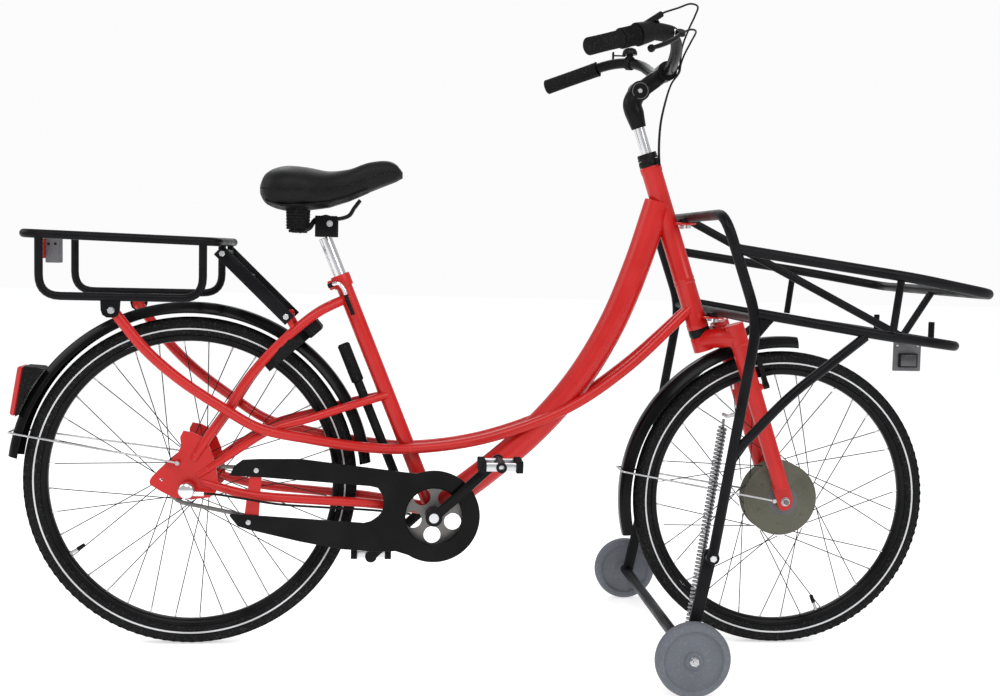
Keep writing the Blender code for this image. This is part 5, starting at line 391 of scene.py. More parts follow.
class Shape:
    """A piece in the making; every part added to it keeps its own finish."""

    def __init__(self, name: str, nodes: tuple[str, ...] | None = None) -> None:
        """Starts a piece.

        Args: name: the solid that it stands for, or its own name when nodes are given.
            nodes: the solids that it stands for, if any.
        """
        self.name = f"{name}_look" if nodes is None else name
        self.nodes = (name,) if nodes is None else nodes
        self.finishes: list[Finish] = []
        self.whole = bmesh.new()

    def take(
        self, part: bmesh.types.BMesh, finish: Finish, keep: bool = False
    ) -> bpy.types.Mesh | None:
        """Adds a part.

        Args: part: its mesh, freed here. finish: its surface. keep: also returns the mesh.
        Returns: the part's mesh when it is kept for repeats.
        """
        if finish not in self.finishes:
            self.finishes.append(finish)
        bmesh.ops.recalc_face_normals(part, faces=part.faces)
        for face in part.faces:
            face.material_index = self.finishes.index(finish)
            face.smooth = True
        store = bpy.data.meshes.new("part")
        part.to_mesh(store)
        part.free()
        if keep:
            return store
        self.whole.from_mesh(store)
        bpy.data.meshes.remove(store)
        return None

    def repeat(self, store: bpy.types.Mesh, places: list[Matrix]) -> None:
        """Adds a kept part once at each place, then drops it.

        Args: store: the kept mesh. places: where each copy goes.
        """
        for place in places:
            store.transform(place)
            self.whole.from_mesh(store)
            store.transform(place.inverted())
        bpy.data.meshes.remove(store)

    def pipe(
        self, way: list[Vector], radius: float | list[float], finish: Finish, sides: int = 20,
        closed: bool = False,
    ) -> None:
        """Adds a tube along a way.

        Args: way: its middle line. radius: one radius, or one for each point.
            finish: its surface. sides: sides of its section. closed: makes a ring.
        """
        radii = [radius] * len(way) if isinstance(radius, float) else radius
        self.take(mesh_of_curve(way, radii, sides, closed), finish)

    def lathe(
        self, profile: list[Pair], centre: Vector, axis: Vector, finish: Finish, steps: int = 48,
        start: Vector | None = None, sweep: float = math.tau,
    ) -> None:
        """Adds a turned part.

        Args: profile: radius and place along the axis. centre, axis: what it turns
            about. finish: its surface. steps: steps of the turn. start: direction
            in which a part turn begins. sweep: angle of the turn.
        """
        along = axis.normalized()
        across = start.normalized() if start else along.orthogonal().normalized()
        part = bmesh.new()
        points = [part.verts.new(centre + across * r + along * a) for r, a in profile]
        edges = [part.edges.new(pair) for pair in zip(points, points[1:])]
        full = sweep >= math.tau
        if not full:
            edges.append(part.edges.new((points[-1], points[0])))
        geom = points + edges
        bmesh.ops.spin(
            part, geom=geom, cent=centre, axis=along, angle=sweep, steps=steps, use_merge=full
        )
        bmesh.ops.remove_doubles(part, verts=part.verts, dist=1e-6)
        if not full:
            bmesh.ops.holes_fill(part, edges=[e for e in part.edges if e.is_boundary], sides=0)
        self.take(part, finish)

    def rod(
        self, start: Vector, end: Vector, radius: float, finish: Finish, steps: int = 28,
        tip: float | None = None,
    ) -> None:
        """Adds a rod with softened ends.

        Args: start, end: its ends. radius: at the start. finish: its surface.
            steps: sides. tip: radius at the end when it tapers.
        """
        length = (end - start).length
        last = radius if tip is None else tip
        soft = min(0.0008, radius * 0.3, length * 0.3)
        profile = [
            (0, 0), (radius - soft, 0), (radius, soft), (last, length - soft),
            (last - soft, length), (0, length),
        ]
        self.lathe(profile, start, end - start, finish, steps)

    def crosswise(
        self, x: float, z: float, near: float, far: float, radius: float, finish: Finish,
        steps: int = 28,
    ) -> None:
        """Adds a rod across the bicycle, from side place near to far."""
        self.rod(at(x, near, z), at(x, far, z), radius, finish, steps)

    def block(
        self, centre: Vector, size: Place, finish: Finish, ahead: Vector = Vector((1.0, 0.0, 0.0)),
        up: Vector = UPWARD, soft: float = 0.0012,
    ) -> None:
        """Adds a block with rounded edges.

        Args: centre: its middle. size: along ahead, sideways and up. finish: its
            surface. ahead, up: its directions. soft: size of the rounding.
        """
        ahead = ahead.normalized()
        side = up.cross(ahead).normalized()
        turn = Matrix((ahead, side, ahead.cross(side))).transposed().to_4x4()
        stretch = Matrix.Diagonal((*size, 1.0))
        part = bmesh.new()
        bmesh.ops.create_cube(part, size=1.0, matrix=Matrix.Translation(centre) @ turn @ stretch)
        offset = min(soft, min(size) * 0.3)
        edges = part.edges[:]
        bmesh.ops.bevel(
            part, geom=edges, offset=offset, segments=2, profile=0.5, affect="EDGES", material=-1
        )
        self.take(part, finish)

    def bar(
        self, start: Vector, end: Vector, width: float, depth: float, finish: Finish,
        soft: float = 0.0015,
    ) -> None:
        """Adds a straight bar.

        Args: start, end: its ends. width, depth: its section in the upright plane and
            across the bicycle. finish: its surface. soft: size of the rounding.
        """
        ahead = (end - start).normalized()
        up = ahead.cross(SIDEWAYS).normalized() * -1.0
        self.block((start + end) / 2, ((end - start).length, depth, width), finish, ahead, up, soft)

    def plate(self, outlines: list[list[Pair]], near: float, far: float, finish: Finish) -> None:
        """Adds a flat plate that stands upright along the bicycle.

        Args: outlines: outer line and holes, each a list of x and z. near, far:
            the side places of its faces. finish: its surface.
        """
        part = bmesh.new()
        edges = []
        for outline in outlines:
            ring = [part.verts.new(at(x, near, z)) for x, z in outline]
            edges += [part.edges.new((ring[i - 1], ring[i])) for i in range(len(ring))]
        bmesh.ops.triangle_fill(part, edges=edges, use_beauty=True, use_dissolve=False)
        grown = bmesh.ops.extrude_face_region(part, geom=part.faces[:])["geom"]
        moved = [v for v in grown if isinstance(v, bmesh.types.BMVert)]
        bmesh.ops.translate(part, verts=moved, vec=Vector((0.0, far - near, 0.0)))
        self.take(part, finish)

    def skin(self, rings: list[list[Vector]], finish: Finish) -> None:
        """Adds a closed body through rings of equal point counts.

        Args: rings: the sections from one end to the other. finish: its surface.
        """
        part = bmesh.new()
        loops = []
        for ring in rings:
            points = [part.verts.new(p) for p in ring]
            loops.append([part.edges.new((points[i - 1], points[i])) for i in range(len(points))])
        for first, second in zip(loops, loops[1:]):
            bmesh.ops.bridge_loops(part, edges=first + second)
        bmesh.ops.holes_fill(part, edges=loops[0] + loops[-1], sides=0)
        self.take(part, finish)

    def place(
        self, body: str, slot: str, edge: float = 0.0, crease: float = 38
    ) -> bpy.types.Object:
        """Makes the finished piece and puts it on its body.

        Args: body: what it rides on. slot: not used. edge: width
            of the softened edges. crease: angle in degrees above which an edge is sharp.
        Returns: the piece.
        """
        mesh = bpy.data.meshes.new(self.name)
        self.whole.to_mesh(mesh)
        self.whole.free()
        for finish in self.finishes:
            mesh.materials.append(finish.material())
        mesh.set_sharp_from_angle(angle=math.radians(crease))
        piece = bpy.data.objects.new(self.name, mesh)
        bpy.context.scene.collection.objects.link(piece)
        if edge:
            soften = piece.modifiers.new("soften", "BEVEL")
            soften.width = edge
            soften.segments = 2
            soften.limit_method = "ANGLE"
            soften.angle_limit = math.radians(40)
        if body:
            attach(piece, body)
        if self.nodes:
            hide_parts(*self.nodes)
        log.info("%s: %d faces on %s", self.name, len(mesh.polygons), body or "two bodies")
        return piece


def mirrored(half: list[Pair]) -> list[Pair]:
    """Returns a section and its mirror image beyond the middle plane."""
    return half + [(r, -a) for r, a in reversed(half)]


def handed(section: list[Pair], hand: int) -> list[Pair]:
    """Returns a section on the left side, or on the right for a hand of -1."""
    return [(r, hand * a) for r, a in section]


def sleeve(
    inner: float, outer: float, near: float, far: float, soft: float, ease: float
) -> list[Pair]:
    """Works out the section of a sleeve.

    Args: inner, outer: its radii. near, far: its ends. soft, ease: how far its outer
        edges are drawn in and back.
    Returns: the closed section.
    """
    step = math.copysign(ease, far - near)
    section = [
        (inner, near), (outer - soft, near), (outer, near + step), (outer, far - step),
        (outer - soft, far),
    ]
    return closed([*section, (inner, far)])


def closed(outline: list[Pair]) -> list[Pair]:
    """Returns an outline that ends where it starts."""
    return [*outline, outline[0]]


def heading(angle: float) -> Vector:
    """Returns the direction at an angle up from straight ahead."""
    return Vector((math.cos(angle), 0.0, math.sin(angle)))


def circle(x: float, z: float, radius: float, count: int = 40) -> list[Pair]:
    """Returns a circle in the upright plane as x and z pairs."""
    turns = (math.tau * i / count for i in range(count))
    return [(x + radius * math.cos(t), z + radius * math.sin(t)) for t in turns]


def around(centre: Vector, axis: Vector, angle: float) -> Matrix:
    """Returns the turn by an angle about an axis through a centre."""
    return Matrix.Translation(centre) @ Matrix.Rotation(
        angle, 4, axis
    ) @ Matrix.Translation(-centre)


@dataclass
class Wheel:
    """A spoked wheel: tyre, rim and spokes; its hub is built with the hubs."""

    side: str
    centre: Vector
    radius: float
    hub_reach: float
    inner_side: float
    outer_side: float
    lead: float
    valve_at: float

    def build(self) -> None:
        """Builds the tyre and the spoked rim."""
        self._tyre()
        self._rim()

    def _tyre(self) -> None:
        """Tyre with a grooved tread, shoulder knobs and a pale line on each wall."""
        big = self.radius
        half = [
            (big - 0.037, 0.0112), (big - 0.035, 0.014), (big - 0.029, 0.0172), (big - 0.02, 0.019),
            (big - 0.013, 0.0186), (big - 0.0075, 0.016), (big - 0.004, 0.0126),
            (big - 0.0042, 0.0112), (big - 0.0022, 0.0104), (big - 0.0012, 0.0074),
            (big - 0.0034, 0.0068), (big - 0.0034, 0.0056), (big - 0.0008, 0.005),
            (big - 0.0002, 0.0024),
        ]
        shape = Shape(f"{self.side}_tyre")
        shape.lathe(closed(mirrored(half)), self.centre, SIDEWAYS, TYRE_RUBBER, TURN_STEPS)
        for hand in (-1, 1):
            line = [
                (big - 0.0252, 0.018), (big - 0.0252, 0.0188), (big - 0.0222, 0.0193),
                (big - 0.0222, 0.0186),
            ]
            shape.lathe(closed(handed(line, hand)), self.centre, SIDEWAYS, TYRE_LINE, TURN_STEPS)
        for hand in (-1, 1):
            knob = bmesh.new()
            spot = self.centre + Vector((0.0, hand * 0.0136, big - 0.0055))
            lean = Matrix.Translation(spot) @ Matrix.Rotation(hand * 0.85, 4, "X")
            bmesh.ops.create_cube(
                knob, size=1.0, matrix=lean @ Matrix.Diagonal((0.0075, 0.0052, 0.003, 1.0))
            )
            bmesh.ops.bevel(
                knob, geom=knob.edges[:], offset=0.0005, segments=1, profile=0.5, affect="EDGES"
            )
            store = shape.take(knob, TYRE_RUBBER, keep=True)
            turns = [math.tau * (i + 0.25 * hand) / TREAD_KNOBS for i in range(TREAD_KNOBS)]
            shape.repeat(store, [around(self.centre, SIDEWAYS, t) for t in turns])
        shape.place(f"{self.side}_wheel", "tyre")

    def _rim(self) -> None:
        """Hollow rim with its spokes, nipples and the valve."""
        outer = self.radius - 0.0373
        inner = outer - 0.0121
        half = [
            (inner, 0.0), (inner + 0.0004, 0.005), (inner + 0.0022, 0.0088),
            (inner + 0.0062, 0.0118), (outer - 0.0016, 0.0132), (outer, 0.0132), (outer, 0.0118),
            (outer - 0.004, 0.011), (outer - 0.005, 0.0),
        ]
        shape = Shape(f"{self.side}_rim")
        shape.lathe(mirrored(half), self.centre, SIDEWAYS, SATIN_BLACK, TURN_STEPS)
        for index in range(SPOKES):
            flange = 1 if index % 2 else -1
            lead = 1 if (index // 2) % 2 else -1
            at_rim = math.radians(3.5 + 360 / SPOKES * index)
            at_hub = at_rim + lead * self.lead
            side = flange * (self.outer_side if lead > 0 else self.inner_side)
            hub = heading(at_hub) * self.hub_reach
            out = heading(at_rim) * (inner + 0.0015)
            start = self.centre + hub + SIDEWAYS * side
            end = self.centre + out
            shape.rod(start, end, 0.001, SATIN_BLACK, 8)
            shape.rod(end + (start - end).normalized() * 0.0125, end, 0.0019, ALLOY, 8)
        out = heading(self.valve_at)
        foot = self.centre + out * (inner + 0.001)
        shape.rod(foot, foot - out * 0.02, 0.003, STEEL, 14)
        shape.rod(foot - out * 0.001, foot - out * 0.0035, 0.0055, STEEL, 6)
        shape.rod(foot - out * 0.017, foot - out * 0.034, 0.004, PLASTIC_BLACK, 14)
        shape.place(f"{self.side}_wheel", "rim")


@dataclass
class Hubs:
    """Both hubs, their axles and the sprocket."""

    motor_radius: float = 0.0765
    cover_screws: int = 6
    sprocket_teeth: int = 18

    def build(self) -> None:
        """Builds the hub shell, motor, sprocket and axles."""
        shell = Shape("rear_hub_shell")
        half = [
            (0.0058, 0.039), (0.015, 0.039), (0.0164, 0.0374), (0.02, 0.0345), (0.0325, 0.0298),
            (0.0338, 0.0292), (0.0338, 0.0268), (0.0325, 0.0262), (0.025, 0.0225), (0.0232, 0.015),
            (0.0228, 0.0),
        ]
        shell.lathe(mirrored(half), REAR_HUB, SIDEWAYS, ALLOY, 72)
        shell.place("rear_wheel", "hub_silver")
        self._motor()
        self._sprocket()
        self._axle("rear", REAR_HUB, "bicycle", 0.0673, 0.0748)
        self._axle("front", FRONT_HUB, "steering", 0.0558, 0.069)

    def _motor(self) -> None:
        """Olive motor with a bright drum, grey bosses and cover screws."""
        motor = Shape("hub_motor")
        big = self.motor_radius
        half = [
            (0.0058, 0.0398), (0.018, 0.0398), (0.02, 0.038), (0.042, 0.036), (0.045, 0.034),
            (0.066, 0.025),
        ]
        motor.lathe(mirrored(half), FRONT_HUB, SIDEWAYS, MOTOR_OLIVE, 84)
        for hand in (-1, 1):
            rim = [
                (0.0655, 0.0252), (0.0675, 0.0248), (big - 0.0015, 0.0214), (big, 0.0206),
                (big, 0.0186), (big - 0.0015, 0.018), (0.0655, 0.014),
            ]
            motor.lathe(closed(handed(rim, hand)), FRONT_HUB, SIDEWAYS, MOTOR_OLIVE, 84)
            boss = [(0.02, 0.0386), (0.03, 0.038), (0.031, 0.0366), (0.02, 0.0366), (0.02, 0.0386)]
            motor.lathe(handed(boss, hand), FRONT_HUB, SIDEWAYS, PLATE_GREY, 48)
            for index in range(self.cover_screws):
                turn = math.tau * (index + 0.4) / self.cover_screws
                spot = FRONT_HUB + heading(turn) * 0.0515
                start = spot + SIDEWAYS * hand * 0.0285
                motor.rod(start, start + SIDEWAYS * hand * 0.004, 0.0032, MOTOR_OLIVE, 18)
        drum = [(0.064, -0.015), (0.0665, -0.014), (0.0665, 0.014), (0.064, 0.015)]
        motor.lathe(drum, FRONT_HUB, SIDEWAYS, ALLOY, 84)
        motor.place("front_wheel", "motor")

    def _sprocket(self) -> None:
        """Toothed sprocket on its sleeve."""
        shape = Shape("rear_sprocket")
        outlines = [
            toothed(REAR_HUB, 0.0318, self.sprocket_teeth, 0.004), circle(0.0, 0.332, 0.015, 32)
        ]
        shape.plate(outlines, -0.0458, -0.0433, DARK_STEEL)
        core = [
            (0.0058, -0.0596), (0.015, -0.0596), (0.0154, -0.059), (0.0154, -0.0398),
            (0.015, -0.0393), (0.0058, -0.0393),
        ]
        shape.lathe(core, REAR_HUB, SIDEWAYS, STEEL, 40)
        shape.place("rear_sprocket", "bare_steel")

    def _axle(self, side: str, centre: Vector, body: str, nut: float, end: float) -> None:
        """Axle with a six sided nut and a washer at each end.

        Args: side: rear or front. centre: of its hub. body: what it rides on. nut: how
            far out the nuts sit. end: how far out it ends.
        """
        shape = Shape(f"{side}_axle")
        for hand in (-1, 1):
            near = centre + SIDEWAYS * hand * nut
            far = near + SIDEWAYS * hand * 0.007
            shape.rod(near + SIDEWAYS * hand * 0.0012, far, 0.0088, STEEL, 6)
            shape.rod(near, near + SIDEWAYS * hand * 0.0012, 0.0094, STEEL, 36)
        shape.rod(centre - SIDEWAYS * end, centre + SIDEWAYS * end, 0.0049, DARK_STEEL, 24)
        shape.place(body, "bare_steel")


def toothed(centre: Vector, radius: float, teeth: int, depth: float) -> list[Pair]:
    """Outline of a toothed wheel as x and z pairs from the rear axle.

    Args: centre: its middle. radius: at the tips. teeth: their count. depth: of the gaps.
    Returns: the outline.
    """
    shares = ((0.0, 0.0), (0.1, 0.12), (0.28, 0.95), (0.5, 1.0), (0.72, 0.95), (0.9, 0.12))
    outline = []
    for tooth in range(teeth):
        for turn_share, drop in shares:
            turn = math.tau * (tooth + turn_share) / teeth
            reach = radius - depth * drop
            outline.append((
                centre.x - REAR_AXLE + reach * math.cos(turn), centre.z + reach * math.sin(turn)
            ))
    return outline


@dataclass
class FrameSet:
    """The welded frame: main tube, twin rails, three stays a side and its lugs."""

    main_radius: float = 0.0275
    rail_radius: float = 0.0103
    rails: tuple[Place, ...] = (
        (-0.131, 0.1358, 0.681), (-0.0716, 0.128, 0.6063), (-0.0103, 0.112, 0.5491),
        (0.067, 0.093, 0.4945), (0.1407, 0.075, 0.4502), (0.2357, 0.053, 0.4269),
        (0.3432, 0.0415, 0.4096), (0.4379, 0.0258, 0.4046), (0.5881, 0.026, 0.4264),
        (0.7547, 0.0275, 0.4902), (0.8776, 0.0255, 0.5753), (1.009, 0.01, 0.6994),
    )
    seat_stay: tuple[Place, ...] = (
        (0.012, 0.064, 0.385), (0.0364, 0.066, 0.4246), (0.078, 0.066, 0.4854),
        (0.1141, 0.063, 0.5428), (0.1509, 0.06, 0.5883), (0.2025, 0.054, 0.64),
        (0.252, 0.038, 0.6791), (0.3094, 0.01, 0.708),
    )
    middle_stay: tuple[Place, ...] = (
        (0.02, 0.064, 0.352), (0.0995, 0.064, 0.4067), (0.1591, 0.058, 0.4435),
        (0.2437, 0.049, 0.4693), (0.3111, 0.0405, 0.4909), (0.3899, 0.01, 0.5119),
    )
    chain_stay: tuple[Place, ...] = (
        (0.03, 0.064, 0.34), (0.1183, 0.063, 0.3162), (0.2527, 0.052, 0.3036),
        (0.3429, 0.043, 0.2973), (0.477, 0.022, 0.279),
    )
    main_tube: tuple[Place, ...] = (
        (0.487, 0.0, 0.275), (0.5963, 0.0, 0.3574), (0.6964, 0.0, 0.4463), (0.7805, 0.0, 0.5465),
        (0.8463, 0.0, 0.6595), (0.8961, 0.0, 0.7838), (0.9366, 0.0, 0.9145),
    )
    dropout: tuple[Pair, ...] = (
        (-0.069, 0.35), (-0.073, 0.342), (-0.072, 0.335), (-0.05, 0.321), (-0.026, 0.309),
        (0.01, 0.306), (0.044, 0.31), (0.056, 0.32), (0.06, 0.335), (0.057, 0.362), (0.05, 0.392),
        (0.042, 0.412), (0.03, 0.429), (0.01, 0.439), (-0.008, 0.442), (-0.014, 0.43),
        (-0.012, 0.412), (-0.02, 0.394), (-0.034, 0.382), (-0.052, 0.368),
    )

    def build(self) -> None:
        """Builds the frame and its head bearings."""
        shape = Shape("frame")
        shape.pipe(flowing(route(self.main_tube)), self.main_radius, RED_PAINT, 40)
        head = [
            (0.0177, 0.0), (0.022, 0.0), (0.0224, 0.0015), (0.0224, 0.0105), (0.0212, 0.0135),
            (0.021, 0.05), (0.021, 0.102), (0.0217, 0.104), (0.0217, 0.108), (0.021, 0.11),
            (0.021, 0.332), (0.0222, 0.335), (0.0222, 0.3455), (0.0218, 0.347), (0.0177, 0.347),
            (0.0177, 0.0),
        ]
        shape.lathe(head, HEAD, STEER_UP, RED_PAINT, 56)
        shape.rod(
            CRANK + SEAT_UP * 0.02, at(0.2908, 0.0, 0.7533) - SEAT_UP * 0.002, 0.016, RED_PAINT, 44
        )
        shape.lathe(
            sleeve(0.0177, 0.0207, -0.034, 0.034, 0.0005, 0.0008), CRANK, SIDEWAYS, RED_PAINT, 52
        )
        collar = [
            (0.0162, 0.0), (0.019, 0.0005), (0.0196, 0.002), (0.0196, 0.0235), (0.019, 0.0255),
            (0.0142, 0.0258),
        ]
        shape.lathe(collar, at(0.3007, 0.0, 0.7293), SEAT_UP, RED_PAINT, 44)
        shape.block(
            at(0.2755, 0.0, 0.7325), (0.013, 0.016, 0.019), RED_PAINT, SEAT_AHEAD, SEAT_UP, 0.002
        )
        shape.crosswise(0.274, 0.7324, 0.0085, 0.0195, 0.0072, ALLOY)
        for hand in (-1, 1):
            self._side(shape, hand)
        shape.crosswise(0.2026, 0.6401, -0.054, 0.054, 0.0045, RED_PAINT)
        shape.rod(at(0.4269, 0.0, 0.3044), at(0.4232, 0.0, 0.3133), 0.0068, RED_PAINT)
        shape.bar(at(0.4253, 0.0, 0.3081), at(0.4628, 0.0, 0.3234), 0.0096, 0.0068, RED_PAINT)
        self._ears(shape)
        self._guard_bracket(shape)
        shape.place("bicycle", "frame_paint")
        self._bearings()

    def _side(self, shape: Shape, hand: int) -> None:
        """Adds one side's rail, stays, dropout and lugs with their weld seams.

        Args: shape: the frame. hand: 1 for the left side, -1 for the right.
        """
        rail = flowing(route(self.rails, hand))
        shape.pipe(rail, self.rail_radius, RED_PAINT, 24)
        for way, thick in (
            (self.seat_stay, 0.0094), (self.middle_stay, 0.0084), (self.chain_stay, 0.0094)
        ):
            line = flowing(route(way, hand))
            radii = [thick * min(1.0, 0.8 + 0.2 * i / 6) for i in range(len(line))]
            shape.pipe(line, radii, RED_PAINT, 24)
            shape.lathe(bead(thick * 0.84, 0.002), line[2], line[3] - line[2], RED_WELD, 24)
        shape.lathe(
            bead(0.0102, 0.0022), at(0.4379, hand * 0.0248, 0.4046), Vector((1.0, 0.0, 0.06)),
            RED_WELD, 24,
        )
        near, far = (-0.0668, -0.0612) if hand < 0 else (0.0612, 0.0668)
        hole = circle(-0.0505, 0.3445, 0.0034, 14)
        slot = circle(0.0, 0.332, 0.006, 20)
        eye = circle(-0.0174, 0.3796, 0.0028, 14)
        shape.plate([list(self.dropout), hole, slot, eye], near, far, RED_PAINT)
        shape.crosswise(*RACK_BOLT, hand * 0.1319, hand * 0.147, 0.0113, RED_PAINT)
        shape.crosswise(*STRUT_BOLT, hand * 0.0482, hand * 0.072, 0.0083, RED_PAINT)
        shape.bar(
            beside(STRUT_BOLT, hand * 0.054), at(0.202, hand * 0.054, 0.6485), 0.0098, 0.0138,
            RED_PAINT,
        )

    def _ears(self, shape: Shape) -> None:
        """Adds the two plates on the head tube that carry the front carrier, with their bolts.

        Args: shape: the frame.
        """
        for x, z in ((0.9877, 0.8722), (1.0517, 0.6822)):
            shape.block(at(x, 0.0, z), (0.0415, 0.083, 0.0038), RED_PAINT, soft=0.0015)
            for y in (-0.03, 0.03):
                shape.rod(
                    at(x + 0.007, y, z - 0.0098), at(x + 0.007, y, z - 0.002), 0.0056, ALLOY, 6
                )
        shape.lathe(bead(0.0205, 0.0024), at(0.9978, 0.0, 0.7515), STEER_UP, RED_WELD, 48)

    def _guard_bracket(self, shape: Shape) -> None:
        """Adds the plate on the right dropout that carries the chain guard."""
        outline = [(0.124, 0.373), (0.146, 0.373), (0.1393, 0.254), (0.1095, 0.254)]
        shape.plate([outline], -0.0664, -0.0612, RED_PAINT)

    def _bearings(self) -> None:
        """Builds the head bearing cups, locknut and crank cartridge."""
        parts = (
            (
                "headset_lower_cup", "bicycle",
                [
                    (0.016, -0.017), (0.0208, -0.017), (0.0216, -0.016), (0.0222, -0.0085),
                    (0.0216, -0.0012), (0.0206, -0.0004), (0.0171, -0.0004), (0.0171, 0.0096),
                    (0.016, 0.0096),
                ],
            ),
            (
                "headset_upper_cup", "bicycle",
                [
                    (0.016, 0.3376), (0.0171, 0.3376), (0.0171, 0.3475), (0.021, 0.3475),
                    (0.0215, 0.349), (0.0215, 0.356), (0.02, 0.3608), (0.016, 0.3608),
                ],
            ),
            (
                "headset_locknut", "steering",
                [
                    (0.016, 0.3614), (0.0208, 0.3614), (0.0214, 0.3624), (0.02, 0.366),
                    (0.02, 0.3675), (0.0204, 0.368), (0.0194, 0.374), (0.016, 0.3742),
                ],
            ),
        )
        for name, body, profile in parts:
            ring = Shape(name)
            ring.lathe(closed(profile), HEAD, STEER_UP, SATIN_BLACK, 44)
            ring.place(body, "black_paint")
        cartridge = Shape("bottom_bracket_cartridge")
        half = [(0.0093, 0.0338), (0.016, 0.0338), (0.017, 0.033), (0.017, 0.0)]
        cartridge.lathe(mirrored(half), CRANK, SIDEWAYS, STEEL, 40)
        cartridge.place("bicycle", "bare_steel")


def bead(radius: float, size: float) -> list[Pair]:
    """Returns the closed section of a weld seam of that size round a tube of that radius."""
    turns = [math.tau * i / 10 for i in range(11)]
    return [(radius + 0.0004 + size * 0.5 * math.cos(t), size * math.sin(t)) for t in turns]


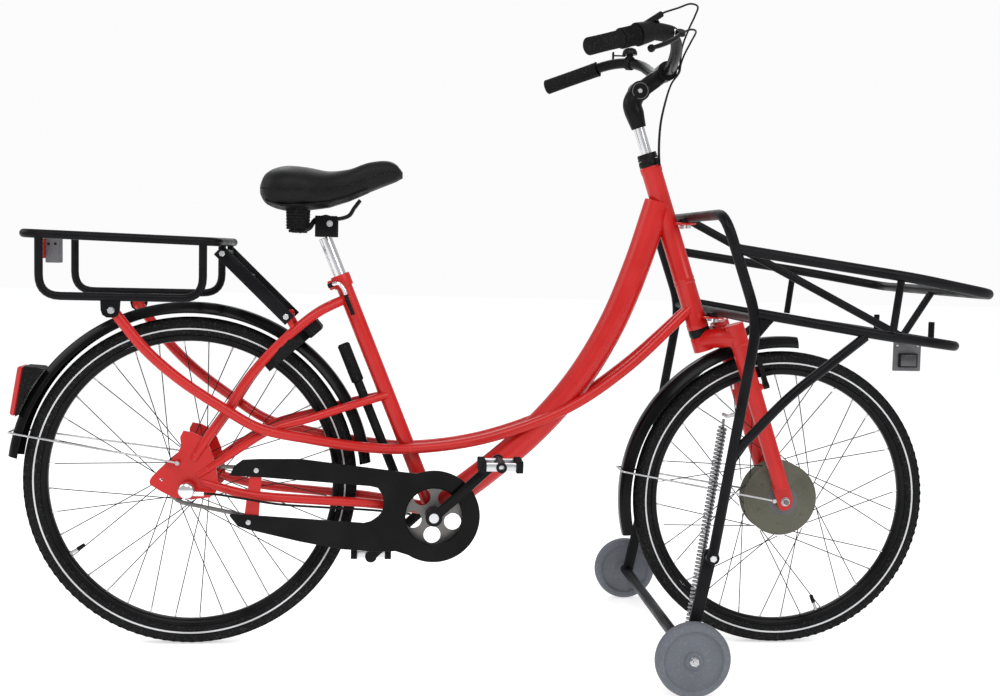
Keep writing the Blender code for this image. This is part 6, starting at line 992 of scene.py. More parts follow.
@dataclass
class Drive:
    """Chain, cranks, pedals and the guard over them."""

    links: int = 126
    chain_line: float = -0.0445
    ring_teeth: int = 38
    ring_windows: int = 5
    arm_line: float = 0.0838
    tread_line: float = 0.1386
    guard_radius: float = 0.0928
    guard: tuple[Pair, ...] = (
        (0.2206, 0.389), (0.14, 0.3882), (0.108, 0.3862), (0.092, 0.374), (0.0822, 0.3545),
        (0.14, 0.352), (0.284, 0.3414), (0.36, 0.3355), (0.3749, 0.332), (0.385, 0.316),
        (0.3874, 0.2992), (0.384, 0.285), (0.3759, 0.275), (0.362, 0.265), (0.3483, 0.2613),
        (0.2, 0.271), (0.086, 0.2785), (0.083, 0.2745), (0.0997, 0.2535), (0.12, 0.247),
        (0.2226, 0.2229), (0.3042, 0.2081), (0.37, 0.2035), (0.412, 0.2045),
    )

    def build(self) -> None:
        """Builds the whole drive."""
        self._chain()
        self._cranks()
        self._guard()
        for side, hand, axle in PEDAL_AXLES:
            self._pedal(side, hand, axle)

    def _chain(self) -> None:
        """Chain of roller links along the loop over both toothed wheels."""
        rear, lead = Vector((0.0, 0.332)), Vector(CRANK_AXLE)
        small, large = 0.0385, 0.0785
        span = lead - rear
        slant = math.atan2(span.y, span.x)
        open_angle = math.acos((small - large) / span.length)
        top, low = slant + open_angle, slant - open_angle
        way = [lead + Vector((math.cos(a), math.sin(a))) * large for a in spaced(low, top, 60)]
        way += [
            rear + Vector((math.cos(a), math.sin(a))) * small
            for a in spaced(top, low + math.tau, 36)
        ]
        links = evenly(way, self.links)
        shape = Shape("chain")
        for index, (start, end) in enumerate(zip(links, links[1:] + links[:1])):
            gap = 0.00315 if index % 2 else 0.0023
            ahead = Vector((end.x - start.x, 0.0, end.y - start.y))
            for hand in (-1, 1):
                middle = (start + end) / 2
                centre = at(middle.x, self.chain_line + hand * gap, middle.y)
                up = ahead.normalized().cross(SIDEWAYS) * -1.0
                shape.block(centre, (0.0164, 0.0009, 0.0072), DARK_STEEL, ahead, up, 0.0003)
            shape.rod(
                at(start.x, -0.0478, start.y), at(start.x, -0.0412, start.y), 0.0034, STEEL, 10
            )
        shape.place("bicycle", "chain_steel", crease=30)

    def _cranks(self) -> None:
        """Both cranks, the toothed wheel with its windows and the spindle."""
        right = Shape("right_crank")
        teeth = toothed(CRANK, 0.0775, self.ring_teeth, 0.0045)
        windows = []
        for index in range(self.ring_windows):
            turn = math.tau * index / self.ring_windows + 0.9
            x, z = CRANK_AXLE[0] + 0.042 * math.cos(turn), CRANK_AXLE[1] + 0.042 * math.sin(turn)
            windows.append(circle(x, z, 0.0172, 24))
        right.plate([teeth, *windows], -0.0461, -0.0433, DARK_STEEL)
        boss = [(0.0, -0.0355), (0.015, -0.0355), (0.0163, -0.037), (0.0163, -0.077), (0.0, -0.077)]
        right.lathe(boss, CRANK, SIDEWAYS, SATIN_BLACK, 40)
        right.crosswise(*CRANK_AXLE, -0.035, 0.03, 0.0084, STEEL)
        self._arm(right, *PEDAL_AXLES[0][1:])
        right.place("crank", "crank_alloy", edge=0.0005)
        left = Shape("left_crank")
        left.crosswise(*CRANK_AXLE, 0.0352, 0.0776, 0.0161, SATIN_BLACK)
        self._arm(left, *PEDAL_AXLES[1][1:])
        left.place("crank", "crank_alloy", edge=0.0005)

    def _arm(self, shape: Shape, hand: int, pedal: Pair) -> None:
        """Adds a crank arm with its bosses, bolt cap and pedal axle.

        Args: shape: the crank. hand: 1 for the left side, -1 for the right. pedal: where
            the pedal axle is.
        """
        near, far = hand * 0.0776, hand * 0.0898
        shape.crosswise(*CRANK_AXLE, near, far, 0.0168, SATIN_BLACK, 44)
        shape.crosswise(*CRANK_AXLE, far, hand * 0.0906, 0.0098, ALLOY, 30)
        shape.crosswise(*pedal, near, far, 0.0123, SATIN_BLACK, 36)
        middle = hand * self.arm_line
        start, end = beside(CRANK_AXLE, middle), beside(pedal, middle)
        shape.bar(start, end, 0.02, 0.0108, SATIN_BLACK, 0.0032)
        shape.crosswise(*pedal, middle, hand * 0.171, 0.0046, STEEL)

    def _pedal(self, side: str, hand: int, axle: Pair) -> None:
        """Pedal with two grooved treads between bright plates.

        Args: side: left or right. hand: 1 for the left side, -1 for the right. axle:
            where its axle is.
        """
        shape = Shape(f"{side}_pedal")
        x, z = axle
        near, far = hand * 0.0908, hand * 0.178
        shape.lathe(
            sleeve(0.0056, 0.0104, near, far, 0.0004, 0.001), at(x, 0.0, z), SIDEWAYS,
            PLASTIC_BLACK, 32,
        )
        for shift in (-0.036, 0.036):
            shape.block(
                at(x + shift, hand * self.tread_line, z), (0.0132, 0.0725, 0.017), PLASTIC_BLACK,
                soft=0.002,
            )
            for index in range(7):
                y = hand * (self.tread_line + (index - 3) * 0.0098)
                shape.block(at(x + shift, y, z), (0.0138, 0.0052, 0.0236), RUBBER, soft=0.0015)
        for y in (0.1082, 0.1654):
            shape.block(at(x, hand * y, z), (0.06, 0.013, 0.016), ALLOY, soft=0.0025)
        shape.place(f"{side}_pedal", "black_plastic")

    def _guard(self) -> None:
        """Flat guard with its round window, raised lips and two screws."""
        shape = Shape("chain_guard")
        start, end = math.radians(-122), math.radians(112)
        (x, z), reach = CRANK_AXLE, self.guard_radius
        disc = [(x + reach * math.cos(a), z + reach * math.sin(a)) for a in spaced(start, end, 48)]
        shape.plate(
            [disc + list(self.guard), circle(*CRANK_AXLE, 0.059, 64)], -0.0713, -0.0671, GUARD_BLACK
        )
        lip = [at(x, -0.0692, z) for x, z in circle(*CRANK_AXLE, 0.0585, 64)]
        shape.pipe(lip, 0.0022, GUARD_BLACK, 10, closed=True)
        for x, z in ((0.135, 0.3654), (0.1203, 0.2616)):
            shape.crosswise(x, z, -0.0739, -0.07, 0.0053, STEEL, 24)
        shape.place("bicycle", "guard_plastic", edge=0.0009, crease=50)


def spaced(start: float, end: float, count: int) -> list[float]:
    """Returns count values from start to end, both included."""
    return [start + (end - start) * i / (count - 1) for i in range(count)]


def evenly(way: list[Vector], count: int) -> list[Vector]:
    """Spreads points at equal steps round a flat way.

    Args: way: its corners, taken round to the first again. count: how many points.
    Returns: the points.
    """
    ring = closed(way)
    total = sum((b - a).length for a, b in zip(ring, ring[1:]))
    step, gone, found = total / count, 0.0, []
    for a, b in zip(ring, ring[1:]):
        leg = (b - a).length
        while leg > 1e-9 and len(found) < count and len(found) * step <= gone + leg:
            found.append(a.lerp(b, (len(found) * step - gone) / leg))
        gone += leg
    return found


@dataclass
class Carriers:
    """The rack over the rear wheel and the carrier in front of the head tube."""

    tube: float = 0.0098
    half_width: float = 0.332
    rack_half: float = 0.1495
    rack_back: float = -0.297
    rack_front: float = 0.066
    rack_height: float = 0.8224
    rack_fall: float = 0.0242

    def build(self) -> None:
        """Builds both carriers and what hangs on them."""
        self._rear_rack()
        self._strut()
        self._front()
        self._lamp_plate()

    def _rear_rack(self) -> None:
        """Top ring, three cross rods, a hanging loop each side and the reflector's bracket."""
        rack = Shape("rear_rack")
        half, back, front = self.rack_half, self.rack_back, self.rack_front
        corners = [
            (back, 0.0), (back, half), (front, half), (front, -half), (back, -half), (back, 0.0)
        ]
        ring = [at(x, y, self._high(x)) for x, y in corners]
        rack.pipe(cornered(ring, 0.03)[:-1], 0.0083, POWDER_BLACK, 24, closed=True)
        for x in (-0.215, -0.105, 0.005):
            rack.crosswise(x, self._high(x), -half, half, 0.0066, POWDER_BLACK)
        for hand in (-1, 1):
            y = hand * half
            loop = [
                at(-0.264, y, 0.8216), at(-0.264, y, 0.706), at(0.039, y, 0.706),
                at(0.039, y, 0.8143),
            ]
            rack.pipe(cornered(loop, 0.04), 0.0078, POWDER_BLACK, 24)
            plate = [
                (-0.151, 0.7065), (-0.15, 0.681), (-0.147, 0.672), (-0.139, 0.667), (-0.125, 0.667),
                (-0.118, 0.672), (-0.115, 0.681), (-0.113, 0.7065),
            ]
            near, far = (-0.1515, -0.1476) if hand < 0 else (0.1476, 0.1515)
            rack.plate([plate], near, far, POWDER_BLACK)
            rack.crosswise(*RACK_BOLT, hand * 0.15, hand * 0.1565, 0.0066, ALLOY, 6)
            rack.crosswise(*RACK_BOLT, hand * 0.15, hand * 0.1522, 0.0067, ALLOY, 36)
            rack.block(at(front, hand * 0.0642, 0.8026), (0.0115, 0.0095, 0.0215), POWDER_BLACK)
        rack.crosswise(front, 0.7915, -0.072, 0.072, 0.0078, POWDER_BLACK)
        rack.block(at(-0.271, 0.0, 0.7944), (0.0275, 0.0295, 0.0575), PLATE_GREY, soft=0.002)
        rack.block(at(-0.284, 0.0, 0.8202), (0.0255, 0.0255, 0.0036), PLATE_GREY)
        for x, z in ((-0.278, 0.803), (-0.265, 0.803)):
            rack.crosswise(x, z, -0.0172, -0.0148, 0.0026, SATIN_BLACK, 16)
        rack.place("bicycle", "rack_paint")
        glow = Shape("rear_reflector")
        low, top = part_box("rear_reflector")
        glow.block((low + top) / 2, tuple((top - low) * 0.985), RED_LENS, soft=0.003)
        glow.place("bicycle", "red_lens")

    def _high(self, x: float) -> float:
        """Returns how high the sloping top of the rear rack is at x."""
        return self.rack_height - (x - self.rack_back) * self.rack_fall

    def _strut(self) -> None:
        """Two flat struts from the seat stays up to the rack, with bolts."""
        strut = Shape("rear_rack_strut")
        for hand in (-1, 1):
            y = hand * 0.0745
            strut.bar(
                at(0.0585, y, 0.7988), at(0.1975, y, 0.6632), 0.0255, 0.0038, POWDER_BLACK, 0.0015
            )
            for x, z in ((self.rack_front, 0.7915), STRUT_BOLT):
                strut.crosswise(x, z, hand * 0.0762, hand * 0.0803, 0.0063, ALLOY, 6)
        strut.crosswise(0.1131, 0.7455, -0.0755, 0.0755, 0.0053, POWDER_BLACK)
        strut.place("bicycle", "rack_paint", edge=0.0006)

    def _front(self) -> None:
        """Upright hoop, two loops, posts, braces and the pivots of the stand."""
        carrier = Shape("front_rack")
        wide = self.half_width
        hoop = [(0.9921, wide, 0.253), (1.0611, wide, 0.6897), (0.9937, wide, 0.8845)]
        carrier.pipe(cornered(spanning(hoop), 0.048), self.tube, POWDER_BLACK, 28)
        loops = (
            ([(1.0191, wide, 0.8217), (1.3601, wide, 0.7747), (1.5261, 0.288, 0.7467)], self.tube),
            ([(1.0591, wide, 0.7057), (1.2991, wide, 0.6687), (1.4641, 0.288, 0.6477)], 0.0093),
        )
        for way, thick in loops:
            carrier.pipe(cornered(spanning(way), 0.04), thick, POWDER_BLACK, 28)
        rods = (
            ((1.0577, -wide, 0.6945), (1.0577, wide, 0.6945), 0.0088),
            ((1.5261, 0.0, 0.7467), (1.4641, 0.0, 0.6477), 0.0073),
            ((0.9937, 0.0, 0.8845), (1.4641, 0.0, 0.6477), 0.0083),
        )
        for start, end, thick in rods:
            carrier.rod(at(*start), at(*end), thick, POWDER_BLACK)
        for x, z in ((0.9947, 0.879), (1.0587, 0.689)):
            carrier.block(at(x, 0.0, z), (0.0295, 0.0835, 0.0086), POWDER_BLACK, soft=0.002)
            for y in (-0.03, 0.03):
                carrier.rod(at(x, y, z + 0.004), at(x, y, z + 0.0118), 0.0056, ALLOY, 6)
        for hand in (-1, 1):
            self._front_side(carrier, hand * wide, hand)
        hook = [at(1.0349, -wide, 0.5237), at(1.0141, -0.32, 0.5147), at(1.0141, -0.2895, 0.5147)]
        carrier.pipe(cornered(hook, 0.01), 0.0034, STEEL, 16)
        carrier.place("bicycle", "rack_paint")

    def _front_side(self, carrier: Shape, y: float, hand: int) -> None:
        """Adds one side's post, brace, corner plates, upright peg and stand pivot.

        Args: carrier: the front carrier. y: where its side is. hand: 1 for the left
            side, -1 for the right.
        """
        carrier.rod(at(1.3271, y, 0.7707), at(1.3161, y, 0.6787), 0.007, POWDER_BLACK)
        brace = cornered(
            [at(1.2641, y, 0.6667), at(1.1211, y, 0.5517), at(1.0271, y, 0.4487)], 0.05
        )
        carrier.pipe(brace, 0.0088, POWDER_BLACK, 24)
        near, far = y - 0.0019, y + 0.0019
        upper = [(1.0595, 0.705), (1.098, 0.699), (1.085, 0.686), (1.064, 0.66), (1.0575, 0.665)]
        lower = [
            (1.0355, 0.4735), (1.0492, 0.4749), (1.0625, 0.486), (1.0505, 0.462), (1.0218, 0.42)
        ]
        for outline in (upper, lower):
            carrier.plate([outline], near, far, POWDER_BLACK)
        carrier.rod(
            at(1.4641, hand * 0.15, 0.6477), at(1.4641, hand * 0.15, 0.6873), 0.006, POWDER_BLACK
        )
        carrier.crosswise(*STAND_PIVOT, hand * 0.3262, hand * 0.3378, 0.0123, POWDER_BLACK, 36)
        carrier.crosswise(*STAND_PIVOT, hand * 0.3378, hand * 0.3418, 0.0068, ALLOY, 6)
        carrier.crosswise(*STAND_PIVOT, hand * 0.3098, hand * 0.327, 0.0049, STEEL)

    def _lamp_plate(self) -> None:
        """Grey plate under the carrier with its dark reflector and rivets."""
        plate = Shape("front_lamp_plate")
        plate.block(at(1.4761, 0.0, 0.6069), (0.0595, 0.0048, 0.0615), PLATE_GREY, soft=0.0015)
        plate.block(
            at(1.4761, -0.0072, 0.5989), (0.0395, 0.0098, 0.0295), PLASTIC_BLACK, soft=0.002
        )
        plate.block(at(1.4761, -0.011, 0.5989), (0.034, 0.0026, 0.024), DARK_LENS, soft=0.001)
        for x in (1.4541, 1.4981):
            plate.crosswise(x, 0.6295, -0.004, 0.0022, 0.0028, ALLOY, 20)
        plate.place("bicycle", "grey_plastic")


@dataclass
class Covers:
    """Mudguards, their wires, the tail light, pump and gear box at the rear."""

    half_width: float = 0.0288
    wall: float = 0.0016

    def build(self) -> None:
        """Builds the mudguards and the small parts beside them."""
        self._mudguard("rear", "bicycle", REAR_HUB, 0.363, Vector((-0.991, 0.0, 0.134)), 2.89027)
        self._mudguard(
            "front", "steering", FRONT_HUB, 0.339, Vector((-0.9703, 0.0, -0.2419)), 1.89368
        )
        self._wire("rear", "bicycle", (-0.0174, 0.0759, 0.3796), (-0.353, 0.034, 0.4299), 0.0738)
        self._wire("front", "steering", (1.186, 0.0579, 0.309), (0.8724, 0.034, 0.3635), 0.0558)
        self._lamp()
        self._pump()
        self._shift_box()

    def _mudguard(
        self, side: str, body: str, centre: Vector, crown: float, start: Vector, sweep: float
    ) -> None:
        """Domed mudguard with two ribs and rolled edges.

        Args: side: rear or front. body: what it rides on. centre: of its wheel. crown:
            its outer radius. start, sweep: where it begins and how far it turns.
        """
        outer = []
        for index in range(41):
            share = index / 20 - 1.0
            rib = 0.0007 * math.exp(-(((abs(share) - 0.42) / 0.07) ** 2))
            outer.append((
                crown - 0.0012 - 0.0205 * abs(share) ** 3.0 + rib, self.half_width * share
            ))
        inner = [(r - self.wall, a * 0.965) for r, a in reversed(outer)]
        shape = Shape(f"{side}_mudguard")
        shape.lathe([*outer, *inner], centre, SIDEWAYS, GUARD_BLACK, 110, start, sweep)
        shape.place(body, "mudguard_plastic", crease=60)

    def _wire(self, side: str, body: str, eye: Place, back: Place, inside: float) -> None:
        """Wire stay from both eyes round behind the mudguard.

        Args: side: rear or front. body: what it rides on. eye, back: its eye and its
            back corner on the left side. inside: how far out the eyes begin.
        """
        shape = Shape(f"{side}_mudguard_stay")
        shape.pipe(cornered(spanning([eye, back]), 0.009), 0.002, STEEL, 14)
        for hand in (-1, 1):
            shape.crosswise(
                eye[0], eye[2], hand * inside, hand * (inside + 0.0078), 0.0044, STEEL, 24
            )
        shape.place(body, "bare_steel")

    def _lamp(self) -> None:
        """Finishes of the tail light and the raised band on its lens."""
        for node, finish in (("tail_light_body", PLASTIC_BLACK), ("tail_light_lens", RED_LENS)):
            repaint(node, finish)
        shape = Shape("tail_light_trim", ())
        low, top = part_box("tail_light_lens")
        middle = (low + top) / 2
        band = Vector((middle.x - 0.0036, 0.0, low.z + 0.026))
        ahead, up = Vector((0.986, 0.0, -0.165)), Vector((0.165, 0.0, 0.986))
        shape.block(band, (0.006, 0.05, 0.042), RED_LENS, ahead, up, 0.002)
        shape.place("bicycle", "red_lens")

    def _pump(self) -> None:
        """Pump with a ribbed handle, barrel and end cap."""
        shape = Shape("pump")
        shape.rod(at(0.4231, 0.0, 0.3136), at(0.3294, 0.0, 0.5418), 0.0094, PLASTIC_BLACK, 32)
        start, end = at(0.3312, 0.0, 0.5375), at(0.2997, 0.0, 0.6143)
        length = (end - start).length
        profile = [(0.0, 0.0), (0.0095, 0.0), (0.0118, 0.002)]
        for index in range(1, 52):
            profile.append((
                0.0124 + (0.0005 if index % 2 else 0.0), 0.002 + (length - 0.006) * index / 52
            ))
        profile += [(0.0124, length - 0.003), (0.0095, length), (0.0, length)]
        shape.lathe(profile, start, end - start, RUBBER, 32)
        shape.place("bicycle", "black_plastic", crease=60)

    def _shift_box(self) -> None:
        """Bright cap of the gear hub with its cable barrel and the cable."""
        shape = Shape("shift_box")
        near, far = -0.0756, -0.1012
        cap = [
            (0.0, near), (0.0162, near), (0.0162, -0.093), (0.015, -0.0975), (0.012, -0.1002),
            (0.0, far),
        ]
        shape.lathe(cap, at(0.002, 0.0, 0.328), SIDEWAYS, POLISHED, 48)
        shape.rod(at(0.012, -0.0864, 0.3216), at(0.036, -0.0864, 0.321), 0.0053, POLISHED)
        shape.place("bicycle", "hub_silver")
        cable = Shape("shift_cable")
        way = [
            (0.0363, -0.0864, 0.321), (0.0563, -0.0854, 0.32), (0.1113, -0.0824, 0.311),
            (0.1763, -0.0684, 0.298), (0.2563, -0.0524, 0.2895), (0.3663, -0.0389, 0.281),
            (0.4413, -0.0254, 0.271),
        ]
        cable.pipe(flowing(route(way)), 0.0023, CABLE_BLACK, 14)
        cable.place("bicycle", "cable_sleeve")


def repaint(node: str, finish: Finish) -> None:
    """Gives a solid that is shown as it is its finish.

    Args: node: the solid's name. finish: its surface.
    """
    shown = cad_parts[node]
    shown.data.materials.clear()
    shown.data.materials.append(finish.material())
    log.info("%s: shown as it is in %s", node, finish.name)


@dataclass
class ForkSet:
    """Fork with its crown, tapered blades and dropouts, and the brake arms."""

    spread: float = 0.06

    def build(self) -> None:
        """Builds the fork and finishes the brake arms."""
        shape = Shape("fork")
        steerer = [
            (0.0118, 0.374), (0.0148, 0.374), (0.0148, -0.0171), (0.0205, -0.0175), (0.0222, -0.02),
            (0.0222, -0.048), (0.018, -0.0485), (0.0118, -0.0485), (0.0118, 0.374),
        ]
        shape.lathe(steerer, HEAD, STEER_UP, RED_PAINT, 48)
        for hand in (-1, 1):
            crown = [
                (1.0377, 0.0, 0.6331), (1.0585, 0.027, 0.6401), (1.0811, 0.0516, 0.6435),
                (1.0965, 0.06, 0.6444),
            ]
            shape.pipe(flowing(route(crown, hand)), 0.0203, RED_PAINT, 32)
            side = hand * self.spread
            top, foot = at(1.0885, side, 0.6681), at(1.2001, side, 0.3364)
            shape.rod(top, foot, 0.0174, RED_PAINT, 40, 0.016)
            shape.rod(at(1.1012, side, 0.6302), at(1.0875, side, 0.6709), 0.0198, RED_PAINT, 40)
            shape.lathe(bead(0.0176, 0.002), at(1.1016, side, 0.629), STEER_UP, RED_WELD, 40)
            tip = [
                (1.1809, 0.3425), (1.2119, 0.353), (1.22, 0.333), (1.2256, 0.3123), (1.225, 0.301),
                (1.219, 0.292), (1.211, 0.2885), (1.204, 0.288), (1.198, 0.293), (1.1944, 0.3017),
            ]
            near, far = (-0.0553, -0.0497) if hand < 0 else (0.0497, 0.0553)
            shape.plate([tip, circle(1.21, 0.307, 0.006, 20)], near, far, RED_PAINT)
            shape.rod(
                at(1.1369, hand * 0.051, 0.5367), at(1.155, hand * 0.041, 0.5428), 0.0073,
                RED_PAINT, 28,
            )
        shape.block(
            at(1.0756, 0.0, 0.6585), (0.0255, 0.0295, 0.0295), RED_PAINT, STEER_AHEAD, STEER_UP,
            0.003,
        )
        shape.rod(at(1.09, 0.0, 0.6633), at(1.093, 0.0, 0.6643), 0.0052, ALLOY, 6)
        shape.place("steering", "frame_paint")
        for node in ("front_brake_left_arm", "front_brake_right_arm"):
            repaint(node, SATIN_BLACK)


@dataclass
class Cockpit:
    """Stem, handlebar, grips, levers, bell and the cables in front of them."""

    bar: tuple[Place, ...] = (
        (0.74, 0.311, 1.1785), (0.866, 0.236, 1.2215), (0.906, 0.205, 1.2225),
        (0.927, 0.172, 1.2125), (0.9345, 0.14, 1.2), (0.9385, 0.1, 1.1875), (0.9425, 0.062, 1.18),
        (0.944, 0.032, 1.179), (0.944, 0.0, 1.179),
    )
    bell: Pair = (0.906, 0.205)

    def build(self) -> None:
        """Builds everything on the stem."""
        self._stem()
        self._bar()
        self._grips()
        self._controls()
        self._bell()
        self._cables()

    def _stem(self) -> None:
        """Bright quill with its black elbow, and the tilting arm with a grey pivot ring."""
        quill = Shape("quill_stem")
        quill.rod(at(0.9318, 0.0, 0.9477), at(0.89, 0.0, 1.072), 0.011, POLISHED, 40)
        bend = [
            (0.8926, 0.0, 1.0643), (0.884, 0.0, 1.0899), (0.8776, 0.0, 1.112),
            (0.8835, 0.0, 1.1288), (0.89, 0.0, 1.1377),
        ]
        elbow = flowing(route(bend))
        radii = [0.015 + 0.0043 * min(1.0, i / 9) for i in range(len(elbow))]
        quill.pipe(elbow, radii, SATIN_BLACK, 36)
        quill.lathe(
            sleeve(0.0056, 0.0203, -0.0094, 0.0094, 0.0007, 0.0008), STEM_PIVOT, SIDEWAYS,
            SATIN_BLACK, 48,
        )
        quill.place("steering", "black_paint")
        arm = Shape("stem_extension")
        for hand in (-1, 1):
            cheek = [
                (0.0052, 0.0098), (0.0195, 0.0098), (0.0203, 0.0106), (0.0203, 0.0178),
                (0.019, 0.0186), (0.009, 0.0186), (0.0052, 0.018), (0.0052, 0.0098),
            ]
            arm.lathe(handed(cheek, hand), STEM_PIVOT, SIDEWAYS, SATIN_BLACK, 48)
            ring = [(0.015, 0.0185), (0.0158, 0.0189), (0.0166, 0.0187)]
            arm.lathe(handed(ring, hand), STEM_PIVOT, SIDEWAYS, PLATE_GREY, 40)
        arm.crosswise(0.89, 1.1377, -0.0195, 0.0195, 0.0048, ALLOY)
        arm.bar(at(0.908, 0.0, 1.1514), at(0.94, 0.0, 1.1759), 0.033, 0.029, SATIN_BLACK, 0.008)
        for hand in (-1, 1):
            start, end = at(0.8916, hand * 0.0138, 1.1389), at(0.922, hand * 0.0138, 1.1622)
            arm.bar(start, end, 0.033, 0.0078, SATIN_BLACK, 0.003)
        clamp = sleeve(0.0116, 0.0199, -0.0208, 0.0208, 0.0009, 0.001)
        arm.lathe(clamp, at(0.944, 0.0, 1.179), SIDEWAYS, SATIN_BLACK, 48)
        ahead, up = Vector((0.7943, 0.0, 0.6075)), Vector((-0.6075, 0.0, 0.7943))
        arm.block(at(0.9599, 0.0, 1.1911), (0.0115, 0.0355, 0.0215), SATIN_BLACK, ahead, up, 0.003)
        for y in (-0.012, 0.012):
            start = at(0.964, y, 1.1942)
            arm.rod(start, start + ahead * 0.003, 0.0034, STEEL, 18)
        arm.place("stem", "black_paint")

    def _bar(self) -> None:
        """Swept handlebar tube."""
        shape = Shape("handlebar")
        half = route(self.bar)
        whole = half + [Vector((p.x, -p.y, p.z)) for p in reversed(half[:-1])]
        shape.pipe(flowing(whole), 0.0111, SATIN_BLACK, 32)
        shape.place("stem", "black_paint")

    def _grips(self) -> None:
        """Ribbed grips and the ribbed twist sleeve."""
        for side, start, end in (
            ("right", (0.8025, -0.2738, 1.1998), (0.7382, -0.3121, 1.1779)),
            ("left", (0.8429, 0.2497, 1.2136), (0.7382, 0.3121, 1.1779)),
        ):
            self._ribbed(f"{side}_grip", at(*start), at(*end), 0.0158, 0.0165, 34, side)
        self._ribbed(
            "shifter_sleeve", at(0.803, -0.2735, 1.2), at(0.8343, -0.2548, 1.2107), 0.0178, 0.0196,
            14, "",
        )

    def _ribbed(
        self, node: str, start: Vector, end: Vector, low: float, high: float, ribs: int, side: str
    ) -> None:
        """Builds one ribbed rubber sleeve on the bar.

        Args: node: the solid that it stands for. start, end: its ends. low, high: its
            radii between and on the ribs. ribs: their count. side: left or right for a
            grip, empty for the twist sleeve.
        """
        length = (end - start).length
        flare = 0.0022 if side == "left" else 0.0
        profile = [(0.0123, 0.0), (low - 0.001 + flare, 0.0), (high - 0.0004, 0.0012)]
        for index in range(ribs * 4 + 1):
            share = index / (ribs * 4)
            swell = 0.5 + 0.5 * math.cos(math.tau * index / 4)
            body = low + (high - low) * swell * 0.8 - 0.0004 * math.sin(math.pi * share)
            profile.append((body, 0.0022 + (length - 0.0044) * share))
        profile += [(high - 0.0004, length - 0.0012), (low - 0.001, length)]
        cap = [(0.0, length)] if side else [(0.0123, length), (0.0123, 0.0)]
        shape = Shape(node)
        shape.lathe(profile + cap, start, end - start, RUBBER, 44)
        body = "stem" if side else "shifter"
        shape.place(body, "grip_rubber", crease=75)

    def _controls(self) -> None:
        """Shifter housing with its cable barrel, the bright perch and the brake lever."""
        box = Shape("control_housing")
        way = [
            (0.8381, -0.2526, 1.212), (0.866, -0.236, 1.2215), (0.906, -0.205, 1.2225),
            (0.9128, -0.1978, 1.2215),
        ]
        box.pipe(flowing(route(way)), 0.0166, PLASTIC_BLACK, 32)
        box.rod(
            at(0.8645, -0.2369, 1.221), at(0.836, -0.2539, 1.2113), 0.019, PLASTIC_BLACK, 40, 0.022
        )
        box.bar(
            at(0.906, -0.205, 1.2225), at(0.919, -0.2173, 1.2225), 0.0155, 0.0118, POLISHED, 0.003
        )
        box.rod(at(0.8478, -0.2468, 1.2283), at(0.8874, -0.2232, 1.2558), 0.006, PLASTIC_BLACK, 28)
        box.rod(at(0.9168, -0.2153, 1.2225), at(0.9339, -0.1922, 1.2285), 0.0046, POLISHED, 24)
        box.rod(at(0.873, -0.2318, 1.2385), at(0.8748, -0.2308, 1.242), 0.009, SATIN_BLACK, 28)
        box.place("stem", "black_plastic")
        lever = Shape("brake_lever")
        lever.rod(at(0.9252, -0.2254, 1.2262), at(0.9244, -0.2204, 1.2188), 0.0093, SATIN_BLACK, 32)
        way = [
            (0.9248, -0.2229, 1.2225), (0.912, -0.2442, 1.2096), (0.8875, -0.2698, 1.1949),
            (0.855, -0.296, 1.1806),
        ]
        blade = flowing(route(way))
        radii = [
            0.004 + 0.0006 * math.sin(math.pi * i / (len(blade) - 1)) for i in range(len(blade))
        ]
        lever.pipe(blade, radii, SATIN_BLACK, 22)
        ball = [
            (0.0, 0.0), (0.004, 0.0005), (0.0068, 0.003), (0.0074, 0.006), (0.0068, 0.009),
            (0.004, 0.0112), (0.0, 0.0118),
        ]
        start, end = at(0.8603, -0.2912, 1.1836), at(0.8525, -0.2987, 1.179)
        lever.lathe(ball, start, end - start, SATIN_BLACK, 28)
        lever.place("brake_lever", "black_paint")

    def _bell(self) -> None:
        """Domed bell on its band, with the striker's lever."""
        bell = Shape("bell")
        x, y = self.bell
        band = sleeve(0.0116, 0.0148, -0.0068, 0.0068, 0.0005, 0.0008)
        along = at(0.9012, 0.21, 1.2232) - at(0.9108, 0.2, 1.2218)
        bell.lathe(band, at(x, y, 1.2225), along, PLASTIC_BLACK, 36)
        bell.rod(at(x, y, 1.235), at(x, y, 1.2415), 0.0073, PLASTIC_BLACK, 28)
        dome = [
            (0.0, 0.0), (0.0158, 0.0), (0.0163, 0.0008), (0.0163, 0.003), (0.0155, 0.0075),
            (0.013, 0.012), (0.008, 0.015), (0.0, 0.0159),
        ]
        bell.lathe(dome, at(x, y, 1.2406), UPWARD, SATIN_BLACK, 44)
        bell.place("stem", "black_plastic")
        striker = Shape("bell_lever")
        striker.rod(at(0.8927, y, 1.2366), at(0.8927, y, 1.24), 0.0049, PLASTIC_BLACK)
        striker.bar(
            at(0.8927, y, 1.2383), at(0.8687, 0.201, 1.2373), 0.0028, 0.0058, PLASTIC_BLACK, 0.0008
        )
        striker.block(at(0.8687, 0.201, 1.2373), (0.0038, 0.0098, 0.0156), RUBBER, soft=0.0012)
        striker.place("bell_lever", "black_plastic")

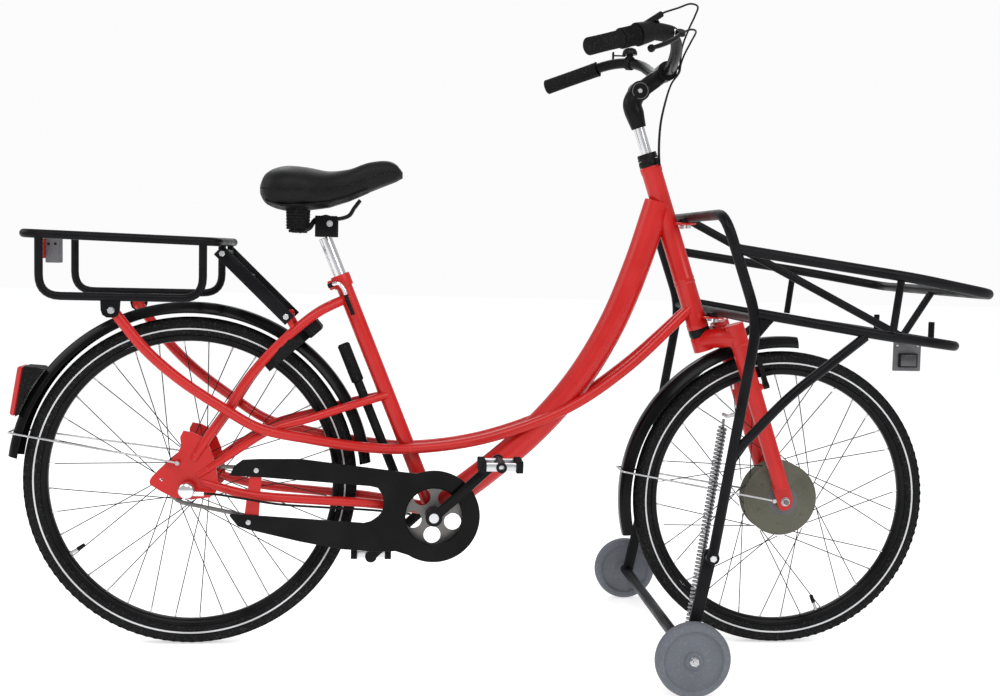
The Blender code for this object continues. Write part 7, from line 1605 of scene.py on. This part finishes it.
    def _cables(self) -> None:
        """The gear cable and the brake cable, each in an open loop ahead of the bar."""
        shift = [
            (0.8879, -0.2229, 1.2562), (0.8912, -0.221, 1.2584), (0.925, -0.19, 1.2738),
            (0.9574, -0.155, 1.289), (0.9769, -0.13, 1.288), (0.9762, -0.11, 1.2742),
            (0.9707, -0.085, 1.253), (0.965, -0.055, 1.2221), (0.9665, -0.034, 1.1967),
            (0.9645, -0.03, 1.1752), (0.95, -0.029, 1.15), (0.938, -0.028, 1.109),
            (0.9312, -0.026, 1.0691), (0.9298, -0.0245, 1.0191), (0.9321, -0.024, 0.988),
        ]
        brake = [
            (0.9343, -0.1917, 1.2287), (0.9364, -0.1888, 1.2294), (0.9558, -0.17, 1.238),
            (0.9724, -0.14, 1.2392), (0.9722, -0.1, 1.2255), (0.967, -0.064, 1.204),
            (0.9655, -0.044, 1.188), (0.964, -0.04, 1.174), (0.949, -0.0378, 1.1509),
            (0.9374, -0.0352, 1.109), (0.9309, -0.033, 1.0691), (0.9298, -0.031, 1.0191),
            (0.9321, -0.03, 0.988),
        ]
        for name, places in (("gear_cable", shift), ("brake_cable", brake)):
            way = flowing(route(places))
            shape = Shape(name, ("control_cables",))
            shape.pipe(way, 0.0019, CABLE_BLACK, 14)
            piece = shape.place("stem", "cable_sleeve")


@dataclass
class Saddle:
    """Saddle with a padded cover, shell, wires and ribbed springs' boots, on its post."""

    rear: float = 0.131
    front: float = 0.4145
    skirt: float = 0.0105
    inset: float = 0.985
    boot: Pair = (0.207, 0.046)
    sections: tuple[tuple[float, float, float, float], ...] = (
        (0.0, 0.046, 0.933, 0.915), (0.06, 0.088, 0.954, 0.9), (0.17, 0.104, 0.967, 0.89),
        (0.33, 0.1, 0.966, 0.892), (0.48, 0.071, 0.96, 0.898), (0.62, 0.045, 0.966, 0.911),
        (0.76, 0.034, 0.981, 0.929), (0.9, 0.03, 0.984, 0.946), (0.96, 0.026, 0.976, 0.953),
        (1.0, 0.021, 0.964, 0.957),
    )

    def build(self) -> None:
        """Builds the saddle, its post and the quick lever."""
        self._cover()
        self._underside()
        self._post()

    def _cover(self) -> None:
        """Padded cover with full sides, a shallow channel and a seam."""
        shape = Shape("saddle_cover", ("saddle_cushion",))
        rings, seam = [], []
        for x, half, high, low in self._stations():
            share = (x - self.rear) / (self.front - self.rear)
            middle, rise = low + (high - low) * 0.42, high - low
            ring = []
            for index in range(48):
                turn = math.tau * index / 48
                across, lift = math.cos(turn), math.sin(turn)
                if lift >= 0:
                    tuck, height = 1.0, lift ** 0.86 * rise * 0.58
                else:
                    tuck, height = 1.0 - 0.08 * abs(lift) ** 2, -(abs(lift) ** 0.62) * (
                        rise * 0.42 + self.skirt
                    )
                width = math.copysign(abs(across) ** 0.74, across) * half * self.inset * tuck
                dip = 0.0045 * math.exp(-((width / 0.014) ** 2))
                channel = dip * max(0.0, lift) * max(0.0, math.sin(math.pi * share))
                ring.append(at(x, width, middle + height - channel))
            rings.append(ring)
            seam.append((x, half * self.inset, middle - rise * 0.06))
        shape.skin(rings, LEATHERETTE)
        cover = shape.place("saddle", "saddle_cover", crease=75)
        piping = Shape("saddle_seam", ())
        for hand in (-1, 1):
            piping.pipe(route(seam[2:-2], hand), 0.0014, SEAM_BLACK, 10)
        piping.place("saddle", "saddle_cover")

    def _stations(self) -> list[tuple[float, float, float, float]]:
        """Works out close sections of the cover, rounded off at both ends.

        Returns: x, half width, top and bottom of each section.
        """
        knots = [Vector((share, half, high)) for share, half, high, low in self.sections]
        lows = [Vector((share, low, 0.0)) for share, half, high, low in self.sections]
        found = []
        for knot, under in zip(flowing(knots, 7), flowing(lows, 7)):
            share = min(0.9995, max(0.0005, knot.x))
            middle = (knot.z + under.y) / 2
            round_off = min(1.0, (1.0 - (1.0 - min(1.0, share / 0.05)) ** 2) ** 0.5 + 0.02)
            round_off *= min(1.0, (1.0 - (1.0 - min(1.0, (1.0 - share) / 0.06)) ** 2) ** 0.5 + 0.02)
            high = middle + (knot.z - middle) * round_off
            low = middle + (under.y - middle) * round_off
            found.append((
                self.rear + (self.front - self.rear) * share, knot.y * round_off, high, low
            ))
        return found

    def _underside(self) -> None:
        """Shell, boots, wires and the clamp with its bolt."""
        repaint("saddle_shell", PLASTIC_BLACK)
        repaint("saddle_clamp", SATIN_BLACK)
        wires = Shape("saddle_rails")
        x, y = self.boot
        for hand in (-1, 1):
            way = [
                (x, y, 0.838), (0.228, 0.036, 0.845), (0.2423, 0.0215, 0.8636),
                (0.2633, 0.0215, 0.8656), (0.2883, 0.0215, 0.8656), (0.3083, 0.02, 0.8726),
                (0.3183, 0.017, 0.8876), (0.33, 0.0148, 0.9035),
            ]
            wires.pipe(flowing(route(way, hand)), 0.0035, SATIN_BLACK, 18)
            wires.rod(at(x, hand * y, 0.8359), at(x, hand * y, 0.8415), 0.0158, PLASTIC_BLACK, 32)
        wires.crosswise(0.3183, 0.8876, -0.017, 0.017, 0.0035, SATIN_BLACK)
        wires.place("saddle", "bare_steel")
        boots = Shape("saddle_boots", ())
        for hand in (-1, 1):
            profile = [(0.0192, 0.001)]
            profile += [
                (0.0202 + 0.0016 * math.cos(math.pi * i), 0.002 + 0.003 * i) for i in range(14)
            ]
            boots.lathe([*profile, (0.0205, 0.0425)], at(x, hand * y, 0.842), UPWARD, RUBBER, 40)
        boots.place("saddle", "black_plastic", crease=70)
        bolt = Shape("saddle_bolt", ())
        for hand in (-1, 1):
            bolt.block(
                at(0.264, hand * 0.0312, 0.8495), (0.044, 0.003, 0.042), GUARD_BLACK, soft=0.0014
            )
            bolt.crosswise(0.271, 0.855, hand * 0.0326, hand * 0.0352, 0.0046, ALLOY, 6)
            bolt.crosswise(0.271, 0.855, hand * 0.0326, hand * 0.0333, 0.0062, ALLOY, 32)
        bolt.place("saddle", "bare_steel")

    def _post(self) -> None:
        """Bright post and the lever that locks it."""
        post = Shape("seatpost")
        post.rod(at(0.3629, 0.0, 0.5775), at(0.2605, 0.0, 0.8272), 0.0134, POLISHED, 44)
        post.place("seatpost", "post_alloy")
        lever = Shape("seat_lever")
        lever.rod(
            at(0.2687, -0.0245, 0.7302), at(0.2794, -0.0245, 0.7346), 0.0047, PLASTIC_BLACK, 26
        )
        way = [
            (0.274, -0.0245, 0.7324), (0.2813, -0.0259, 0.7353), (0.29, -0.0275, 0.7364),
            (0.2966, -0.0282, 0.7308), (0.302, -0.0285, 0.7224), (0.305, -0.0286, 0.7144),
        ]
        lever.pipe(flowing(route(way)), 0.004, POLISHED, 20)
        paddle = [
            (0.305, -0.0286, 0.7144), (0.308, -0.0285, 0.7044), (0.3144, -0.0285, 0.6883),
            (0.32, -0.0285, 0.6744),
        ]
        lever.pipe(flowing(route(paddle)), 0.0041, PLASTIC_BLACK, 20)
        lever.place("seat_lever", "lever_alloy")


@dataclass
class Stand:
    """Folding stand: two arms, the axle, two wheels and the tension spring."""

    top: Vector = at(1.01358, -0.2975, 0.5109)
    foot: Vector = at(0.95664, -0.2975, 0.0817)
    arm_line: float = 0.316
    wheel_line: float = 0.3575
    coils: int = 56
    coil_steps: int = 14
    coil_radius: float = 0.0067
    wire_radius: float = 0.0026

    def build(self) -> None:
        """Builds the stand."""
        shape = Shape("stand_arms")
        for hand in (-1, 1):
            y = hand * self.arm_line
            shape.bar(
                beside(STAND_PIVOT, y), beside(STAND_AXLE, y), 0.0235, 0.0096, POWDER_BLACK, 0.003
            )
            shape.crosswise(*STAND_PIVOT, hand * 0.3109, hand * 0.3211, 0.0137, POWDER_BLACK, 36)
            shape.crosswise(*STAND_AXLE, hand * 0.3229, hand * 0.3819, 0.0049, STEEL)
            shape.crosswise(*STAND_AXLE, hand * 0.3722, hand * 0.3789, 0.0083, ALLOY, 6)
            shape.crosswise(*STAND_AXLE, hand * 0.3722, hand * 0.3734, 0.0086, ALLOY, 30)
        shape.crosswise(*STAND_AXLE, -0.3425, 0.3425, 0.0112, POWDER_BLACK, 32)
        shape.place("stand", "rack_paint")
        for side, hand in (("left", 1), ("right", -1)):
            self._wheel(side, hand * self.wheel_line)
        self._spring()

    def _wheel(self, side: str, y: float) -> None:
        """Solid grey wheel with a raised rim, a dished face and a hub boss.

        Args: side: left or right. y: where its middle is.
        """
        wheel = Shape(f"stand_wheel_{side}")
        half = [
            (0.0056, 0.0138), (0.015, 0.0138), (0.0165, 0.0126), (0.018, 0.01), (0.05, 0.0074),
            (0.053, 0.008), (0.056, 0.013), (0.061, 0.0136), (0.064, 0.013), (0.068, 0.01),
            (0.0698, 0.006), (0.0698, 0.0012), (0.069, 0.0006), (0.069, 0.0),
        ]
        wheel.lathe(mirrored(half), beside(STAND_AXLE, y), SIDEWAYS, WHEEL_GREY, 72)
        wheel.place(f"stand_wheel_{side}", "wheel_grey", crease=50)

    def _spring(self) -> None:
        """Tension spring with a hook at each end."""
        span = self.foot - self.top
        along = span.normalized()
        across = along.cross(SIDEWAYS).normalized()
        other = along.cross(across)
        count = self.coils * self.coil_steps
        start = self.top + along * 0.004
        way = [start, start + along * 0.006]
        for index in range(count + 1):
            turn = math.tau * index / self.coil_steps
            ease = min(1.0, index / 10, (count - index) / 10)
            reach = self.coil_radius * max(0.12, ease)
            rise = start + along * (0.012 + (span.length - 0.032) * index / count)
            way.append(rise + (across * math.cos(turn) + other * math.sin(turn)) * reach)
        end = self.foot - along * 0.0125
        way += [end - along * 0.004, end]
        spring = Shape("stand_spring")
        spring.pipe(way, self.wire_radius, SPRING_ZINC, 10)
        piece = spring.place("", "spring_steel")
        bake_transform(piece)


@dataclass
class Studio:
    """Pale floor, soft lights and the camera of the photo."""

    lens: float = 48.6
    camera_at: Vector = at(0.3817, -2.7434, 0.8114)
    yaw: float = 0.0862
    pitch: float = 0.0728
    roll: float = -0.0226

    def build(self) -> None:
        """Sets up the camera, floor, background and lights."""
        self._camera()
        self._floor()
        self._background()
        lights = (
            ((-0.6, -2.6, 3.2), 2.2, 46.0),
            ((1.9, -2.2, 2.4), 1.6, 26.0),
            ((0.0, 2.4, 2.8), 2.6, 30.0),
            ((-2.4, 0.0, 1.8), 1.6, 14.0),
        )
        for index, (place, size, power) in enumerate(lights):
            lamp = bpy.data.lights.new(f"soft_light_{index}", "AREA")
            lamp.shape = "DISK"
            lamp.size = size
            lamp.energy = power
            holder = bpy.data.objects.new(lamp.name, lamp)
            holder.location = place
            aim = Vector((0.0, 0.0, 0.55)) - Vector(place)
            holder.rotation_euler = aim.to_track_quat("-Z", "Y").to_euler()
            bpy.context.scene.collection.objects.link(holder)

    def _camera(self) -> None:
        """Places the camera by its turn, tilt and roll."""
        level = math.cos(self.pitch)
        ahead = Vector((
            math.sin(self.yaw) * level, math.cos(self.yaw) * level, -math.sin(self.pitch)
        ))
        right = Vector((math.cos(self.yaw), -math.sin(self.yaw), 0.0))
        down = ahead.cross(right)
        turned_right = right * math.cos(self.roll) + down * math.sin(self.roll)
        turned_down = -right * math.sin(self.roll) + down * math.cos(self.roll)
        lens = bpy.data.cameras.new("camera")
        lens.sensor_width = 36.0
        lens.lens = self.lens
        camera = bpy.data.objects.new("camera", lens)
        turn = Matrix((turned_right, -turned_down, -ahead)).transposed().to_4x4()
        camera.matrix_world = Matrix.Translation(self.camera_at) @ turn
        bpy.context.scene.collection.objects.link(camera)
        bpy.context.scene.camera = camera

    def _floor(self) -> None:
        """Lays the pale floor."""
        mesh = bpy.data.meshes.new("floor")
        sheet = bmesh.new()
        spot = Matrix.Translation((0.0, 6.0, -0.0006))
        bmesh.ops.create_grid(sheet, x_segments=8, y_segments=8, size=14.0, matrix=spot)
        sheet.to_mesh(mesh)
        sheet.free()
        finish = Finish(
            "floor_pale", (0.84, 0.84, 0.84), 0.9, per_metre=30, relief=0.02, spread=0.01, dust=0.0,
            shine=0.0,
        )
        pale = finish.material()
        glow = {"Emission Color": (1.0, 1.0, 1.0, 1.0), "Emission Strength": 0.55}
        feed(pale.node_tree, pale.node_tree.nodes["Principled BSDF"].inputs, glow)
        mesh.materials.append(pale)
        floor = bpy.data.objects.new("floor", mesh)
        bpy.context.scene.collection.objects.link(floor)

    def _background(self) -> None:
        """White behind the object, a softer grey for what lights it."""
        world = bpy.data.worlds.new("backdrop")
        world.use_nodes = True
        tree = world.node_tree
        seen = tree.nodes["Background"]
        seen.inputs["Color"].default_value = (0.97, 0.97, 0.97, 1.0)
        lit = wire(tree, "Background", {"Color": (0.86, 0.87, 0.89, 1.0), "Strength": 0.62})
        direct = wire(tree, "LightPath", {}, "Is Camera Ray")
        both = wire(tree, "MixShader", {"Fac": direct, 1: lit, 2: seen.outputs["Background"]})
        tree.links.new(both, tree.nodes["World Output"].inputs["Surface"])
        bpy.context.scene.world = world
        bpy.context.scene.view_settings.view_transform = "Standard"


def main() -> None:
    """Builds the studio and then the bicycle, from its wheels to its stand."""
    logging.basicConfig(level=logging.INFO, format="%(message)s")
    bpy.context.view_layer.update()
    Studio().build()
    Cockpit().build()
    Wheel(
        "rear", REAR_HUB, radius=0.332, hub_reach=0.0353, inner_side=0.0254, outer_side=0.0306,
        lead=math.radians(62), valve_at=math.radians(212),
    ).build()
    Wheel(
        "front", FRONT_HUB, radius=0.307, hub_reach=0.0783, inner_side=0.0174, outer_side=0.0226,
        lead=math.radians(44), valve_at=math.radians(291),
    ).build()
    Hubs().build()
    FrameSet().build()
    ForkSet().build()
    Drive().build()
    Carriers().build()
    Covers().build()
    Saddle().build()
    Stand().build()
    repaint("ring_lock_body", PLASTIC_BLACK)
    repaint("ring_lock_shackle", STEEL)


if __name__ == "__main__":
    main()
